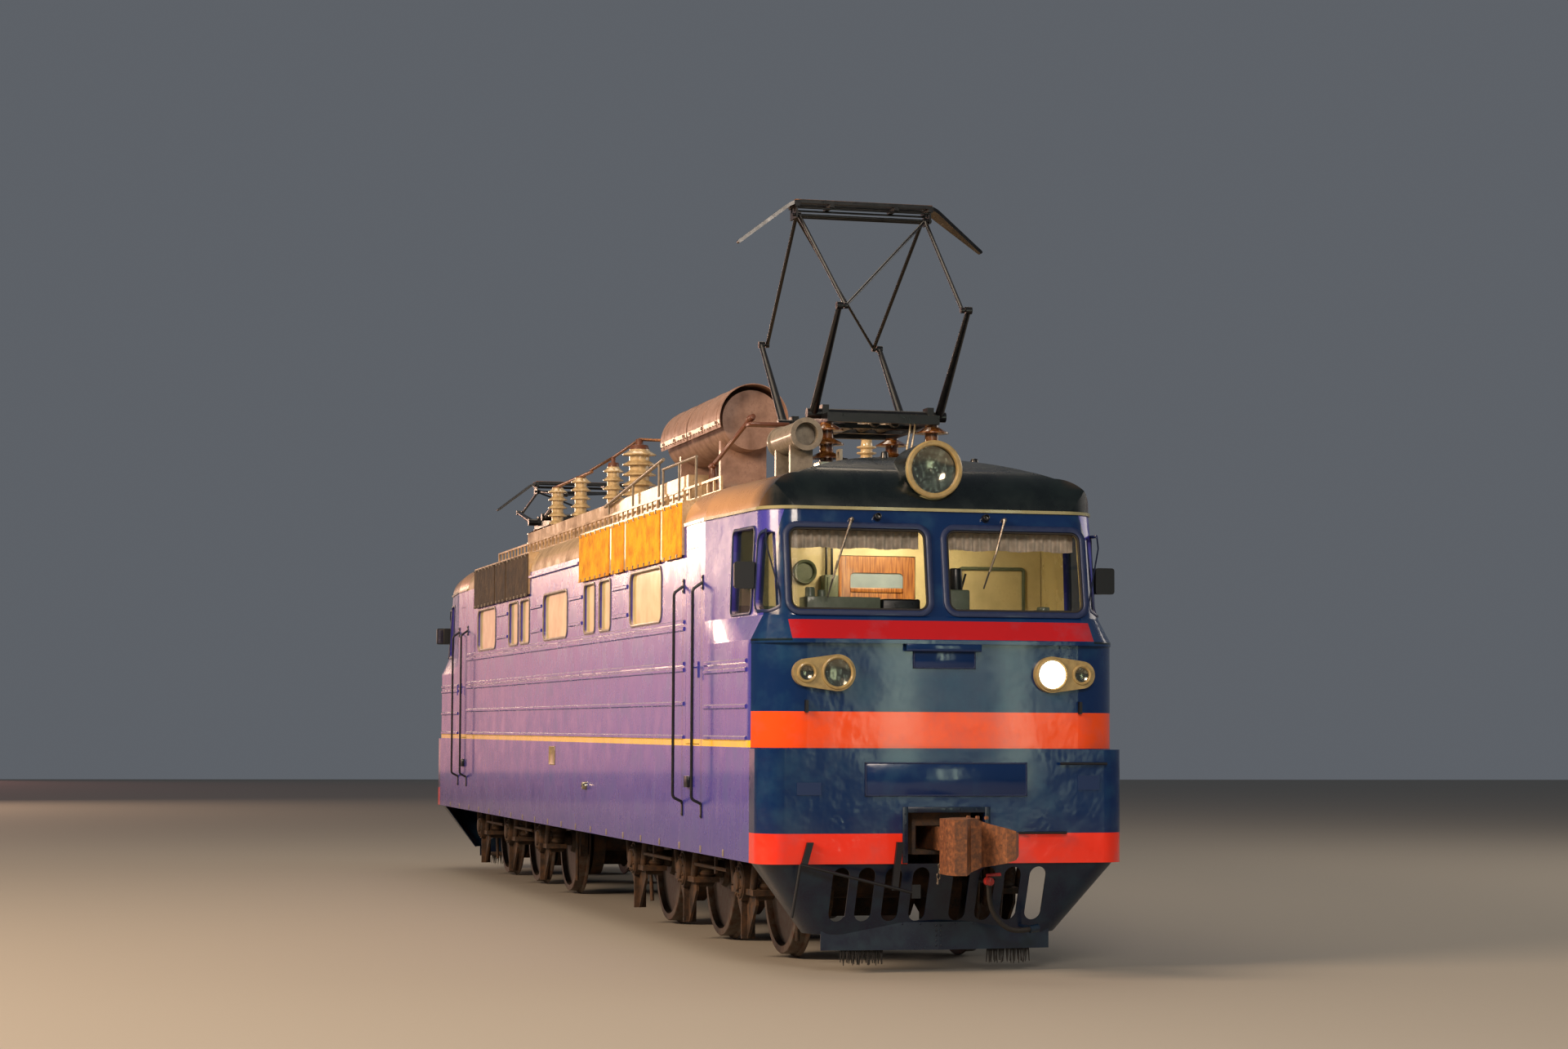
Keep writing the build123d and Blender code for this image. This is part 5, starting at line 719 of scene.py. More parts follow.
def new_rod(name, start, end, radius, sides=16, tip=None):
    """A cylinder between two points, or a cone where it has a tip radius."""
    bpy.ops.object.select_all(action="DESELECT")
    first = Vector(start)
    way = Vector(end) - first
    turn = way.to_track_quat("Z", "Y").to_euler()
    bpy.ops.mesh.primitive_cone_add(
        vertices=sides, radius1=radius, radius2=radius if tip is None else tip, depth=way.length,
        location=first + way / 2, rotation=turn,
    )
    return settle(name)


def soften(piece, width, segments=2):
    """Rounds the hard edges with an applied bevel and shades the piece smooth between them."""
    only(piece)
    bpy.ops.object.modifier_add(type="BEVEL")
    bevel = piece.modifiers[-1]
    bevel.width = width
    bevel.segments = segments
    bevel.limit_method = "ANGLE"
    bpy.ops.object.modifier_apply(modifier=bevel.name)
    bpy.ops.object.shade_smooth_by_angle(angle=math.radians(40))
    return piece


def edit_faces(piece, way):
    """Opens a piece for editing with the faces selected that look one way."""
    only(piece)
    bpy.ops.object.mode_set(mode="EDIT")
    bpy.ops.mesh.select_mode(type="FACE")
    bpy.ops.mesh.select_all(action="DESELECT")
    mesh = bmesh.from_edit_mesh(piece.data)
    for face in mesh.faces:
        face.select_set(face.normal.dot(Vector(way)) > 0.9)
    bmesh.update_edit_mesh(piece.data)


def end_editing(piece):
    """Makes the faces point outwards and leaves edit mode."""
    bpy.ops.mesh.select_all(action="SELECT")
    bpy.ops.mesh.normals_make_consistent(inside=False)
    bpy.ops.object.mode_set(mode="OBJECT")
    return piece


def press(piece, way, border, push):
    """Insets the faces that look one way and pushes what is inside the border in or out."""
    edit_faces(piece, way)
    bpy.ops.mesh.inset(thickness=border)
    bpy.ops.mesh.extrude_region_move(TRANSFORM_OT_translate={"value": push})
    return end_editing(piece)


def join(name, pieces):
    """Joins pieces into one object."""
    only(pieces[0])
    for piece in pieces:
        piece.select_set(True)
    if len(pieces) > 1:
        bpy.ops.object.join()
    joined = bpy.context.object
    joined.name = name
    joined.data.name = name
    return joined


def copies(piece, places, name):
    """Copies a piece to places or by matrices, each copy with its own mesh, and joins them."""
    made = []
    for place in places:
        matrix = place if isinstance(place, Matrix) else Matrix.Translation(place)
        copy = piece.copy()
        copy.data = piece.data.copy()
        copy.data.transform(matrix)
        if matrix.determinant() < 0:
            copy.data.flip_normals()
        bpy.context.scene.collection.objects.link(copy)
        made.append(copy)
    bpy.data.objects.remove(piece)
    return join(name, made)


def hand_over(piece, material, body=ROOT):
    """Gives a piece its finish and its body."""
    piece.data.materials.clear()
    piece.data.materials.append(material)
    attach(piece, body)
    return piece


def fit(name, pieces, places, material, body=ROOT):
    """Joins pieces, copies them to their places and hands them over."""
    return hand_over(copies(join(name, pieces), places, name), material, body)


print("modelling tools ready")

# %% [markdown]
# ## Window seals
#
# Each window sits in a rounded rubber seal or a screwed frame that stands a finger's width
# proud of the sheet. One plane does it: its corners are bevelled round, an inset leaves a strip
# along the rim, the middle is deleted, and a solidify and a bevel give it body. The flat ring is
# then turned onto the wall. The windscreens lean back, so their ring is laid on the raked plane.

# %% Model one flat ring


def window_ring(name, width, height, corner, border, proud):
    """A rounded ring in XY round an opening of some size, standing proud along Z."""
    bpy.ops.object.select_all(action="DESELECT")
    bpy.ops.mesh.primitive_plane_add(size=1)
    ring = bpy.context.object
    ring.scale = (width + 2 * border, height + 2 * border, 1)
    ring = settle(name)
    bpy.ops.object.mode_set(mode="EDIT")
    bpy.ops.mesh.select_all(action="SELECT")
    bpy.ops.mesh.bevel(offset=corner + border, segments=8, affect="VERTICES")
    bpy.ops.mesh.select_all(action="SELECT")
    bpy.ops.mesh.inset(thickness=border)
    bpy.ops.mesh.delete(type="FACE")
    bpy.ops.object.mode_set(mode="OBJECT")
    only(ring)
    bpy.ops.object.modifier_add(type="SOLIDIFY")
    ring.modifiers[-1].thickness = proud
    ring.modifiers[-1].offset = 1.0
    bpy.ops.object.modifier_apply(modifier=ring.modifiers[-1].name)
    return soften(ring, proud * 0.35)


# %% Lay rings round the windscreens
NOSE_X, NOSE_HALF, NOSE_Z = 9.230, 1.450, 2.890  # foot of the raked front
LEAN, TAPER, RISE = 0.150, 0.040, 0.870  # how far it goes back, in and up
RAKE_FOOT = Vector((NOSE_X, 0.0, NOSE_Z))
RAKE_HEAD = Vector((NOSE_X - LEAN, 0.0, NOSE_Z + RISE))
rake_up = (RAKE_HEAD - RAKE_FOOT).normalized()
rake_out = Vector((rake_up.z, 0, -rake_up.x))
SCREEN_Y = 0.670
SCREEN_MIDDLE_Z = 3.270
SCREEN_SIZE = (1.160, 0.670 / rake_up.z)


def on_rake(y, z, proud=0.0):
    """A point on the raked front at some y and height."""
    share = (z - RAKE_FOOT.z) / (RAKE_HEAD.z - RAKE_FOOT.z)
    return RAKE_FOOT.lerp(RAKE_HEAD, share) + Vector((0, y, 0)) + rake_out * proud


rake_axes = Matrix((Vector((0, 1, 0)), rake_up, rake_out)).transposed().to_4x4()
screens = []
for y in (-SCREEN_Y, SCREEN_Y):
    lay = Matrix.Translation(on_rake(y, SCREEN_MIDDLE_Z, -0.004)) @ rake_axes
    screens += [end @ lay for end in BOTH_ENDS]
outer_ring = window_ring("screen_seal", *SCREEN_SIZE, 0.075, 0.050, 0.020)
fit("windscreen_seals", [outer_ring], screens, blue_trim)
BEAD_INSET = 0.034
bead_places = [place @ Matrix.Translation((0, 0, -0.012)) for place in screens]
bead_size = [size - BEAD_INSET for size in SCREEN_SIZE]
fit("windscreen_beads", [window_ring("glazing_bead", *bead_size, 0.060, 0.020, 0.022)], bead_places, rubber)
print("windscreens", len(screens))

# %% Lay rings round the side windows
# Middle, width and corner radius
SIDE_WINDOWS = (
    (-4.95, 1.45, 0.09),
    (-2.85, 0.65, 0.05),
    (-2.03, 0.62, 0.05),
    (-0.01, 1.50, 0.09),
    (2.03, 0.58, 0.05),
    (2.87, 0.58, 0.05),
    (4.88, 1.45, 0.09),
)
SIDE_WINDOW_Z = (2.955, 3.450)
wall_axes = Matrix(((1, 0, 0), (0, 0, 1), (0, -1, 0))).transposed().to_4x4()
side_height = SIDE_WINDOW_Z[1] - SIDE_WINDOW_Z[0]
side_middle = sum(SIDE_WINDOW_Z) / 2
rings = []
for middle, width, corner in SIDE_WINDOWS:
    ring = window_ring("side_seal", width - 0.010, side_height - 0.010, corner, 0.024, 0.012)
    lay = Matrix.Translation((middle, -HALF_WIDTH + 0.002, side_middle)) @ wall_axes
    rings.append(copies(ring, [side @ lay for side in BOTH_SIDES], "side_seal"))
hand_over(join("side_window_seals", rings), grey_enamel)

# %% Lay rings round the cab's side windows
# Middle x, width, foot, head, corner radius
CAB_WINDOWS = ((8.49, 0.56, 2.925, 3.610, 0.04), (9.03, 0.30, 2.935, 3.570, 0.09))
CAB_START_X = 7.400
NOSE_MARGIN = 0.045


def cab_wall_y(x, z):
    """Distance of the cab's tapered side wall from the middle plane."""
    rise = (z - NOSE_Z) / RISE
    nose_x = NOSE_X - LEAN * rise
    nose_y = NOSE_HALF - TAPER * rise
    return HALF_WIDTH - (x - CAB_START_X) / (nose_x - CAB_START_X) * (HALF_WIDTH - nose_y)


wall_tree = BVHTree.FromObject(nodes["cab_front"], bpy.context.evaluated_depsgraph_get())
rings = []
for middle, width, foot, head, corner in CAB_WINDOWS:
    ring = window_ring("cab_side_seal", width, head - foot, corner, 0.026, 0.014)
    for vertex in ring.data.vertices:
        z = (foot + head) / 2 + vertex.co.y
        x = min(middle + vertex.co.x, NOSE_X - NOSE_MARGIN - LEAN * (z - NOSE_Z) / RISE)
        # A ray from outside finds the wall just beside the opening; where it misses, the plan does
        probe = Vector((middle + (x - middle) * 1.02, -2.0, z + vertex.co.y * 0.01))
        hit = wall_tree.ray_cast(probe, Vector((0, 1, 0)), 0.70)[0]
        wall_y = -hit.y if hit else cab_wall_y(x, z)
        vertex.co = (x, -wall_y - vertex.co.z + 0.003, z)
    rings.append(copies(ring, ALL_CORNERS, "cab_side_seal"))
hand_over(join("cab_side_window_seals", rings), blue_trim)
print("side windows", len(SIDE_WINDOWS) * 2, "cab side windows", len(CAB_WINDOWS) * 4)

# %% [markdown]
# ## Wipers
#
# Two wipers hang from over the screens. A wiper is a spindle in a cap, a thin sprung arm and a
# rubber blade in a folded carrier. Each is laid on the raked plane from three points read off
# the photograph: the spindle, the arm's end and the blade's foot.

# %% Hang the wipers
# Spindle, arm end and blade foot, as y and height
WIPERS = (
    ((-0.718, 3.674), (-0.848, 3.330), (-0.946, 3.030)),
    ((0.595, 3.694), (0.500, 3.400), (0.385, 3.120)),
)
ARM_RADIUS = 0.008
arms = []
blades = []
for spindle, arm_end, blade_foot in WIPERS:
    cap = new_rod("spindle", on_rake(*spindle, -0.01), on_rake(*spindle, 0.045), 0.024, tip=0.017)
    arms.append(soften(cap, 0.004))
    root, tip = on_rake(*spindle, 0.040), on_rake(*arm_end, 0.036)
    arm = new_rod("arm", root, tip, ARM_RADIUS * 1.5, 12, ARM_RADIUS)
    edit_faces(arm, rake_out)
    bpy.ops.mesh.inset(thickness=0.001)
    end_editing(arm)
    arms.append(arm)
    middle = [(a + b) / 2 for a, b in zip(arm_end, blade_foot)]
    arms.append(new_rod("carrier", on_rake(*arm_end, 0.036), on_rake(*middle, 0.026), ARM_RADIUS, 12))
    blade = new_rod("blade", on_rake(*arm_end, 0.018), on_rake(*blade_foot, 0.018), 0.011, 4, 0.009)
    blades.append(soften(blade, 0.003))
fit("wiper_arms", arms, BOTH_ENDS, bright_steel)
fit("wiper_blades", blades, BOTH_ENDS, rubber)

# %% Fix the hooded sockets over the screens
SOCKETS = ((-0.496, 3.700), (0.434, 3.708))
hoods = []
for y, z in SOCKETS:
    hood = new_rod("hood", on_rake(y, z, 0.0), on_rake(y, z, 0.060), 0.034, 20, 0.026)
    hoods.append(soften(press(hood, rake_out, 0.006, -rake_out * 0.03), 0.002))
fit("hooded_sockets", hoods, BOTH_ENDS, black_enamel)
print("wipers", len(WIPERS) * 2, "sockets", len(SOCKETS) * 2)

# %% [markdown]
# ## Headlight and lamp pods
#
# Behind each lens is a silvered bowl, which a spin of a short curved profile gives, and in front
# a screwed rim. The lens itself is in the frame. One of the large lamps burns in the
# photograph, so a bright disc covers its bowl, and no light object is needed for it.

# %% Spin the bowls and the rims


def spun(name, profile, x, y, z, steps=40):
    """Spins a profile of (reach along X, radius) pairs round a line along X."""
    bpy.ops.object.select_all(action="DESELECT")
    bpy.ops.mesh.primitive_plane_add(size=0.01)
    piece = bpy.context.object
    bpy.ops.object.mode_set(mode="EDIT")
    mesh = bmesh.from_edit_mesh(piece.data)
    mesh.clear()
    line = [mesh.verts.new((x + reach, y, z + radius)) for reach, radius in profile]
    for first, last in zip(line, line[1:]):
        mesh.edges.new((first, last))
    bmesh.update_edit_mesh(piece.data)
    bpy.ops.mesh.select_all(action="SELECT")
    bpy.ops.mesh.spin(steps=steps, angle=2 * math.pi, center=(x, y, z), axis=(1, 0, 0))
    bpy.ops.mesh.select_all(action="SELECT")
    bpy.ops.mesh.remove_doubles(threshold=0.0001)
    end_editing(piece)
    bpy.ops.object.shade_smooth_by_angle(angle=math.radians(35))
    piece.name = name
    piece.data.name = name
    return piece


PANEL_X = 9.360
POD_Z = 2.420
POD_BIG = (0.909, 0.118)  # y and lens radius
POD_SMALL = (1.165, 0.066)
BURNING_Y = POD_BIG[0]

bowls = []
rims = []
for y, radius in (POD_BIG, POD_SMALL):
    for side in (-1, 1):
        lens = radius - 0.002
        bowl = ((0.013, 0.0001), (0.014, lens * 0.4), (0.018, lens * 0.75), (0.0245, lens))
        bowls.append(spun("bowl", bowl, PANEL_X, side * y, POD_Z))
        rim = (
            (0.046, radius - 0.008), (0.062, radius - 0.006), (0.070, radius + 0.004),
            (0.068, radius + 0.014), (0.056, radius + 0.019), (0.052, radius + 0.012),
        )
        rims.append(spun("rim", rim + rim[:1], PANEL_X, side * y, POD_Z))
head_bowl = ((0.004, 0.0001), (0.006, 0.08), (0.018, 0.15), (0.055, 0.197))
bowls.append(spun("bowl", head_bowl, LAMP_FACE_X - 0.120, 0, HEADLIGHT_Z))
fit("lamp_bowls", bowls, BOTH_ENDS, silver)
head_rim = ((-0.03, 0.196), (0.010, 0.198), (0.016, 0.206), (0.016, 0.230), (0.008, 0.241), (-0.03, 0.238))
rims.append(spun("rim", head_rim + head_rim[:1], LAMP_FACE_X, 0, HEADLIGHT_Z, 56))
fit("lamp_rims", rims, BOTH_ENDS, cream_enamel)

bulb = ((0.0, 0.0001), (0.0, 0.012), (0.012, 0.02), (0.028, 0.012), (0.032, 0.0001))
bulb = spun("bulb", bulb, LAMP_FACE_X - 0.112, 0, HEADLIGHT_Z, 20)
fit("headlight_bulbs", [bulb], BOTH_ENDS, silver)
lit = spun("burning_lamp", ((0.0275, 0.0001), (0.0275, POD_BIG[1] * 0.6), (0.0205, POD_BIG[1] - 0.004)),
           PANEL_X + 0.018, BURNING_Y, POD_Z)
hand_over(lit, lit_glass)
print("lamp bowls", len(bowls) * 2)

# %% [markdown]
# ## Small heads: rivets, screws and bolts
#
# Rivets are what shows that a plate is fixed on and not drawn. A rivet head is half a small
# ball; a bolt is a short hexagon on a washer. Both are made once at the origin, facing along Z,
# and copied by the dozen with few faces each, turned to the face that they sit on.

# %% Model one head and copy it


def rivet_rows(name, places, facing, radius, material, body=ROOT, bolt=False, ends=(Matrix.Identity(4),)):
    """Rivet or bolt heads at places, all facing one way."""
    bpy.ops.object.select_all(action="DESELECT")
    if bolt:
        bpy.ops.mesh.primitive_cylinder_add(vertices=6, radius=radius, depth=radius * 1.2)
        head = press(settle("head"), UP, radius * 0.2, (0, 0, radius * 0.2))
    else:
        bpy.ops.mesh.primitive_uv_sphere_add(segments=8, ring_count=6, radius=radius)
        head = settle("head")
        bpy.ops.object.mode_set(mode="EDIT")
        bpy.ops.mesh.select_all(action="SELECT")
        bpy.ops.mesh.bisect(plane_co=(0, 0, 0), plane_no=(0, 0, 1), clear_inner=True, use_fill=True)
        end_editing(head)
        bpy.ops.object.shade_smooth()
    turn = Vector(facing).to_track_quat("Z", "Y").to_matrix().to_4x4()
    every = [end @ Matrix.Translation(place) @ turn for end in ends for place in places]
    return hand_over(copies(head, every, name), material, body)


def rim_points(y_range, z_range, x, pitch, margin):
    """Evenly spaced points along the rim of an upright plate that faces forward."""
    y_low, y_high = y_range[0] + margin, y_range[1] - margin
    z_low, z_high = z_range[0] + margin, z_range[1] - margin
    across = max(2, round((y_high - y_low) / pitch) + 1)
    upright = max(2, round((z_high - z_low) / pitch) + 1)
    points = []
    for i in range(across):
        y = y_low + (y_high - y_low) * i / (across - 1)
        points += [(x, y, z_low), (x, y, z_high)]
    for i in range(1, upright - 1):
        z = z_low + (z_high - z_low) * i / (upright - 1)
        points += [(x, y_low, z), (x, y_high, z)]
    return points


# %% Frame and rivet the blank plates
APRON_X = 9.420
UPPER_PLATE = ((-0.265, 0.265), (2.460, 2.640))
APRON_PLATE = ((-0.685, 0.685), (1.430, 1.704))
PLATE_BORDER = 0.014
SHEET_MARGIN = 0.012
HEAD_MARGIN = 0.007
front_axes = Matrix(((0, 1, 0), (0, 0, 1), (1, 0, 0))).transposed().to_4x4()
frames = []
for (y_range, z_range), x in ((UPPER_PLATE, PANEL_X + 0.008), (APRON_PLATE, APRON_X + 0.008)):
    width = y_range[1] - y_range[0] - 2 * PLATE_BORDER
    height = z_range[1] - z_range[0] - 2 * PLATE_BORDER
    ring = window_ring("plate_frame", width, height, 0.012, PLATE_BORDER, 0.007)
    lay = Matrix.Translation((x, 0, sum(z_range) / 2)) @ front_axes
    frames.append(copies(ring, [end @ lay for end in BOTH_ENDS], "plate_frame"))
hand_over(join("plate_frames", frames), blue_trim)
faces = []
for (y_range, z_range), x in ((UPPER_PLATE, PANEL_X + 0.0095), (APRON_PLATE, APRON_X + 0.0095)):
    low = (x, y_range[0] + SHEET_MARGIN, z_range[0] + SHEET_MARGIN)
    high = (x + 0.003, y_range[1] - SHEET_MARGIN, z_range[1] - SHEET_MARGIN)
    faces.append(soften(new_block("plate_sheet", low, high), 0.001))
fit("plate_sheets", faces, BOTH_ENDS, enamel)
heads = rim_points(*UPPER_PLATE, PANEL_X + 0.0165, 0.09, HEAD_MARGIN)
heads += rim_points(*APRON_PLATE, APRON_X + 0.0165, 0.11, HEAD_MARGIN)
rivet_rows("plate_rivets", heads, FORWARD, 0.006, blue_trim, ends=BOTH_ENDS)
print("plate rivets", len(heads) * 2)

# %% [markdown]
# ## Lip, recess frame and coupler dressing
#
# The lip's shadow stops in the middle, where a filler plate joins it to the panel. The coupler
# comes out of a recess that a bolted angle frames. On the coupler hangs a short chain: each link
# is a ring stretched into an oval and turned a quarter against its neighbour.

# %% Fill the lip and frame the recess
filler = new_block("lip_filler", (9.350, -0.335, 2.600), (9.4235, 0.303, 2.664))
fit("lip_fillers", [soften(filler, 0.008, 3)], BOTH_ENDS, enamel)

RECESS_HALF = 0.325
RECESS_FOOT = 0.895
RECESS_TOP = 1.300
BAR_WIDTH = 0.045
BAR_FRONT_X = APRON_X + 0.012
BOLT_INSET = 0.022
bars = []
for side in (-1, 1):
    y_low, y_high = sorted((side * RECESS_HALF, side * (RECESS_HALF + BAR_WIDTH)))
    high = (BAR_FRONT_X, y_high, RECESS_TOP + BAR_WIDTH)
    bars.append(new_block("recess_bar", (APRON_X, y_low, RECESS_FOOT), high))
high = (BAR_FRONT_X, RECESS_HALF, RECESS_TOP + BAR_WIDTH)
bars.append(new_block("recess_bar", (APRON_X, -RECESS_HALF, RECESS_TOP), high))
frame_bars = soften(join("recess_frame", bars), 0.003)
fit("recess_frame", [frame_bars], BOTH_ENDS, pilot_enamel)
bolts = []
for side in (-1, 1):
    bolts += [(BAR_FRONT_X, side * (RECESS_HALF + BOLT_INSET), 0.95 + 0.085 * i) for i in range(5)]
bolts += [(BAR_FRONT_X, -0.25 + 0.125 * i, RECESS_TOP + BOLT_INSET) for i in range(5)]
rivet_rows("recess_bolts", bolts, FORWARD, 0.011, pilot_enamel, bolt=True, ends=BOTH_ENDS)

# %% Hang the chain on the coupler
LINK_LENGTH = 0.052
CHAIN_TOP = Vector((9.700, -0.120, 0.990))
CHAIN_LINKS = 7
bpy.ops.object.select_all(action="DESELECT")
bpy.ops.mesh.primitive_torus_add(major_radius=0.013, minor_radius=0.0042, major_segments=16, minor_segments=6)
link = settle("chain_link")
bpy.ops.object.mode_set(mode="EDIT")
mesh = bmesh.from_edit_mesh(link.data)
for vertex in mesh.verts:
    vertex.select_set(vertex.co.y > 0)
bmesh.update_edit_mesh(link.data)
bpy.ops.transform.translate(value=(0, LINK_LENGTH - 0.030, 0))
end_editing(link)
bpy.ops.object.shade_smooth()
stand = Matrix.Rotation(math.radians(90), 4, "X")
places = []
for i in range(CHAIN_LINKS):
    hang = Matrix.Translation(CHAIN_TOP + Vector((-0.002 * i, -0.006 * i, -(LINK_LENGTH - 0.012) * i)))
    places.append(hang @ Matrix.Rotation(math.radians(90 * (i % 2)), 4, "Z") @ stand)
hand_over(copies(link, places, "coupler_chain"), bright_steel, "coupler_front_head")

# %% Bolt the coupler and paint the cock
COUPLER_Z = 1.090
bolts = [(10.0 + 0.09 * i, 0.0 + 0.045 * i, COUPLER_Z + 0.188) for i in range(3)]
for end_name, end in zip(("front", "rear"), BOTH_ENDS):
    head = f"coupler_{end_name}_head"
    rivet_rows(f"coupler_{end_name}_bolts", bolts, UP, 0.018, cast_steel, head, True, (end,))
handle = new_rod("cock_handle", (9.450, 0.330, 0.792), (9.450, 0.452, 0.800), 0.013, 12, 0.016)
knob = new_rod("cock_body", (9.412, 0.352, 0.7452), (9.492, 0.352, 0.7452), 0.038, 20, 0.034)
hand_over(join("brake_cock_paint", [soften(handle, 0.004), soften(knob, 0.006)]), red_enamel)
hand_over(hose, rubber)
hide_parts("brake_hose")
print("chain links", CHAIN_LINKS)

# %% [markdown]
# ## Rail brushes and the blade's rivets
#
# Stiff brushes under the blade keep stones off the wheels. A bristle is a thin cone; two dozen of
# them in a clamp bar make a brush, each leaning a little its own way, from a seeded random
# number, so the brush looks used and yet comes out the same on every run.

# %% Bunch the bristles
BRUSH_FOOT = 0.060
BRUSH_TOP = 0.205
bristles = []
bars = []
for side in (-1, 1):
    for i in range(30):
        y = side * (0.450 + 0.012 * i)
        lean = random.uniform(-0.018, 0.018)
        foot = (9.125 + random.uniform(-0.02, 0.02), y + lean, BRUSH_FOOT + random.uniform(0, 0.03))
        bristles.append(new_rod("bristle", (9.120, y, BRUSH_TOP), foot, 0.009, 5, 0.004))
    y_low, y_high = sorted((side * 0.430, side * 0.820))
    bars.append(new_block("brush_bar", (9.105, y_low, 0.188), (9.1345, y_high, 0.235)))
fit("rail_brushes", bristles, BOTH_ENDS, rubber)
bars = soften(join("brush_bars", bars), 0.004)
fit("brush_bars", [bars], BOTH_ENDS, running_enamel)
seam = [(y, z) for y in (-0.02, 0.02) for z in (0.22, 0.26, 0.30, 0.34, 0.38)]
foot_row = [(y, 0.395) for y in (-0.9, -0.75, -0.6, -0.45, -0.3, -0.15, 0.15, 0.3, 0.45, 0.6, 0.75, 0.9)]
# The blade is swept back from its middle
heads = [(9.2155 - 0.080 * abs(y) / 0.970, y, z) for y, z in seam + foot_row]
rivet_rows("blade_rivets", heads, FORWARD, 0.009, pilot_enamel, ends=BOTH_ENDS)
print("bristles", len(bristles) * 2)

# %% [markdown]
# ## Inside the cabs
#
# Through the windscreens one sees a cream bulkhead with a wooden door, a round gauge, a framed
# board, a box or two with their pipes and the back of the desk. They are simple shapes, but each
# throws a shadow of its own, and that depth is what makes the glass read as glass.

# %% Furnish the bulkhead
WALL_FACE_X = 7.490
dial = (
    (0.0, 0.0001), (0.0, 0.075), (0.018, 0.078), (0.030, 0.088),
    (0.034, 0.100), (0.020, 0.106), (-0.002, 0.104),
)
dial = spun("gauge", dial, WALL_FACE_X + 0.004, -0.685, 3.330)
fit("cab_gauges", [dial], BOTH_ENDS, green_enamel)
board_frame = window_ring("board_frame", 0.56, 0.50, 0.01, 0.03, 0.02)
lay = Matrix.Translation((WALL_FACE_X + 0.001, 1.02, 3.12)) @ front_axes
fit("board_frames", [board_frame], [end @ lay for end in BOTH_ENDS], green_enamel)
# Low corner and high corner of each box, from the wall on
boxes = []
for (y_low, z_low), (x_high, y_high, z_high) in (
    ((-0.540, 2.98), (7.640, -0.420, 3.300)),
    ((0.440, 2.75), (7.660, 0.640, 3.060)),
    ((-1.300, 2.60), (7.700, -0.950, 3.020)),
):
    box = new_block("wall_box", (7.491, y_low, z_low), (x_high, y_high, z_high))
    boxes.append(soften(press(box, FORWARD, 0.02, (0.012, 0, 0)), 0.006))
fit("bulkhead_boxes", boxes, BOTH_ENDS, green_enamel)
pipes = []
for y, z_from, z_to in ((-0.50, 3.30, 3.66), (-0.45, 3.30, 3.66), (0.50, 3.06, 3.40), (0.57, 3.06, 3.66)):
    pipe = new_rod("wall_pipe", (7.530, y, z_from), (7.530, y, z_to), 0.011, 12)
    pipes.append(soften(pipe, 0.003))
fit("bulkhead_pipes", pipes, BOTH_ENDS, black_enamel)
print("bulkhead boxes", len(boxes) * 2, "pipes", len(pipes) * 2)

# %% Set out the desk
DESK_TOP = 2.560
desk_pieces = []
hood = new_block("desk_hood", (8.900, -1.090, DESK_TOP), (9.120, -0.470, DESK_TOP + 0.485))
edit_faces(hood, BACKWARD)
bpy.ops.transform.translate(value=(-0.03, 0, 0))
bpy.ops.mesh.inset(thickness=0.02)
bpy.ops.mesh.extrude_region_move(TRANSFORM_OT_translate={"value": (0.012, 0, 0)})
desk_pieces.append(soften(end_editing(hood), 0.012, 3))
for y, height, radius in ((-1.03, 0.565, 0.045), (-0.93, 0.545, 0.040), (0.98, 0.43, 0.06)):
    top = new_rod("desk_dial", (8.98, y, DESK_TOP), (8.98, y, DESK_TOP + height), radius, 20, radius * 0.9)
    desk_pieces.append(soften(top, 0.01))
box = new_block("desk_box", (8.90, 0.12, DESK_TOP), (9.08, 0.31, DESK_TOP + 0.56))
desk_pieces.append(soften(box, 0.015, 3))
lid = new_block("desk_lid", (8.84, 0.86, DESK_TOP), (9.10, 1.18, DESK_TOP + 0.40))
desk_pieces.append(soften(lid, 0.012, 3))
fit("desk_gear", desk_pieces, BOTH_ENDS, green_enamel)
black_gear = [soften(new_block("lid", (8.87, -0.45, DESK_TOP), (9.10, -0.12, DESK_TOP + 0.475)), 0.02, 3)]
handset = new_rod("handset", (8.98, 0.215, DESK_TOP + 0.55), (8.98, 0.215, DESK_TOP + 0.74), 0.06, 20, 0.05)
black_gear.append(soften(handset, 0.012, 3))
for y, height in ((0.16, 0.66), (0.27, 0.70)):
    stalk = new_rod("stalk", (8.93, y, DESK_TOP + 0.54), (8.90, y + 0.06, DESK_TOP + height), 0.010, 10)
    black_gear.append(soften(stalk, 0.003))
fit("desk_black_gear", black_gear, BOTH_ENDS, black_enamel)
print("desk pieces", len(desk_pieces) + len(black_gear))

# %% Glaze the partition door
# The lower part of the opening is panelled in wood, the upper strip has a frosted pane
for place, end in zip(BOTH_ENDS, ("front", "rear")):
    leaf = f"partition_door_{end}_leaf"
    panel = new_block("door_panel", (7.458, -0.274, 2.696), (7.480, 0.214, 3.165))
    for way in (FORWARD, BACKWARD):
        edit_faces(panel, way)
        bpy.ops.mesh.inset(thickness=0.05)
        bpy.ops.mesh.inset(thickness=0.02, depth=0.008)
        end_editing(panel)
    panel = soften(panel, 0.003)
    rail = soften(new_block("door_rail", (7.4485, -0.272, 3.160), (7.4935, 0.212, 3.200)), 0.004)
    fit("door_panels_" + end, [panel, rail], [place], wood, leaf)
    pane = soften(new_block("door_pane", (7.466, -0.274, 3.196), (7.473, 0.214, 3.334)), 0.001, 1)
    fit("door_pane_" + end, [pane], [place], frosted_glass, leaf)
print("partition doors glazed", len(BOTH_ENDS))

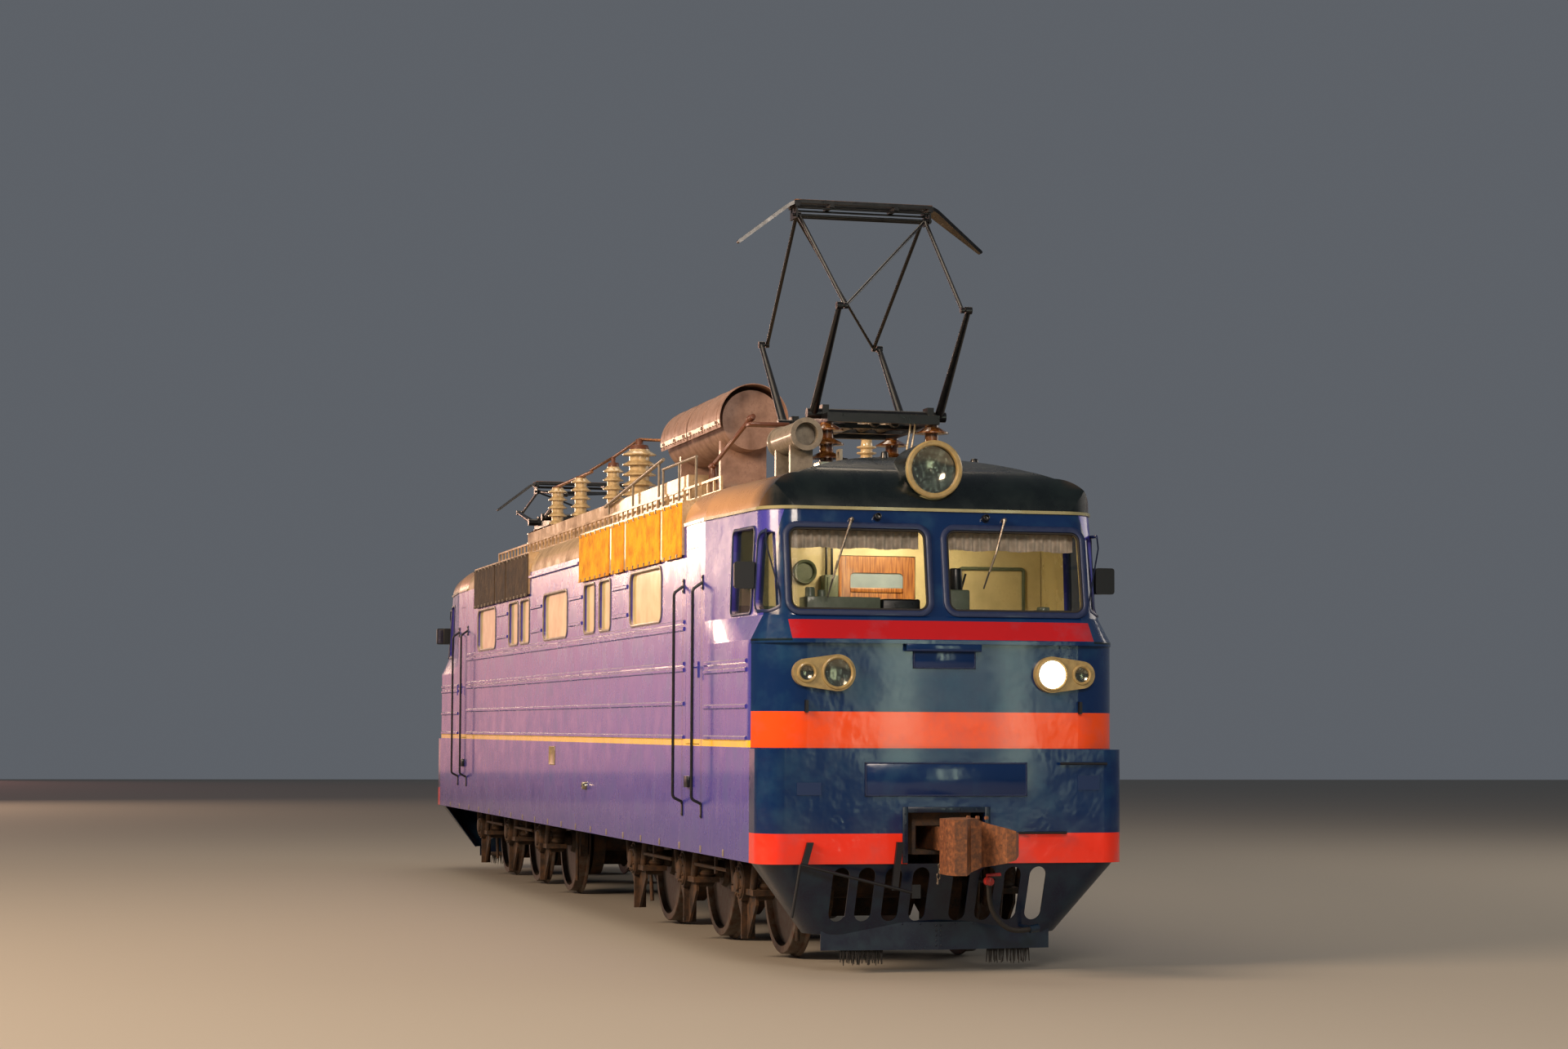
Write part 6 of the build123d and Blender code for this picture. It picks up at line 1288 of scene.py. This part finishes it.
# %% [markdown]
# ## Seats and curtains
#
# The seats are padded: a block is remeshed fine, blown up a little by a cloth simulation with
# pressure, and smoothed. It is simulated once and copied to each seat. The curtain over each
# screen is a gathered strip of cloth: a grid whose columns wave in and out, deeper at the foot
# than at the rail, since it is held only along the top.

# %% Blow up one cushion
CUSHION_SIZE = (0.44, 0.46, 0.11)
PAD_MARGIN = 0.012


def padded_block(name, size):
    """A block with its sides drawn in, remeshed, blown up by pressure and shaded smooth."""
    half = [v / 2 - PAD_MARGIN for v in size]
    pad = new_block(name, [-h for h in half], half)
    only(pad)
    bpy.ops.object.modifier_add(type="REMESH")
    pad.modifiers[-1].mode = "VOXEL"
    pad.modifiers[-1].voxel_size = 0.016
    bpy.ops.object.modifier_apply(modifier=pad.modifiers[-1].name)
    before = [vertex.co.copy() for vertex in pad.data.vertices]
    bpy.ops.object.modifier_add(type="CLOTH")
    cloth = pad.modifiers[-1]
    cloth.settings.use_pressure = True
    cloth.settings.uniform_pressure_force = 4.0
    cloth.settings.effector_weights.gravity = 0.0
    for step in range(1, 16):
        bpy.context.scene.frame_set(step)
    bpy.ops.object.modifier_apply(modifier=cloth.name)
    bpy.context.scene.frame_set(1)
    for vertex, start in zip(pad.data.vertices, before):
        move = vertex.co - start
        if move.length > PAD_MARGIN:
            vertex.co = start + move.normalized() * PAD_MARGIN
    bpy.ops.object.shade_smooth()
    return pad


SEAT_X = 8.250
SEATS_Y = (-0.750, 0.750)
SEAT_PAN_Z = 1.930
seat_places = [end @ Matrix.Translation((0, y, 0)) for end in BOTH_ENDS for y in SEATS_Y]
base = padded_block("seat_pads", CUSHION_SIZE)
base.data.transform(Matrix.Translation((SEAT_X + 0.02, 0, SEAT_PAN_Z + 0.056)))
back = padded_block("back_pads", (0.10, 0.46, 0.51))
back.data.transform(Matrix.Translation((SEAT_X - 0.18, 0, SEAT_PAN_Z + 0.385)))
seat_pads = fit("seat_pads", [base], seat_places, seat_cover)
back_pads = fit("back_pads", [back], seat_places, seat_cover)
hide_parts("seat_cushions")
print("seats", len(seat_places))

# %% Gather the curtains
CURTAIN_Y = (0.110, 1.230)
CURTAIN_Z = (3.448, 3.645)
CURTAIN_X = 8.992
PLEATS = 15
PLEAT_DEPTH = 0.024


def gathered_curtain(name, y_range, z_range, x, pleats, depth):
    """A strip of cloth in pleats that deepen towards its foot."""
    bpy.ops.object.select_all(action="DESELECT")
    bpy.ops.mesh.primitive_grid_add(x_subdivisions=pleats * 8, y_subdivisions=8, size=1)
    cloth = settle(name)
    width = y_range[1] - y_range[0]
    height = z_range[1] - z_range[0]
    for vertex in cloth.data.vertices:
        share = vertex.co.x + 0.5
        fall = 0.5 - vertex.co.y
        wave = math.sin(2 * math.pi * pleats * share + 0.9 * math.sin(7 * share))
        out = depth * (0.35 + 0.65 * fall) * wave
        hem = 0.006 * math.sin(19 * share) * fall
        vertex.co = (x + out, y_range[0] + width * share, z_range[1] - height * fall + hem)
    bpy.ops.object.shade_smooth()
    return cloth


strip = gathered_curtain("windscreen_curtains", CURTAIN_Y, CURTAIN_Z, CURTAIN_X, PLEATS, PLEAT_DEPTH)
strips = fit("windscreen_curtains", [strip], ALL_CORNERS, curtain_cloth)
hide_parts("cab_curtains")

# %% [markdown]
# ## Covers, skirt and steps along the sides
#
# Each grille cover hangs from small hooks and is held down by more of them. Along the skirt are
# a marker lamp, a blank plate, and the short tabs at its foot. They're all small, but their
# even spacing is what tells the eye how long the locomotive is.

# %% Hook on the covers
# Covers: from, to
COVERS = (
    (1.56, 3.17), (3.32, 3.91), (4.05, 5.61), (5.74, 6.55), (-5.87, -4.20), (-4.13, -3.35), (-3.28, -1.71),
)
COVER_Z = (3.490, 3.980)
COVER_FACE_Y = -1.580
HOOK_PITCH = 0.26
hooks = []
for x_from, x_to in COVERS:
    count = max(2, round((x_to - x_from) / HOOK_PITCH))
    for i in range(count):
        x = x_from + (x_to - x_from) * (i + 0.5) / count
        hooks += [(x, COVER_FACE_Y, COVER_Z[1] - 0.012), (x, COVER_FACE_Y, COVER_Z[0] + 0.014)]
hook = new_block("cover_hook", (-0.010, -0.009, -0.018), (0.010, 0.002, 0.018))
side_hooks = copies(press(hook, RIGHT, 0.004, (0, -0.005, 0.004)), hooks, "cover_hooks")
fit("cover_hooks", [side_hooks], BOTH_SIDES, grey_enamel)
HEM = 0.022
hems = []
for x_from, x_to in COVERS:
    for z in COVER_Z:
        low = z if z == COVER_Z[0] else z - HEM
        hem = new_block("cover_hem", (x_from, COVER_FACE_Y - 0.004, low), (x_to, COVER_FACE_Y, low + HEM))
        hems.append(soften(hem, 0.0015, 1))
fit("cover_hems", hems, BOTH_SIDES, cover_sheet)
print("cover hooks", len(hooks) * 2)

# %% Fit the skirt
SKIRT_FOOT_Z = 0.890
TAB_PITCH = 0.85
WALL_Y = -HALF_WIDTH + 0.002  # where a fitting starts, just inside the sheet
low = (-0.022, -HALF_WIDTH - 0.006, SKIRT_FOOT_Z + 0.01)
tab = new_block("skirt_tab", low, (0.022, WALL_Y, SKIRT_FOOT_Z + 0.07))
tab_places = [Vector((-8.0 + TAB_PITCH * i, 0, 0)) for i in range(20)]
tabs = copies(soften(tab, 0.003), tab_places, "skirt_tabs")
fit("skirt_tabs", [tabs], BOTH_SIDES, grey_enamel)
plate = new_block("skirt_plate", (-0.29, -HALF_WIDTH - 0.008, 1.560), (0.06, WALL_Y, 1.765))
plate = soften(press(plate, RIGHT, 0.010, (0, 0.003, 0)), 0.0015)
fit("skirt_plates", [plate], BOTH_SIDES, cream_enamel)
foot, head = (1.95, -HALF_WIDTH + 0.003, 1.370), (1.95, -HALF_WIDTH - 0.050, 1.370)
marker = new_rod("marker_lamp", foot, head, 0.046, 24, 0.036)
marker = soften(press(marker, RIGHT, 0.008, (0, 0.006, 0)), 0.003)
fit("marker_lamps", [marker], BOTH_SIDES, silver)
print("skirt tabs", len(tab_places) * 2)

# %% Bolt the handrails and hang the step brackets
RAILS_X = (6.560, 7.320)
RAIL_FEET_Z = (1.260, 3.230)
feet = []
for x in RAILS_X:
    for z in RAIL_FEET_Z:
        feet += [(x, -HALF_WIDTH - 0.010, z - 0.045), (x, -HALF_WIDTH - 0.010, z + 0.045)]
rivet_rows("handrail_bolts", feet, RIGHT, 0.009, bright_steel, bolt=True, ends=BOTH_ENDS)
mirrored = [(x, -y, z) for x, y, z in feet]
rivet_rows("handrail_bolts_left", mirrored, LEFT, 0.009, bright_steel, bolt=True, ends=BOTH_ENDS)
step = new_block("step_bracket", (6.760, -HALF_WIDTH - 0.036, 1.452), (6.900, WALL_Y, 1.550))
step = soften(press(step, UP, 0.012, (0, 0, -0.05)), 0.004)
fit("step_brackets", [step], ALL_CORNERS, black_enamel)
glass = new_block("mirror_glass", (8.8485, -1.630, 3.125), (8.8505, -1.494, 3.315))
fit("mirror_glasses", [soften(glass, 0.0008, 1)], ALL_CORNERS, silver)
print("handrail bolts", len(feet) * 4)

# %% [markdown]
# ## On the roof
#
# The reservoir's shades are held by bands with a bolted clamp. The high posts wear rust-red
# caps with a stud. Rows of bolts run along the hatches, whose lids stand a little proud, and the
# lids are inset cubes, so each has a raised rim as a pressed lid has.

# %% Band the reservoir
DRUM_Y = -0.450
DRUM_Z = 4.950
SHADE_R = 0.345
BANDS_X = (2.10, 2.62, 3.06, 3.36, 3.90, 4.52)
BAND_HALF = 0.018
profile = (
    (-BAND_HALF, SHADE_R - 0.002), (-BAND_HALF, SHADE_R + 0.004),
    (BAND_HALF, SHADE_R + 0.004), (BAND_HALF, SHADE_R - 0.002),
)


def clamp_bolts(side):
    """Places of the clamps' bolts on one side of the drum."""
    return [(x, DRUM_Y + side * (SHADE_R + 0.003), DRUM_Z - 0.03) for x in BANDS_X]


bands = []
for x in BANDS_X:
    band = spun("shade_band", profile + profile[:1], x, DRUM_Y, DRUM_Z, 48)
    only(band)
    bpy.ops.object.mode_set(mode="EDIT")
    bpy.ops.mesh.select_all(action="SELECT")
    cut = (0, DRUM_Y, DRUM_Z - SHADE_R * math.sin(math.radians(13)))
    bpy.ops.mesh.bisect(plane_co=cut, plane_no=(0, 0, 1), clear_inner=True, use_fill=True)
    bands.append(end_editing(band))
hand_over(join("shade_bands", bands), drum_enamel)
rivet_rows("shade_bolts", clamp_bolts(-1), RIGHT, 0.014, bright_steel, bolt=True)
edge = [1.99 + 0.115 * i for i in range(11)] + [3.27 + 0.123 * i for i in range(12)]
EDGE_ANGLE = math.radians(9)
edge_y = DRUM_Y - SHADE_R * math.cos(EDGE_ANGLE)
edge_z = DRUM_Z - SHADE_R * math.sin(EDGE_ANGLE)
rivet_rows("shade_rivets", [(x, edge_y, edge_z) for x in edge], (0, -1, -0.15), 0.009, bright_steel)
rivet_rows("shade_bolts_far", clamp_bolts(1), LEFT, 0.014, bright_steel, bolt=True)
print("bands", len(BANDS_X))

# %% Cap the posts
BUS_Y = -0.723
# Posts: x, y, top, shed radius
POSTS = (
    (-4.600, BUS_Y, 4.980, 0.120),
    (-3.000, BUS_Y, 4.980, 0.120),
    (-1.600, -0.600, 5.000, 0.120),
    (-0.100, -0.600, 5.070, 0.190),
    (0.700, 0.500, 4.980, 0.120),
    (-2.600, 0.500, 4.980, 0.120),
)
caps = []
for x, y, top, radius in POSTS:
    under_bar = y == BUS_Y
    height = 0.020 if under_bar else 0.050
    cap = new_rod("post_cap", (x, y, top - 0.03), (x, y, top + height), radius * 0.62, 24, radius * 0.5)
    if not under_bar:
        press(cap, UP, radius * 0.28, (0, 0, 0.07))
    caps.append(soften(cap, 0.006))
hand_over(join("post_caps", caps), bronze_cap)

# %% Lay the roof hatches
ROOF_TOP = 4.280
LID_TOP = ROOF_TOP + 0.018
HATCHES = ((-5.9, -5.1), (-3.9, -3.3), (-2.2, -1.6), (0.0, 0.5), (1.05, 1.75), (4.8, 5.9))
lids = []
studs = []
for x_from, x_to in HATCHES:
    low = (x_from, -0.42 if x_to > 0.6 else 0.40, ROOF_TOP - 0.03)
    lid = new_block("hatch_lid", low, (x_to, 0.85, LID_TOP))
    lids.append(soften(press(lid, UP, 0.05, (0, 0, 0.016)), 0.006))
    studs += [(x, 0.83, LID_TOP) for x in (x_from + 0.04, (x_from + x_to) / 2, x_to - 0.04)]
hand_over(join("roof_hatches", lids), roof_enamel)
rivet_rows("hatch_studs", studs, UP, 0.016, roof_enamel, bolt=True)
print("hatches", len(HATCHES))

# %% [markdown]
# ## Rods, links and knobs on the roof
#
# A roof that carries the high voltage is crowded: insulated rods slope up to the isolator,
# copper links step from post to post, a ribbed post stands behind the cab, and thin air tubes
# climb to the pantograph. Straight parts are rods with collars; the ribbed post is a spin of
# its sawtooth outline. Together they break up the roof's straight edge against the sky.

# %% Rig the roof
links = []
for first, last in (
    ((-2.34, -0.723, 5.022), (-1.60, -0.600, 5.115)),
    ((-1.60, -0.600, 5.115), (-0.10, -0.600, 5.185)),
    ((-0.10, -0.600, 5.185), (0.70, 0.500, 5.090)),
    ((-2.60, 0.500, 5.090), (0.70, 0.500, 5.090)),
):
    link = new_rod("copper_link", first, last, 0.017, 14)
    links.append(soften(link, 0.004))
hand_over(join("copper_links", links), bus_metal)

RODS_Y = -0.900
rods = []
for shift in (0.0, 0.085):
    low = Vector((4.813 + shift, RODS_Y, 4.467))
    high = Vector((6.336 + shift, RODS_Y, 4.775))
    rods.append(soften(new_rod("sloping_rod", low, high, 0.016, 14), 0.004))
    way = (high - low).normalized()
    for place in (low, high):
        collar = new_rod("rod_collar", place - way * 0.03, place + way * 0.04, 0.030, 14, 0.026)
        rods.append(soften(collar, 0.005))
foot = new_rod("rod_stand", (4.86, RODS_Y, 4.300), (4.86, RODS_Y, 4.480), 0.045, 16, 0.030)
rods.append(soften(foot, 0.008))
head = new_block("rod_yoke", (6.30, -0.93, 4.700), (6.47, -0.56, 4.735))
rods.append(soften(head, 0.008))
hand_over(join("isolator_rods", rods), bronze_cap)
print("roof links", len(links), "rods", len(rods))

# %% Spin the ribbed post behind the cab
POST_PLACE = (5.290, 0.500)
ribs = [(0.0, 0.0001), (0.0, 0.085), (0.05, 0.085), (0.06, 0.055)]
for i in range(6):
    for reach, radius in ((0.09, 0.058), (0.100, 0.095), (0.112, 0.095), (0.122, 0.058)):
        ribs.append((reach + 0.055 * i, radius))
ribs += [(0.45, 0.050), (0.47, 0.060), (0.51, 0.060), (0.52, 0.0001)]
post = spun("ribbed_post", ribs, 0, 0, 0, 32)
post.data.transform(Matrix.Translation((*POST_PLACE, 4.262)) @ Matrix.Rotation(math.radians(-90), 4, "Y"))
hand_over(post, cream_porcelain)

# %% Lead the air tubes up to the pantographs
# Foot and head of each, as y and height
tubes = []
for foot, head in (
    ((0.220, 4.262), (0.300, 4.735)),
    ((0.262, 4.260), (0.342, 4.735)),
    ((0.395, 4.250), (0.455, 4.735)),
    ((0.437, 4.248), (0.497, 4.735)),
):
    foot = Vector((7.47, *foot))
    tubes.append(soften(new_rod("air_tube", foot, (7.45, *head), 0.009, 12), 0.003))
    tube_foot = new_rod("tube_foot", foot, foot + Vector((0, 0, 0.05)), 0.016, 12, 0.012)
    tubes.append(soften(tube_foot, 0.003))
fit("air_tubes", tubes, BOTH_ENDS, cream_porcelain)
# Place and radius of each knob; the roof falls away towards its sides
KNOBS = (
    (7.60, -0.36, 0.055), (7.62, -0.20, 0.045), (8.30, -0.20, 0.040),
    (8.30, 0.60, 0.045), (8.02, 0.520, 0.05),
)
knobs = []
for x, y, radius in KNOBS:
    drop = 0.34 * (y / HALF_WIDTH) ** 2
    head = (x, y, 4.300 - drop + radius * 0.7)
    knob = new_rod("roof_knob", (x, y, 4.225 - drop), head, radius, 18, radius * 0.7)
    knobs.append(soften(knob, radius * 0.35, 3))
fit("roof_knobs", knobs, BOTH_ENDS, black_enamel)
print("tubes", len(tubes), "knobs", len(knobs) * 2)

# %% [markdown]
# ## Pantograph springs and strips
#
# Strong coil springs pull the lower arms up, and copper strips on the head rub along the wire.
# A coil is a curve whose points climb a helix, given a thickness and made a mesh.

# %% Wind the springs
PANTOGRAPH_X = 6.830


def coil(name, start, end, radius, wire, turns):
    """A coil spring between two points, made a mesh."""
    first, last = Vector(start), Vector(end)
    way = last - first
    turn = way.to_track_quat("Z", "Y").to_matrix()
    curve = bpy.data.curves.new(name, "CURVE")
    curve.dimensions = "3D"
    curve.bevel_depth = wire
    curve.bevel_resolution = 1
    line = curve.splines.new("POLY")
    steps = turns * 12
    line.points.add(steps)
    for i, point in enumerate(line.points):
        angle = 2 * math.pi * i / 12
        local = Vector((radius * math.cos(angle), radius * math.sin(angle), way.length * i / steps))
        point.co = (*(first + turn @ local), 1.0)
    spring = bpy.data.objects.new(name, curve)
    bpy.context.scene.collection.objects.link(spring)
    only(spring)
    bpy.ops.object.convert(target="MESH")
    bpy.ops.object.shade_smooth()
    return bpy.context.object


SPRING_HALF = 0.29
SPRING_Z = 4.695
springs = []
for centre in (PANTOGRAPH_X, -PANTOGRAPH_X):
    for y in (0.060, 0.240):
        ends = [(centre + reach, y, SPRING_Z) for reach in (-SPRING_HALF, SPRING_HALF)]
        springs.append(coil("lift_spring", *ends, 0.040, 0.008, 22))
hand_over(join("lift_springs", springs), bright_steel)
print("lift springs", len(springs))

# %% Lay copper strips on the collector heads
# End and middle x
HEADS = (("front", PANTOGRAPH_X), ("rear", -PANTOGRAPH_X))
STRIP_HALF = (0.012, 0.64, 0.004)
for end_name, centre in HEADS:
    skid_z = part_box(f"pantograph_{end_name}_head")[1][2]
    strips = []
    for reach in (-0.105, -0.075, 0.075, 0.105):
        middle = (centre + reach, 0.0, skid_z)
        low = [m - half for m, half in zip(middle, STRIP_HALF)]
        high = [m + half for m, half in zip(middle, STRIP_HALF)]
        strips.append(soften(new_block("contact_strip", low, high), 0.002))
    piece = join(f"contact_strips_{end_name}", strips)
    hand_over(piece, bus_metal, f"pantograph_{end_name}_head_body")
print("contact strips on", len(HEADS), "heads")

# %% [markdown]
# ## Axle boxes
#
# The cover of an axle box is a ring of bolts round a domed cap: the part of a bogie that people
# remember. Each is spun once, and the bolts are copied round it.

# %% Cap the axle boxes
AXLE_Z = 0.655
BOX_OUTER_Y = 1.225
AXLES_X = (7.400, 5.100, 2.800)
BOLT_CIRCLE_R = 0.118
for end_name, way in (("front", 1), ("rear", -1)):
    caps = []
    for x in AXLES_X:
        for side in (-1, 1):
            foot = (way * x, side * BOX_OUTER_Y, AXLE_Z)
            head = (way * x, side * (BOX_OUTER_Y + 0.018), AXLE_Z)
            cap = new_rod("box_cap", foot, head, 0.150, 28, 0.140)
            caps.append(soften(press(cap, (0, side, 0), 0.055, (0, side * 0.022, 0)), 0.006))
    hand_over(join(f"axle_box_caps_{end_name}", caps), running_enamel, f"bogie_{end_name}")
    for side in (-1, 1):
        bolts = []
        for x in AXLES_X:
            for i in range(8):
                angle = math.radians(22.5 + 45 * i)
                bolt_x = way * x + BOLT_CIRCLE_R * math.cos(angle)
                bolt_z = AXLE_Z + BOLT_CIRCLE_R * math.sin(angle)
                bolts.append((bolt_x, side * (BOX_OUTER_Y + 0.020), bolt_z))
        name = f"axle_box_bolts_{end_name}_{'left' if side > 0 else 'right'}"
        rivet_rows(name, bolts, (0, side, 0), 0.013, running_enamel, f"bogie_{end_name}", True)
print("axle box caps", len(AXLES_X) * 4)
